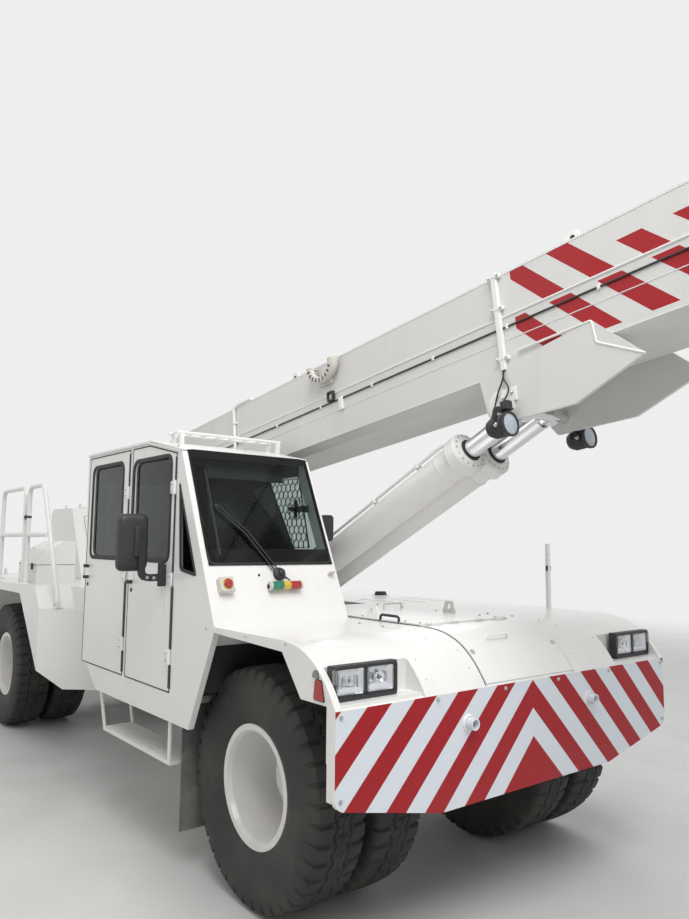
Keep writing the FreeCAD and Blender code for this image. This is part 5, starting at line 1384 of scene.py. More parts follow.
class CRANE_OT_gussets(CraneOperator):
    """Folded edges and stiffeners of the plates that hold the lift rods"""

    bl_idname = "crane.gussets"
    bl_label = "Gusset edges"

    def execute(self, context):
        paint = []
        for sign in (-1, 1):
            side = sign * 0.313
            rim = [on_boom(4.302, side, 0.057), on_boom(4.793, side, 0.062), on_boom(4.805, side, -0.065),
                   on_boom(5.058, side, -0.206)]
            paint.append(pipe(rim, 0.0075, 0.015, 8))
            boss = on_boom(*LIFT_PIN) + Y * sign * 0.3145
            paint.append(lathe(
                [(0.0, 0.098), (0.008, 0.098), (0.012, 0.09), (0.012, 0.06)], boss, Y * sign, 40))
        make("gusset_edges", "boom", white_paint=paint)
        return {"FINISHED"}


def lamp_can(centre, axis, radius, length):
    """A lamp's canister: rounded back, ribs and flared bezel, as radius over distance along its axis."""
    profile = [(-1, 0.0), (-1, 0.45), (-0.93, 0.66), (-0.8, 0.8)]
    rib = 0.004 / length
    for step in np.linspace(-0.72, -0.28, 6):
        profile += [(step, 0.84), (step + rib, 0.88), (step + 2 * rib, 0.84)]
    profile += [(-0.18, 0.86), (-0.12, 0.97), (0.0, 1.0), (rib, 0.98), (rib, 0.84), (-1.5 * rib, 0.82)]
    return lathe(np.array(profile) * (length, radius), centre, axis, 48)


class CRANE_OT_work_lamps(CraneOperator):
    """Round work lamps under the boom, each with its canister, reflector, lens, bracket and wires"""

    bl_idname = "crane.work_lamps"
    bl_label = "Work lamps"

    def execute(self, context):
        black, lens, wire, steel, paint = [], [], [], [], []
        for sign in (-1, 1):
            face = on_boom(4.248, sign * 0.39, -0.3788)
            black.append(lamp_can(face, ALONG, 0.0745, 0.155))
            bulge = np.linspace(0, 0.0625, 8)
            lens.append(lathe(
                np.stack([-0.002 + 0.006 * (1 - (bulge / 0.0625) ** 2), bulge], -1)[::-1], face, ALONG, 40))
            arch = [(-0.071, 0.0), (-0.071, 0.07), (-0.05, 0.092), (0.05, 0.092), (0.071, 0.07), (0.071, 0.0)]
            yoke = [on_boom(4.2, sign * 0.39 + a, -0.3788 + b) for a, b in arch]
            black.append(sweep(bend(yoke, 0.02), centred(0.036, 0.006)))
            black.append(boom_block((0.095, 0.06, 0.012), (4.2, sign * 0.372, -0.284), 0.004))
            black.append(boom_block((0.055, 0.05, 0.05), (4.2, sign * 0.35, -0.252), 0.006))
            paint.append(boom_block((0.16, 0.01, 0.085), (4.185, sign * 0.321, -0.19), 0.004))
            for along in (4.135, 4.235):
                steel += bolt(on_boom(along, sign * 0.3265, -0.178), Y * sign, 0.008)
            for shift in (-0.073, 0.073):
                steel += bolt(on_boom(4.2, sign * 0.39 + shift, -0.3788), Y * copysign(1, shift), 0.01)
            for swing in (-0.028, 0.03):
                wire.append(pipe(
                    [on_boom(4.19, sign * 0.322, -0.03), on_boom(4.185, sign * 0.33, -0.085),
                     on_boom(4.185 + swing * 1.6, sign * 0.338, -0.16),
                     on_boom(4.15 + swing, sign * 0.352, -0.235), on_boom(4.11, sign * 0.39, -0.33)],
                    0.005, 0.04, 8))
        lamps = make(
            "work_lamp_set", "boom", "lamp_glass", black_plastic=black, frosted_lens=lens, hose_rubber=wire,
            machined_steel=steel, white_paint=paint)
        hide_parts("work_lamps")
        return {"FINISHED"}


LIFT_LINE = unit(LIFT_EYE - LIFT_FOOT)
LIFT_UP = np.cross(LIFT_LINE, Y)


def on_lift(along, side, up=0.0):
    return LIFT_FOOT + LIFT_LINE * along + Y * side + LIFT_UP * up


class CRANE_OT_boom_tail(CraneOperator):
    """Cover plate in the boom's open foot end, with its rib, bolts, air slots and hose grommets"""

    bl_idname = "crane.boom_tail"
    bl_label = "Boom tail cover"

    def execute(self, context):
        edge = [
            (-0.284, -0.034), (-0.194, -0.064), (0.194, -0.064), (0.284, -0.034), (0.284, 0.552),
            (-0.284, 0.552)]
        paint = [plate(edge, on_boom(-0.39, 0.0, 0.0), Y, ABOVE, 0.006, 0.0015)]
        paint.append(boom_block((0.012, 0.44, 0.03), (-0.392, 0.0, 0.27), 0.004))
        steel, black = [], []
        for side, levels in ((0.262, (0.02, 0.19, 0.36, 0.53)), (0.1, (-0.045, 0.53))):
            for sign in (-1, 1):
                for level in levels:
                    steel += bolt(on_boom(-0.39, sign * side, level), -ALONG, 0.008)
        for w in (0.4, 0.43, 0.46, 0.49):
            black.append(boom_block((0.003, 0.26, 0.01), (-0.3905, 0.0, w), 0.001))
        for s in (-1, 1):
            black.append(lathe(
                [(0.0, 0.05), (0.006, 0.048), (0.01, 0.04), (0.01, 0.024), (-0.004, 0.022), (-0.004, 0.0)],
                on_boom(-0.39, s * 0.11, 0.12), -ALONG, 28))
        make("boom_tail_cover", "boom", white_paint=paint, machined_steel=steel, hose_rubber=black)
        return {"FINISHED"}


class CRANE_OT_lift_cylinders(CraneOperator):
    """Glands with their bolt rings, wiper rings, bands, valve blocks and hard pipes of the lift cylinders"""

    bl_idname = "crane.lift_cylinders"
    bl_label = "Lift cylinders"

    def execute(self, context):
        paint, steel, black = [], [], []
        for sign in (-1, 1):
            side = sign * 0.127
            gland = on_lift(2.9, side)
            paint.append(lathe(
                [(-0.001, 0.135), (0.014, 0.128), (0.02, 0.1), (0.026, 0.09), (0.026, 0.071)], gland,
                LIFT_LINE, 56))
            black.append(lathe(
                [(0.02, 0.078), (0.032, 0.076), (0.036, 0.068), (0.032, 0.0632), (0.018, 0.0632)], gland,
                LIFT_LINE, 48))
            steel += bolt_ring(
                on_lift(2.913, side), LIFT_LINE, Y * 0.114, LIFT_UP * 0.114, 0.0075, 16, pi / 16)
            for along, wide, lift in (
                    (2.828, 0.012, 0.139), (2.7, 0.01, 0.1185), (0.26, 0.014, 0.1175), (0.15, 0.01, 0.1175)):
                paint.append(lathe(
                    [(-wide, 0.112), (-wide, lift - 0.002), (-wide * 0.6, lift), (wide * 0.6, lift),
                     (wide, lift - 0.002), (wide, 0.112)],
                    on_lift(along, side), LIFT_LINE, 56))
            # Port block at the foot, a hard pipe along the barrel and its clamps
            out = sign * 0.09
            paint.append(block(
                (0.12, 0.05, 0.06), on_lift(0.34, side + out * 0.5, 0.122), 0.006, LIFT_LINE, LIFT_UP))
            run = [
                on_lift(0.4, side + out * 0.5, 0.126), on_lift(0.55, side + out * 0.6, 0.128),
                on_lift(2.6, side + out * 0.6, 0.128), on_lift(2.74, side + out * 0.5, 0.134),
                on_lift(2.8, side + out * 0.4, 0.12)]
            paint.append(pipe(run, 0.011, 0.05, 12))
            for along in (0.8, 1.4, 2.0, 2.5):
                paint.append(block(
                    (0.03, 0.045, 0.03), on_lift(along, side + out * 0.6, 0.12), 0.004, LIFT_LINE, LIFT_UP))
            steel.append(pin(on_lift(0.4, side + out * 0.5, 0.126), LIFT_LINE, 0.02, 0.019, 6))
        bridge = block((0.055, 0.06, 0.16), on_lift(2.868, 0.0), 0.006, LIFT_LINE, LIFT_UP)
        paint.append(bridge)
        hoses = [
            pipe([on_lift(0.33, s * 0.172, 0.14), on_lift(0.25, s * 0.176, 0.19),
                  on_lift(0.08, s * 0.1, 0.17), on_lift(-0.04, s * 0.06, 0.115)],
                 0.0125, 0.05, 12) for s in (-1, 1)]
        make(
            "lift_fittings", "lift_barrels", white_paint=paint, machined_steel=steel,
            hose_rubber=black + hoses)
        return {"FINISHED"}


def taut_rope(start, end, radius):
    """A laid rope between two points: its skin swells over seven strands that turn round it as they run."""
    length = np.linalg.norm(end - start)
    t = np.linspace(0, 1, max(8, int(length / 0.018)))[:, None, None]
    swing = full_turn(14)[:, None]
    skin = radius * (0.91 + 0.09 * np.abs(np.cos(3.5 * (swing + t * length / 0.06))))
    first, second = across(end - start)
    points = start + (end - start) * t + skin * (np.cos(swing) * first + np.sin(swing) * second)
    return grid(points, wrap_v=True)


class CRANE_OT_hoist(CraneOperator):
    """Winch rope on its drum, and the head's fittings"""

    bl_idname = "crane.hoist"
    bl_label = "Hoist"

    def execute(self, context):
        rope, steel, paint, black = [], [], [], []
        # Coils laid side by side on the drum
        turns = 31
        centre = np.array([0.265, 0.0, 2.12])
        swing = np.linspace(0, 2 * pi * turns, turns * 26)
        path = np.stack(
            [centre[0] + 0.1285 * np.cos(swing), np.linspace(-0.262, 0.262, len(swing)),
             centre[2] + 0.1285 * np.sin(swing)],
            -1)
        rope.append(sweep(path, circle_section(0.0083, 7)))
        for sign in (-1, 1):
            steel += bolt_ring(centre + Y * sign * 0.297, Y * sign, X * 0.155, Z * 0.155, 0.008, 8)
        make("drum_rope", "front_frame", wire_rope=rope, machined_steel=steel)
        # Head: bolts of the end plate, keeper pin, bolted caps of the sheaves' pin and a small box
        steel = []
        for side in (-0.19, 0.19):
            for above in (0.02, 0.16, 0.3, 0.44):
                steel += bolt(on_boom(6.75, side, above), ALONG, 0.01)
        steel.append(pin(on_boom(6.96, 0.0, 0.026), Y, 0.128, 0.012, 14))
        for sign in (-1, 1):
            base = on_boom(6.96, sign * 0.1505, -0.18)
            paint.append(lathe([(0.0, 0.08), (0.01, 0.08), (0.014, 0.074), (0.014, 0.0)], base, Y * sign, 32))
            face = base + Y * sign * 0.014
            steel += bolt_ring(face, Y * sign, ALONG * 0.055, ABOVE * 0.055, 0.008, 4, pi / 4)
        black.append(boom_block((0.05, 0.05, 0.07), (6.8, 0.0, 0.385), 0.006))
        make("head_fittings", "stage_4", machined_steel=steel, white_paint=paint, black_plastic=black)
        return {"FINISHED"}


class CRANE_OT_hook_block(CraneOperator):
    """Ropes of the hook block as laid strands, its plates' bolts and the hook's nut"""

    bl_idname = "crane.hook_block"
    bl_label = "Hook block"

    def execute(self, context):
        low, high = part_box("head_sheaves")
        head = (np.array(low) + np.array(high)) / 2
        drop = 0.9
        ropes, steel = [], []
        rope_out = 0.1583
        for side in (-1, 1):
            for y in (-0.05, 0.05):
                top = head + X * side * rope_out + Y * y
                ropes.append(taut_rope(top - Z * drop, top, 0.0092))
        for sign in (-1, 1):
            for x, z in ((-0.14, 0.16), (0.14, 0.16), (-0.14, -0.16), (0.14, -0.16)):
                steel += bolt(head + X * x + Y * sign * 0.1 + Z * (z - drop), Y * sign, 0.011)
            steel += bolt(head + Y * sign * 0.11 - Z * drop, Y * sign, 0.026)
        nut = head - Z * (drop + 0.315)
        steel.append(lathe([(-0.02, 0.038), (-0.02, 0.06), (0.02, 0.06), (0.02, 0.038)], nut, Z, 6))
        make("hook_fittings", "hook", wire_rope=ropes, machined_steel=steel)
        return {"FINISHED"}


def cushion(name, outline, origin, right, up, depth, crown, channels):
    """A padded cushion: its face rises by crown*(1 - (1 - e)^2) with e the share of the way in from the edge,
    dips by a sewn channel's groove, and its sides swell out between front and back."""
    middle = outline.mean(0)

    def ring(share, lift):
        return lay(middle + (outline - middle) * share, origin, right, up, lift)

    points = [ring(share, 0.0) for share in (0.0, 0.5, 0.9)]
    for t in np.linspace(0, 1, 9)[:-1]:
        points.append(ring(0.97 + 0.03 * sin(pi * min(t + 0.25, 1.0)), depth * 0.5 * t))
    for t in np.linspace(0, 1, 15):
        height = depth * 0.5 * (1 + min(t * 6, 1) ** 0.5) + crown * (1 - (1 - min(t * 2.2, 1)) ** 2)
        for level in channels:
            away = middle[1] + (outline[:, 1:] - middle[1]) * (1 - t) - level
            height = height - 0.01 * np.exp(-(away / 0.008) ** 2)
        points.append(ring(1 - t, height))
    piece = make(name, "front_frame", "seat_cloth", 60, seat_cloth=[grid(points, wrap_v=True)])


class CRANE_OT_seat(CraneOperator):
    """Driver's seat: cushion, backrest and headrest on a suspension pedestal, with belt and armrest"""

    bl_idname = "crane.seat"
    bl_label = "Driver's seat"

    def execute(self, context):
        low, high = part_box("driver_seat")
        x, y = low[0], (low[1] + high[1]) / 2
        base_z, seat_z = low[2], 1.33
        black, steel, red = [], [], []
        black.append(block((0.42, 0.4, 0.07), (x + 0.36, y, base_z + 0.036), 0.012))
        for k in range(7):
            size = 0.36 - 0.02 * (k % 2)
            black.append(block((size, size - 0.02, 0.034), (x + 0.36, y, base_z + 0.088 + 0.034 * k), 0.012))
        black.append(block((0.46, 0.44, 0.03), (x + 0.36, y, seat_z - 0.014), 0.012))
        for sign in (-1, 1):
            black.append(block((0.5, 0.022, 0.03), (x + 0.37, y + sign * 0.19, base_z + 0.012), 0.006))
            steel.append(pipe(
                [(x + 0.14, y + sign * 0.232, seat_z + 0.05), (x + 0.1, y + sign * 0.236, seat_z + 0.16)],
                0.014, 0, 14))
        shell_line = [
            (x + 0.04, seat_z + 0.1), (x + 0.03, seat_z + 0.12), (x + 0.012, 2.02), (x + 0.03, 2.05),
            (x + 0.062, 2.02), (x + 0.105, seat_z + 0.12)]
        black.append(plate(rounded(shell_line, 0.02), (0, y + 0.215, 0), X, Z, 0.43, 0.012))
        red.append(block((0.045, 0.03, 0.075), (x + 0.2, y + 0.215, seat_z + 0.115), 0.008))
        belt = [(x + 0.03, y - 0.225, 1.95), (x + 0.1, y - 0.235, 1.7), (x + 0.16, y - 0.235, seat_z + 0.06)]
        black.append(sweep(bend(belt, 0.06), centred(0.002, 0.044)))
        base = make(
            "seat_base", "front_frame", "black_plastic", black_plastic=black, machined_steel=steel,
            red_lens=red)
        wide = 0.236
        shape = rounded(
            [(-0.2, -wide), (0.22, -wide * 0.96), (0.25, -wide * 0.8), (0.25, wide * 0.8),
             (0.22, wide * 0.96), (-0.2, wide)],
            0.05, 6)
        cushion("seat_cushion", shape, (x + 0.345, y, seat_z + 0.002), X, Y, 0.08, 0.026, (-0.13, 0.13))
        lean = unit((-0.1, 0, 0.6))
        back_line = rounded(
            [(-wide, 0.0), (wide, 0.0), (wide, 0.34), (wide * 0.8, 0.56), (-wide * 0.8, 0.56), (-wide, 0.34)],
            0.07, 6)
        cushion(
            "seat_back", back_line, (x + 0.125, y, seat_z + 0.125), Y, lean, 0.07, 0.024, (0.14, 0.28, 0.42))
        head_line = rounded(box_outline(-0.13, 0.13, 0.0, 0.115), 0.045, 6)
        cushion("seat_headrest", head_line, (x + 0.022, y, 2.028), Y, Z, 0.055, 0.012, ())
        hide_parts("driver_seat")
        return {"FINISHED"}


class CRANE_OT_cab_inside(CraneOperator):
    """Dash with its instruments, screen, levers, pedals, trim panels and fan inside the cab"""

    bl_idname = "crane.cab_inside"
    bl_label = "Cab inside"

    def execute(self, context):
        black, dark, grey, steel, red, yellow = [], [], [], [], [], []
        left, right = -0.492, -1.448
        mid = (left + right) / 2
        # Dash across the front, its face raked towards the driver
        section = rounded(
            [(2.02, 1.16), (2.36, 1.16), (2.485, 1.66), (2.2, 1.705), (2.02, 1.64), (1.985, 1.5)], 0.03)
        black.append(plate(section, (0, left, 0), X, Z, left - right, 0.006))
        hood = rounded([(2.06, 1.652), (2.3, 1.7), (2.27, 1.76), (2.12, 1.775), (2.045, 1.735)], 0.02)
        black.append(plate(hood, (0, mid + 0.2, 0), X, Z, 0.4, 0.008))
        face = unit((-0.155, 0, 0.065))
        for y in (mid - 0.11, mid + 0.01, mid + 0.115):
            spot = np.array([2.05, y, 1.708])
            grey.append(lathe([(0.0, 0.044), (0.01, 0.044), (0.012, 0.04), (0.008, 0.037)], spot, face, 28))
            dark.append(lathe([(0.007, 0.037), (0.0075, 0.0)], spot, face, 28))
            steel.append(block((0.0015, 0.004, 0.03), spot + face * 0.01 + Z * 0.008, 0.0005, face, Z))
        for row in range(2):
            for k in range(9):
                y = left - 0.1 - k * 0.085
                black.append(block((0.018, 0.04, 0.026), (2.0 + 0.01 * row, y, 1.6 - row * 0.055), 0.004))
                colour = (red, grey, yellow, grey)[(k + row) % 4]
                colour.append(block(
                    (0.004, 0.012, 0.006), (1.99 + 0.01 * row, y, 1.604 - row * 0.055), 0.001))
        # Load computer on a stalk beside the screen
        black.append(pipe([(2.24, left - 0.16, 1.69), (2.23, left - 0.16, 1.83)], 0.012, 0, 12))
        black.append(block((0.045, 0.25, 0.17), (2.215, left - 0.16, 1.9), 0.01))
        dark.append(block((0.004, 0.2, 0.12), (2.191, left - 0.16, 1.905), 0.001))
        # Lever console left of the seat
        black.append(block((0.46, 0.13, 0.3), (1.44, left - 0.12, 1.34), 0.016))
        for k in range(4):
            foot = np.array([1.33 + k * 0.075, left - 0.12, 1.49])
            black.append(lathe([(0.0, 0.026), (0.008, 0.024), (0.03, 0.014), (0.034, 0.0)], foot, Z, 20))
            steel.append(pipe([foot, foot + (0.012, 0, 0.11)], 0.0055, 0, 10))
            knob = foot + np.array([0.013, 0, 0.128])
            t = np.linspace(0, pi, 12)
            black.append(lathe(
                np.stack([-0.022 * np.cos(t), 0.019 * np.sin(t)], -1), knob, unit((0.1, 0, 1)), 20))
        # Pedals
        for y, high in ((-0.86, 0.17), (-1.1, 0.15)):
            plate_at = np.array([1.93, y, 0.983 + high * 0.55])
            black.append(block((0.012, 0.085, high * 0.8), plate_at, 0.004, unit((0.8, 0, 0.6)), Z))
            steel.append(pipe(
                [plate_at + (0.01, 0, 0), plate_at + (0.07, 0, 0.12), plate_at + (0.09, 0, 0.3)], 0.009, 0.03,
                10))
        # Fan in the corner: wire guard, rim, motor and four blades
        fan = np.array([2.11, left - 0.085, 2.36])
        for a in full_turn(14):
            ring_point = fan + Y * cos(a) * 0.072 + Z * sin(a) * 0.072
            steel.append(pipe(
                [fan - X * 0.022, ring_point - X * 0.03, ring_point + X * 0.01], 0.0016, 0.02, 6))
        steel.append(lathe(
            [(-0.003, 0.07), (-0.003, 0.076), (0.003, 0.076), (0.003, 0.07), (-0.003, 0.07)], fan - X * 0.012,
            X, 36))
        black.append(lathe([(-0.004, 0.0), (-0.004, 0.026), (0.055, 0.022), (0.06, 0.0)], fan, X, 20))
        for a in full_turn(4):
            black.append(block(
                (0.004, 0.03, 0.052), fan - X * 0.014 + (Y * cos(a) + Z * sin(a)) * 0.04, 0.001, X,
                Y * cos(a) + Z * sin(a)))
        black.append(block((0.05, 0.03, 0.05), fan + (0.055, 0.04, 0.0), 0.006))
        # Sun visor, roof lamp, floor mat
        black.append(block((0.012, 0.62, 0.13), (2.02, mid, 2.61), 0.005, unit((1, 0, 0.45))))
        grey.append(block((0.1, 0.055, 0.016), (1.4, mid, 2.8), 0.005))
        mat = [block((0.7, 0.8, 0.006), (1.62, mid, 0.9855), 0.002)]
        for k in range(16):
            mat.append(block((0.66, 0.01, 0.004), (1.62, mid - 0.37 + k * 0.049, 0.99), 0.0015))
        make(
            "cab_fittings", "front_frame", black_plastic=black, screen_glass=dark, grey_box=grey,
            machined_steel=steel, red_lens=red, yellow_lens=yellow, flap_rubber=mat)
        return {"FINISHED"}


class CRANE_OT_door_fittings(CraneOperator):
    """Hinges with their screws, edge rubbers, pull handles and inner trim of the doors"""

    bl_idname = "crane.door_fittings"
    bl_label = "Door fittings"

    def execute(self, context):
        for name, left_edge, right_edge, top in (
                ("door_front", 1.243, 1.987, 2.69), ("door_rear", 0.333, 1.187, 2.78)):
            black, paint, steel, trim = [], [], [], []
            face = -SIDE
            for level in (1.353, 1.86, 2.48):
                paint.append(block((0.06, 0.014, 0.085), (right_edge - 0.026, face - 0.008, level), 0.004))
                for dx in (-0.04, -0.018):
                    for dz in (-0.024, 0.024):
                        steel += bolt((right_edge + dx, face - 0.0155, level + dz), -Y, 0.0055, False)
            # Thick edge rubber at the hinge side, cut at the hinges
            for z0, z1, thick in (
                    (1.15, 1.3, 0.026), (1.405, 1.81, 0.026), (1.91, 2.43, 0.014), (2.53, top, 0.014)):
                black.append(block(
                    (thick, 0.012, z1 - z0), (right_edge + 0.003, face - 0.003, (z0 + z1) / 2), 0.004))
            # Pull handle: two mounts and a plate between them
            x = left_edge + 0.0575
            for z in (1.815, 1.905):
                black.append(block((0.04, 0.042, 0.03), (x, face - 0.02, z), 0.007))
            steel.append(block((0.024, 0.012, 0.078), (x, face - 0.034, 1.86), 0.004))
            black.append(lathe(
                [(0.0, 0.014), (0.005, 0.014), (0.006, 0.01), (0.006, 0.0)], (x, face - 0.0005, 1.755), -Y,
                20))
            # Inner trim and its pull bar
            panel = rounded(box_outline(left_edge + 0.05, right_edge - 0.05, 1.2, 1.93), 0.04)
            trim.append(plate(panel, (0, face + 0.04, 0), X, Z, -0.006, 0.0))
            black.append(pipe(
                [(left_edge + 0.12, face + 0.046, 1.72), (left_edge + 0.12, face + 0.085, 1.72),
                 (left_edge + 0.36, face + 0.085, 1.78), (left_edge + 0.36, face + 0.046, 1.78)],
                0.011, 0.03, 10))
            make(
                name + "_fittings", name, black_plastic=black, white_paint=paint, machined_steel=steel,
                flap_rubber=trim)
        return {"FINISHED"}


class CRANE_OT_side_windows(CraneOperator):
    """Seals of the left and quarter windows, the roof's gutters and the bolts along the roof"""

    bl_idname = "crane.side_windows"
    bl_label = "Side windows"

    def execute(self, context):
        wide = 0.018
        lip = [(-0.003, -0.004), (wide, -0.004), (wide, 0.003), (wide * 0.5, 0.006), (-0.003, 0.004)]
        black, paint, steel = [], [], []
        left = [(0.495, 1.995), (2.285, 1.995), (1.985, 2.62), (0.495, 2.62)]
        black.append(seal(rounded(left, 0.05)[::-1], (0, -0.45, 0), X, Z, [(-s, -n) for s, n in lip]))
        quarter = rounded([(-2.045, 2.52), (-2.09, 1.925), (-2.325, 1.895)], 0.04)
        black.append(seal(quarter[::-1], (0, -SIDE, 0), -X, Z, [(-s, -n) for s, n in lip]))
        gutter_line = [(0.3, 2.834), (1.52, 2.83), (2.04, 2.728)]
        for y in (-SIDE - 0.004, -0.446):
            paint.append(sweep(
                [(x, y, z) for x, z in gutter_line],
                [(-0.008, -0.006), (0.004, -0.006), (0.004, 0.006), (-0.008, 0.006)]))
        for x in (0.45, 0.95, 1.45, 1.9):
            z = 2.838 if x < 1.5 else 2.838 - (x - 1.543) * 0.205
            for y in (-1.44, -0.5):
                steel += bolt((x, y, z + 0.012), Z, 0.006)
        make("cab_trim", "front_frame", seal_rubber=black, white_paint=paint, machined_steel=steel)
        return {"FINISHED"}


class CRANE_OT_steps(CraneOperator):
    """Serrated treads and bolts of the side steps, and the mud flaps' clamp bars"""

    bl_idname = "crane.steps"
    bl_label = "Steps and flaps"

    def execute(self, context):
        steel, paint = [], []
        near, far = 1.225, 1.465
        flap_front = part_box("mud_flaps")[1][0]
        for sign in (-1, 1):
            for k in range(38):
                x = 0.835 + k * 0.0305
                y = np.linspace(near + 0.012, far - 0.012, 19)
                up = np.where(np.arange(19) % 2 == 0, 0.0, 0.006)
                outline = np.concatenate([
                    np.stack([y, up + 0.681], -1), [(far - 0.012, 0.678), (near + 0.012, 0.678)]])
                if sign < 0:
                    outline = outline * (-1, 1)
                paint.append(plate(outline, (x, 0, 0), Y, Z, 0.004))
            for y in (0.62, 0.98, 1.34):
                steel += bolt((flap_front, sign * y, 1.06), X, 0.01)
            paint.append(block((0.008, 0.84, 0.045), (flap_front + 0.004, sign * 0.98, 1.06), 0.002))
            for x in (2.475, 2.945, 3.345):
                steel += bolt((x, sign * SIDE, 1.585), Y * sign, 0.006)
        make("step_treads", "front_frame", white_paint=paint, machined_steel=steel)
        return {"FINISHED"}


def louvre(centre, along, out, width, rise, depth, steps=12):
    """A pressed louvre, s along its slot and t up the sheet, out by depth*sin(pi s)^0.5*(1 - t)^1.5."""
    along, out = unit(along), unit(out)
    s = np.linspace(0, 1, steps)[:, None, None]
    t = np.linspace(0, 1, 6)[None, :, None]
    height = depth * np.sqrt(np.sin(np.pi * s).clip(0)) * (1 - t) ** 1.5
    flat = np.asarray(centre) + along * (s - 0.5) * width + np.cross(out, along) * (t - 0.5) * rise
    front = flat + out * height
    return grid(np.concatenate([front, front[:, ::-1] - out * 0.0015], axis=1), wrap_v=True)


def seam(points, width=0.003):
    """A narrow dark line where two sheets meet."""
    return sweep(points, circle_section(width, 6))


def latch(centre, along, out):
    """A flush paddle latch: a dished black cup with a lever in it."""
    up = np.cross(unit(out), unit(along))
    cup = plate(oblong(0.095, 0.055, 0.012), np.asarray(centre) - unit(out) * 0.001, along, up, 0.006, 0.002)
    lever = block((0.07, 0.026, 0.008), np.asarray(centre) + unit(out) * 0.008, 0.003, along, out)
    return [cup, lever]


def hinge(paint, steel, centre, along, out, length=0.09):
    """A butt hinge, its knuckle and leaf added to one store and its screws to another."""
    centre, along, out = np.asarray(centre, float), unit(along), unit(out)
    side = np.cross(along, out)
    ends = [centre + along * length * share + out * 0.006 for share in (-0.5, 0.5)]
    paint += [pipe(ends, 0.008), block((length, 0.056, 0.004), centre + out * 0.002, 0.001, along, out)]
    for a in (-0.3, 0.3):
        for b in (-0.019, 0.019):
            steel += bolt(centre + along * a * length + side * b + out * 0.004, out, 0.004, False)


class CRANE_OT_cowl_details(CraneOperator):
    """Doors, louvres, hinges, latches, grille, exhaust and intake of the engine cowl"""

    bl_idname = "crane.cowl_details"
    bl_label = "Cowl details"

    def execute(self, context):
        paint, black, steel, dark = [], [], [], []
        for sign in (-1, 1):
            out, face = Y * sign, sign * 0.65
            doors = ((-3.36, -2.99), (-2.95, -2.58)) if sign > 0 else ()
            for back, front in doors:
                door = rounded([(back, 1.7), (front, 1.7), (front, 2.4), (back, 2.4)], 0.03)
                black.append(seam(np.array(
                    [(x, face, z) for x, z in door] + [(door[0][0], face, door[0][1])])))
                middle = (back + front) / 2
                for z in np.arange(1.86, 2.2, 0.048):
                    paint.append(louvre((middle, face, z), X * -sign, out, 0.24, 0.034, 0.016))
                black += latch((middle, face, 2.3), X, out)
                for x in (back + 0.07, front - 0.07):
                    hinge(paint, steel, (x, face, 1.7), X, out, 0.07)
            for x in (-3.39, -2.5, -2.3):
                steel += bolt((x, face, 1.68), out, 0.008)
            paint.append(seam(
                [(-3.405, face - sign * 0.004, 2.44), (-3.36, face - sign * 0.004, 2.507),
                 (-2.64, face - sign * 0.004, 2.507), (-2.19, face - sign * 0.004, 1.68)],
                0.006))
        # Grille of upright bars on the cowl's back, in a raised frame
        rim = rounded(box_outline(-0.5, 0.5, 1.74, 2.36), 0.03)
        paint.append(seal(
            rim, (-3.42, 0, 0), -Y, Z, [(0.012, 0.0), (0.012, 0.012), (-0.012, 0.012), (-0.012, 0.0)]))
        dark.append(plate(rim, (-3.4195, 0, 0), -Y, Z, 0.001))
        for y in np.linspace(-0.47, 0.47, 24):
            paint.append(sweep([(-3.426, y, 1.745), (-3.426, y, 2.355)], centred(0.006, 0.014)))
        for z in (1.95, 2.15):
            paint.append(sweep([(-3.431, -0.49, z), (-3.431, 0.49, z)], centred(0.016, 0.006)))
        # Falling front of the cowl: a hatch with its seam, latches and hinges
        lean = unit((-0.45, 0, 0.854))
        face = np.cross(Y, lean)
        foot = np.array([-2.18, 0.0, 1.656])
        hatch = rounded([(-0.52, 0.1), (0.52, 0.1), (0.52, 0.86), (-0.52, 0.86)], 0.03)
        black.append(seam(np.array([foot + Y * y + lean * v for y, v in np.concatenate([hatch, hatch[:1]])])))
        for y in (-0.36, 0.36):
            black += latch(foot + Y * y + lean * 0.17, Y, face)
            hinge(paint, steel, foot + Y * y + lean * 0.86, Y, face, 0.09)
        # Top: filler cap, lifting eyes, intake cap and exhaust with its rain flap
        paint.append(lathe(
            [(0.0, 0.055), (0.028, 0.055), (0.034, 0.048), (0.034, 0.0)], (-2.8, -0.42, 2.509), Z, 32))
        for x, y in ((-3.25, -0.52), (-3.25, 0.52), (-2.72, -0.52), (-2.72, 0.52)):
            eye = rounded([(-0.05, 0.0), (0.05, 0.0), (0.022, 0.065), (-0.022, 0.065)], 0.014)
            paint.append(plate(eye, (x, y - 0.006, 2.509), X, Z, -0.012, 0.002))
            steel.append(lathe(
                [(-0.008, 0.012), (0.008, 0.012), (0.008, 0.009), (-0.008, 0.009), (-0.008, 0.012)],
                (x, y, 2.548), Y, 20))
        dark.append(pipe([(-3.2, 0.3, 2.5), (-3.2, 0.3, 2.66), (-3.3, 0.3, 2.74)], 0.045, 0.08, 20))
        paint.append(lathe(
            [(0.0, 0.07), (0.008, 0.07), (0.012, 0.052), (0.02, 0.05)], (-3.2, 0.3, 2.509), Z, 32))
        black.append(lathe(
            [(0.0, 0.05), (0.055, 0.05), (0.055, 0.085), (0.075, 0.095), (0.125, 0.092), (0.15, 0.06),
             (0.155, 0.0)],
            (-2.86, 0.2, 2.509), Z, 40))
        make(
            "cowl_fittings", "rear_frame", white_paint=paint, black_plastic=black, machined_steel=steel,
            black_steel=dark)
        return {"FINISHED"}


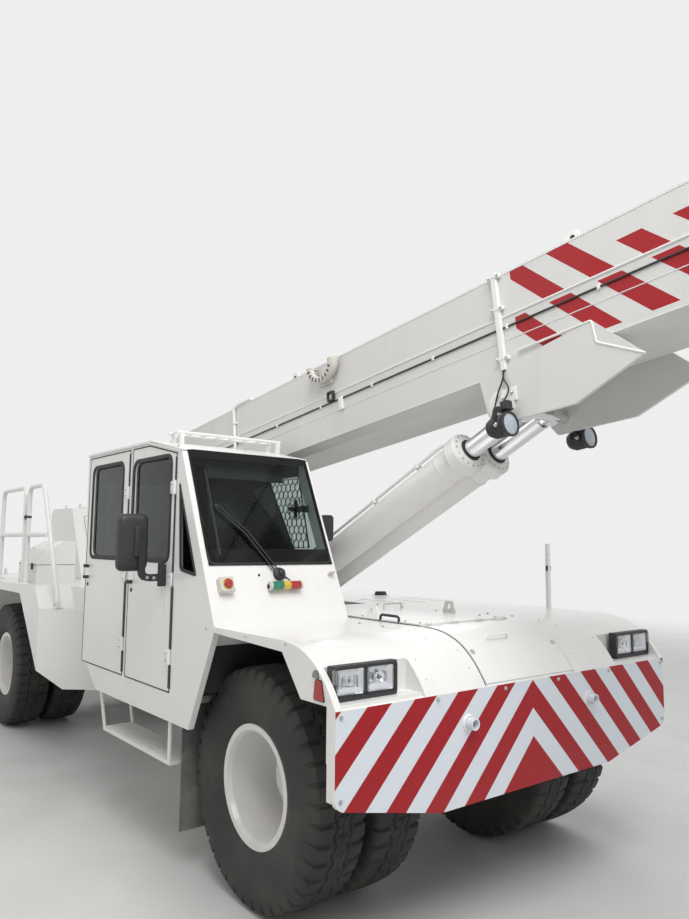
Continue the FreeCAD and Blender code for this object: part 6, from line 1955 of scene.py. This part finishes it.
class CRANE_OT_locker_details(CraneOperator):
    """Lid line, hinges, latches, bolts and handle of the deck locker"""

    bl_idname = "crane.locker_details"
    bl_label = "Locker details"

    def execute(self, context):
        paint, black, steel = [], [], []
        front, back = -1.6, -2.28
        line = [(back, -1.3305, 1.852), (front + 0.0005, -1.3305, 1.852), (front + 0.0005, -0.935, 1.852)]
        black.append(seam(line, 0.003))
        edge = [(-1.33, 1.86), (-1.215, 2.02), (-1.075, 2.105)]
        for x in (front - 0.01, back + 0.01):
            paint.append(seam([(x, y, z) for y, z in edge], 0.006))
        for x in (-1.76, -2.12):
            hinge(paint, steel, (x, -0.992, 2.1055), X, Z, 0.08)
            black.append(block((0.036, 0.014, 0.07), (x, -1.338, 1.835), 0.004))
            steel += bolt((x, -1.346, 1.815), -Y, 0.005, False)
        for x in (-1.66, -2.22):
            for z in (1.68, 1.78):
                steel += bolt((x, -1.331, z), -Y, 0.006)
        paint.append(handle_bar((-1.88, -1.24, 2.005), (-2.02, -1.24, 2.005), 0.035, 0.006, (0.0, -0.6, 0.8)))
        make("locker_fittings", "rear_frame", white_paint=paint, black_plastic=black, machined_steel=steel)
        return {"FINISHED"}


class CRANE_OT_rail_feet(CraneOperator):
    """Base flanges and bolts of the handrails, their front lugs and the rubber stops between the hoops"""

    bl_idname = "crane.rail_feet"
    bl_label = "Rail feet"

    def execute(self, context):
        paint, black, steel = [], [], []
        for sign in (-1, 1):
            for x, y, z in (
                    (-0.845, 1.335, 1.455), (-1.74, 1.4, 1.656), (-1.83, 1.4, 1.656), (-2.79, 1.4, 1.656)):
                spot = np.array([x, sign * y, z])
                paint.append(lathe(
                    [(0.0, 0.055), (0.006, 0.055), (0.008, 0.05), (0.008, 0.028), (0.018, 0.0265)], spot, Z,
                    32))
                for dx, dy in ((-0.028, -0.028), (0.028, 0.028)) if x < -1 else ():
                    steel += bolt(spot + (dx, dy, 0.008), Z, 0.006)
            foot = np.array([-0.845, sign * 1.335, 1.455])
            steel.append(plate(
                rounded(box_outline(-0.045, 0.06, -0.035, 0.035), 0.01), foot + Z * 0.003, X, Y, 0.004,
                0.001))
            paint.append(plate(
                rounded([(-0.03, 0.0), (0.05, 0.0), (0.02, 0.075), (-0.015, 0.075)], 0.01),
                foot + Y * sign * 0.03, X, Z, -0.008, 0.001))
            steel += bolt(foot + (0.022, sign * 0.034, 0.04), Y * sign, 0.008)
            for x in (-1.74, -1.83):
                inward = 1 if x < -1.8 else -1
                black.append(block((0.026, 0.04, 0.055), (x + inward * 0.02, sign * 1.4, 2.36), 0.005))
                black.append(lathe(
                    [(-0.012, 0.025), (-0.012, 0.0275), (0.012, 0.0275), (0.012, 0.025)],
                    (x, sign * 1.4, 2.36), Z, 24))
        make("rail_fittings", "rear_frame", white_paint=paint, black_plastic=black, machined_steel=steel)
        return {"FINISHED"}


class CRANE_OT_tail_details(CraneOperator):
    """Tail lamp bezels and sections, reflectors, lifting eyes and the towing jaw under the counterweight"""

    bl_idname = "crane.tail_details"
    bl_label = "Tail details"

    def execute(self, context):
        paint, black, amber, red, clear, steel, dark = [], [], [], [], [], [], []
        for sign in (-1, 1):
            rim = oblong(0.276, 0.108, 0.012)
            black.append(seal(
                rim, (-4.446, sign * 1.155, 1.39), -Y, Z,
                [(-0.004, -0.004), (0.006, -0.004), (0.006, 0.002), (-0.004, 0.003)]))
            for y, store in ((1.246, amber), (1.062, clear)):
                store.append(plate(
                    oblong(0.08, 0.096, 0.008), (-4.4442, sign * y, 1.39), -Y, Z, 0.003, 0.001))
            for y in (1.11, 1.198):
                black.append(block((0.004, 0.006, 0.1), (-4.446, sign * y, 1.39), 0.001))
            eye = rounded([(-0.06, 0.0), (0.06, 0.0), (0.026, 0.075), (-0.026, 0.075)], 0.016)
            paint.append(plate(eye, (-4.31, sign * 0.95 - 0.009, 1.6565), X, Z, -0.018, 0.003))
            steel.append(lathe(
                [(-0.012, 0.018), (0.012, 0.018), (0.012, 0.013), (-0.012, 0.013), (-0.012, 0.018)],
                (-4.31, sign * 0.95, 1.698), Y, 20))
            red.append(lathe(
                [(-0.002, 0.038), (0.0005, 0.038), (0.001, 0.034), (0.001, 0.0)],
                (-4.4495, sign * 1.155, 1.23), -X, 32))
            black.append(seam([(-4.4495, sign * 0.7, 0.765), (-4.4495, sign * 0.7, 1.65)], 0.0015))
        # Towing jaw: two cheeks, a throat plate and its pin with a ring, hung under the casting
        for z in (0.645, 0.725):
            jaw = rounded([(-0.09, -0.075), (0.16, -0.075), (0.16, 0.075), (-0.09, 0.075)], 0.03)
            dark.append(plate(jaw, (-4.34, 0.0, z), X, Y, 0.022, 0.003))
        dark.append(block((0.03, 0.15, 0.13), (-4.195, 0.0, 0.7), 0.004))
        dark.append(block((0.14, 0.16, 0.03), (-4.25, 0.0, 0.745), 0.004))
        steel.append(lathe(
            [(-0.045, 0.0), (-0.045, 0.018), (0.09, 0.018), (0.094, 0.03), (0.102, 0.03), (0.104, 0.0)],
            (-4.375, 0.0, 0.655), Z, 24))
        make(
            "tail_fittings", "rear_frame", white_paint=paint, black_plastic=black, amber_lens=amber,
            red_lens=red, clear_lens=clear, machined_steel=steel, black_steel=dark)
        return {"FINISHED"}


def cardan_shaft(start, end, radius=0.042):
    """A drive shaft: tube, sliding sleeve and a forked joint with its cross at both ends."""
    start, end = np.asarray(start, float), np.asarray(end, float)
    line, long = unit(end - start), np.linalg.norm(end - start)
    profile = [
        (0.1, 0.0), (0.1, radius * 0.8), (0.14, radius), (long * 0.55, radius), (long * 0.56, radius * 1.18),
        (long * 0.72, radius * 1.18), (long * 0.73, radius * 0.85), (long - 0.12, radius * 0.85),
        (long - 0.1, radius * 0.7), (long - 0.1, 0.0)]
    parts = [lathe(profile, start, line, 32)]
    for spot, way in ((start, line), (end, -line)):
        flange = spot + way * 0.004
        parts.append(lathe(
            [(0.0, 0.0), (0.0, 0.07), (0.016, 0.07), (0.016, 0.045), (0.03, 0.0)], flange, way, 32))
        parts += bolt_ring(flange + way * 0.016, way, Y * 0.058, Z * 0.058, 0.007, 6, 0.3)
        cross = spot + way * 0.06
        for axis in (Y, Z):
            parts.append(pin(cross, axis, 0.052, 0.016, 16))
        for side in (-1, 1):
            parts.append(block((0.06, 0.012, 0.04), cross - way * 0.022 + Y * side * 0.046, 0.004))
            parts.append(block((0.06, 0.04, 0.012), cross + way * 0.022 + Z * side * 0.046, 0.004))
    return parts


class CRANE_OT_drive_line(CraneOperator):
    """Drive shafts and centre bearing, leaf springs with their U-bolts, brake chambers and air tanks"""

    bl_idname = "crane.drive_line"
    bl_label = "Drive line"

    def execute(self, context):
        for frame_name, body, place, way in (
                ("front", "front_frame", FRONT_AXLE, -1), ("rear", "rear_frame", REAR_AXLE, 1)):
            dark, steel, black, paint = [], [], [], []
            dark += cardan_shaft(place + X * way * 0.337, (-way * 0.075, 0.0, 0.685))
            for sign in (-1, 1):
                side = sign * 0.36
                # Leaves bent to a parabola, each shorter than the one above it
                for leaf in range(4):
                    s = np.linspace(-1, 1, 15) * (0.62 - 0.11 * leaf)
                    path = np.stack(
                        [place[0] + s, s * 0 + side, 0.842 + 0.03 * (s / 0.62) ** 2 - 0.0125 * leaf], -1)
                    dark.append(sweep(path, centred(0.076, 0.01)))
                for end in (-0.62, 0.62):
                    dark.append(pin(place + X * end + Y * side + Z * (0.862 - place[2]), Y, 0.04, 0.022))
                for x in (-0.122, 0.122):
                    for y in (-0.045, 0.045):
                        steel.append(pipe(
                            [(place[0] + x, side + y, 0.878), (place[0] + x, side + y, 0.545)], 0.009, 0, 8))
                        steel += bolt((place[0] + x, side + y, 0.56), -Z, 0.014, False)
                dark.append(block((0.3, 0.13, 0.02), (place[0], side, 0.57), 0.004))
                # Brake chamber on its bracket, with its rod, clevis and hose
                spot = place + X * way * 0.215 + Y * sign * 0.205 + Z * 0.06
                black.append(lathe(
                    [(-0.06, 0.0), (-0.06, 0.04), (-0.045, 0.07), (-0.006, 0.074), (-0.006, 0.082),
                     (0.006, 0.082), (0.006, 0.074), (0.04, 0.066), (0.055, 0.03), (0.055, 0.0)],
                    spot, Y * sign, 32))
                steel.append(pipe([spot + Y * sign * 0.05, spot + Y * sign * 0.3], 0.009, 0, 10))
                dark.append(block((0.2, 0.016, 0.1), spot - X * way * 0.08 + Y * sign * 0.062, 0.005))
                black.append(pipe(
                    [spot - Y * sign * 0.05, spot - Y * sign * 0.085 + Z * 0.03,
                     spot - Y * sign * 0.085 + Z * 0.2, spot + Z * 0.3],
                    0.008, 0.04, 8))
            # Cover bolts of the differential housing
            steel += bolt_ring(place - X * way * 0.15, -X * way, Y * 0.075, Z * 0.135, 0.008, 12)
            # Air tank with its drain and straps between the rails
            tank = np.array([-way * 1.25, 0.0, 1.08])
            paint.append(lathe(
                [(-0.34, 0.0), (-0.335, 0.06), (-0.3, 0.115), (-0.27, 0.125), (0.27, 0.125), (0.3, 0.115),
                 (0.335, 0.06), (0.34, 0.0)],
                tank, X, 40))
            for x in (-0.2, 0.2):
                black.append(lathe(
                    [(-0.02, 0.126), (-0.02, 0.129), (0.02, 0.129), (0.02, 0.126)], tank + X * x, X, 40))
                black.append(block((0.04, 0.62, 0.012), tank + X * x + Z * 0.132, 0.003))
            steel += bolt(tank - Z * 0.125, -Z, 0.014)
            make(
                frame_name + "_drive_line", body, black_steel=dark, machined_steel=steel, black_plastic=black,
                frame_paint=paint)
        joint = lathe(
            [(-0.075, 0.0), (-0.075, 0.04), (-0.03, 0.052), (0.03, 0.052), (0.075, 0.04), (0.075, 0.0)],
            (0.0, 0.0, 0.685), X, 32)
        hanger = [
            block((0.05, 0.2, 0.02), (0.15, 0.0, 0.75), 0.004),
            block((0.05, 0.016, 0.09), (0.15, -0.075, 0.71), 0.003),
            block((0.05, 0.016, 0.09), (0.15, 0.075, 0.71), 0.003)]
        make("pivot_joint", "front_frame", black_steel=[joint] + hanger)
        return {"FINISHED"}


class CRANE_OT_left_side(CraneOperator):
    """Locker doors, filler cap, tread bars and post clips of the left side, and the left mirror's glass"""

    bl_idname = "crane.left_side"
    bl_label = "Left side"

    def execute(self, context):
        paint, black, steel, glass = [], [], [], []
        face = SIDE
        for back, front in ((0.72, 1.34), (1.42, 2.04)):
            door = rounded([(back, 1.02), (front, 1.02), (front, 1.54), (back, 1.54)], 0.035)
            black.append(seam(np.array([(x, face, z) for x, z in np.concatenate([door, door[:1]])]), 0.0025))
            black += latch(((back + front) / 2, face - 0.004, 1.475), X, Y)
            for x in (back + 0.09, front - 0.09):
                hinge(paint, steel, (x, face - 0.004, 1.025), X, Y, 0.08)
        black.append(lathe(
            [(0.0, 0.062), (0.02, 0.062), (0.024, 0.056), (0.04, 0.054), (0.044, 0.048), (0.044, 0.0)],
            (1.05, 1.18, 1.602), Z, 36))
        paint.append(lathe([(0.0, 0.085), (0.006, 0.085), (0.009, 0.062)], (1.05, 1.18, 1.602), Z, 36))
        # Raised tread bars on the left deck
        for x in np.arange(1.3, 1.84, 0.06):
            for y in np.arange(0.62, 1.34, 0.12):
                odd = round(y / 0.12) % 2
                spot = (x + 0.03 * odd, y, 1.6035)
                paint.append(block((0.04, 0.01, 0.004), spot, 0.0015, (1, 1 - 2 * odd, 0), Z, 1))
        glass.append(plate(oblong(0.088, 0.178, 0.024), (2.2005, -0.3875, 2.2225), Y, Z, -0.002, 0.0))
        for z in (1.475, 1.925):
            black.append(block((0.012, 0.06, 0.04), (2.84, 1.45, z), 0.004))
        make(
            "left_side_fittings", "front_frame", white_paint=paint, black_plastic=black, machined_steel=steel,
            bright_reflector=glass)
        return {"FINISHED"}


class CRANE_OT_tower_details(CraneOperator):
    """Pin caps, keeper plates and bolts of the tower and the lift cylinders' feet, and hoses on the tower"""

    bl_idname = "crane.tower_details"
    bl_label = "Tower details"

    def execute(self, context):
        paint, black, steel = [], [], []
        for sign in (-1, 1):
            out = Y * sign
            for x, z, reach, radius in ((-0.305, 2.65, 0.362, 0.06), (0.795, 1.42, 0.362, 0.04)):
                spot = np.array([x, sign * reach, z])
                steel.append(lathe(
                    [(-0.01, 0.0), (-0.01, radius * 0.82), (-0.002, radius * 0.82), (0.0005, radius * 0.7),
                     (0.0005, 0.0)],
                    spot, out, 36))
            keeper = plate(
                rounded(centred(0.15, 0.036), 0.008), (-0.305, sign * 0.35, 2.575), X, Z, -sign * 0.008,
                0.001)
            paint.append(keeper)
            for x in (-0.355, -0.255):
                steel += bolt((x, sign * 0.358, 2.575), out, 0.009)
            for z in (1.68, 1.99, 2.3):
                black.append(block((0.045, 0.016, 0.028), (0.04, sign * 0.352, z), 0.004))
            for shift in (-0.012, 0.012):
                black.append(pipe(
                    [(0.04 + shift, sign * 0.362, 1.62), (0.04 + shift, sign * 0.362, 2.34),
                     (-0.12 + shift, sign * 0.355, 2.5)],
                    0.009, 0.06, 10))
        make("tower_fittings", "front_frame", white_paint=paint, hose_rubber=black, machined_steel=steel)
        return {"FINISHED"}


# CAD nodes by finish; all others are in the body's white enamel
NODE_FINISHES = {
    "striped_plate": ["bumper_plate"],
    "cab_paint": ["cab_shell"],
    "roof_paint": ["cab_roof"],
    "door_paint": ["door_front", "door_rear"],
    "screen_tint": ["windscreen"],
    "film_glass": ["cab_glass"],
    "tinted_glass": ["door_front_glass", "door_rear_glass"],
    "black_plastic": ["lamp_housings", "steering_column", "mirror_right", "mirror_left", "work_lamps"],
    "bright_reflector": ["lamp_lenses"],
    "red_lens": ["tail_lamps"],
    "boom_paint": ["boom_base"],
    "chromed_rod": ["lift_rods", "steer_rod_left", "steer_rod_right"],
    "black_steel": ["front_axle", "rear_axle", "head_sheaves", "winch"],
    "frame_paint": ["front_chassis", "rear_chassis"],
    "cast_steel": ["engine_block"],
    "wire_rope": ["hook_block"],
    "flap_rubber": ["mud_flaps"],
    "seat_cloth": ["driver_seat"],
    "grey_box": ["boom_siren"],
    "wheel_paint": ["rim_front_left", "rim_front_right", "rim_rear_left", "rim_rear_right"],
}


class CRANE_OT_node_finishes(CraneOperator):
    """Give each CAD node its finish"""

    bl_idname = "crane.node_finishes"
    bl_label = "Node finishes"

    def execute(self, context):
        named = {name: finish_name for finish_name, names in NODE_FINISHES.items() for name in names}
        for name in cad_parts:
            node = bpy.data.objects[name]
            material = FINISHES[named.get(name, "white_paint")]()
            for slot in node.material_slots:
                slot.material = material
            if not node.material_slots:
                node.data.materials.append(material)
        return {"FINISHED"}


class CRANE_OT_studio(CraneOperator):
    """Pale floor, soft lamps, even sky and the camera"""

    bl_idname = "crane.studio"
    bl_label = "Studio"

    def execute(self, context):
        sizes = context.scene.crane
        verts, faces = grid([[(-60, -60, -0.004), (-60, 60, -0.004)], [(60, -60, -0.004), (60, 60, -0.004)]])
        mesh = bpy.data.meshes.new("floor")
        mesh.from_pydata(verts, [], faces)
        mesh.materials.append(FINISHES["floor_concrete"]())
        floor = bpy.data.objects.new("floor", mesh)
        bpy.context.scene.collection.objects.link(floor)
        if floor.data.polygons[0].normal.z < 0:
            mesh.flip_normals()
        world = bpy.data.worlds.new("even_sky")
        bpy.context.scene.world = world
        world.use_nodes = True
        tree = world.node_tree
        sky = tree.nodes["Background"]
        sky.inputs["Color"].default_value = (0.98, 0.99, 1.0, 1.0)
        sky.inputs["Strength"].default_value = sizes.sky_light
        seen = tree.nodes.new("ShaderNodeBackground")
        seen.inputs["Color"].default_value = (sizes.floor_shade,) * 3 + (1.0,)
        seen.inputs["Strength"].default_value = 1.0
        # Camera, mirror and glass rays see the backdrop, all others the sky
        ray = tree.nodes.new("ShaderNodeLightPath").outputs
        total = ray["Is Camera Ray"]
        for kind in ("Is Glossy Ray", "Is Transmission Ray"):
            most = tree.nodes.new("ShaderNodeMath")
            most.operation = "MAXIMUM"
            tree.links.new(total, most.inputs[0])
            tree.links.new(ray[kind], most.inputs[1])
            total = most.outputs[0]
        mix = tree.nodes.new("ShaderNodeMixShader")
        tree.links.new(total, mix.inputs[0])
        tree.links.new(sky.outputs[0], mix.inputs[1])
        tree.links.new(seen.outputs[0], mix.inputs[2])
        tree.links.new(mix.outputs[0], tree.nodes["World Output"].inputs["Surface"])
        for name, spot, aim, size, power in (
            ("key_lamp", (7.0, -2.5, 9.0), (1.0, 0.0, 1.5), 6.0, sizes.key_light),
            ("fill_lamp", (-3.0, -9.0, 7.0), (0.0, 0.0, 1.5), 7.0, sizes.key_light * 0.14),
            ("back_lamp", (-6.0, 7.0, 8.0), (0.0, 0.0, 1.5), 6.0, sizes.key_light * 0.3),
        ):
            lamp = bpy.data.lights.new(name, "AREA")
            lamp.size = size
            lamp.energy = power
            holder = bpy.data.objects.new(name, lamp)
            bpy.context.scene.collection.objects.link(holder)
            holder.location = spot
            away = Vector(spot) - Vector(aim)
            holder.rotation_euler = away.to_track_quat("Z", "Y").to_euler()
        camera = bpy.data.cameras.new("camera")
        # Solved on the photograph: lens in millimetres, then angles in radians and place in metres
        camera.lens = 29.13
        camera.sensor_width = 36.0
        camera.clip_end = 300.0
        holder = bpy.data.objects.new("camera", camera)
        bpy.context.scene.collection.objects.link(holder)
        yaw, pitch, roll = 2.472, 0.112, 0.01
        ahead = np.array([cos(yaw) * cos(pitch), sin(yaw) * cos(pitch), sin(pitch)])
        right = unit(np.cross(ahead, Z))
        up = np.cross(right, ahead)
        side = cos(roll) * right + sin(roll) * up
        top = -sin(roll) * right + cos(roll) * up
        turn = Matrix((side, top, -ahead)).transposed().to_4x4()
        holder.matrix_world = Matrix.Translation((6.649, -3.723, 2.114)) @ turn
        bpy.context.scene.camera = holder
        bpy.context.scene.view_settings.view_transform = "Standard"
        return {"FINISHED"}


OPERATORS = CraneOperator.__subclasses__()


class CRANE_PT_panel(bpy.types.Panel):
    """The crane's sizes and the buttons that build its pieces"""

    bl_label = "Pick-and-carry crane"
    bl_idname = "CRANE_PT_panel"
    bl_space_type = "VIEW_3D"
    bl_region_type = "UI"
    bl_category = "Crane"

    def draw(self, context):
        for name in CraneSizes.__annotations__:
            self.layout.prop(context.scene.crane, name)
        for cls in OPERATORS:
            self.layout.operator(cls.bl_idname)


CLASSES = [CraneSizes, *OPERATORS, CRANE_PT_panel]


def register():
    for cls in CLASSES:
        bpy.utils.register_class(cls)
    bpy.types.Scene.crane = PointerProperty(type=CraneSizes)


def unregister():
    del bpy.types.Scene.crane
    for cls in reversed(CLASSES):
        bpy.utils.unregister_class(cls)


def main():
    """Build every piece in order."""
    register()
    for cls in OPERATORS:
        area, name = cls.bl_idname.split(".")
        getattr(getattr(bpy.ops, area), name)()
    bpy.context.view_layer.update()


if __name__ == "__main__":
    main()
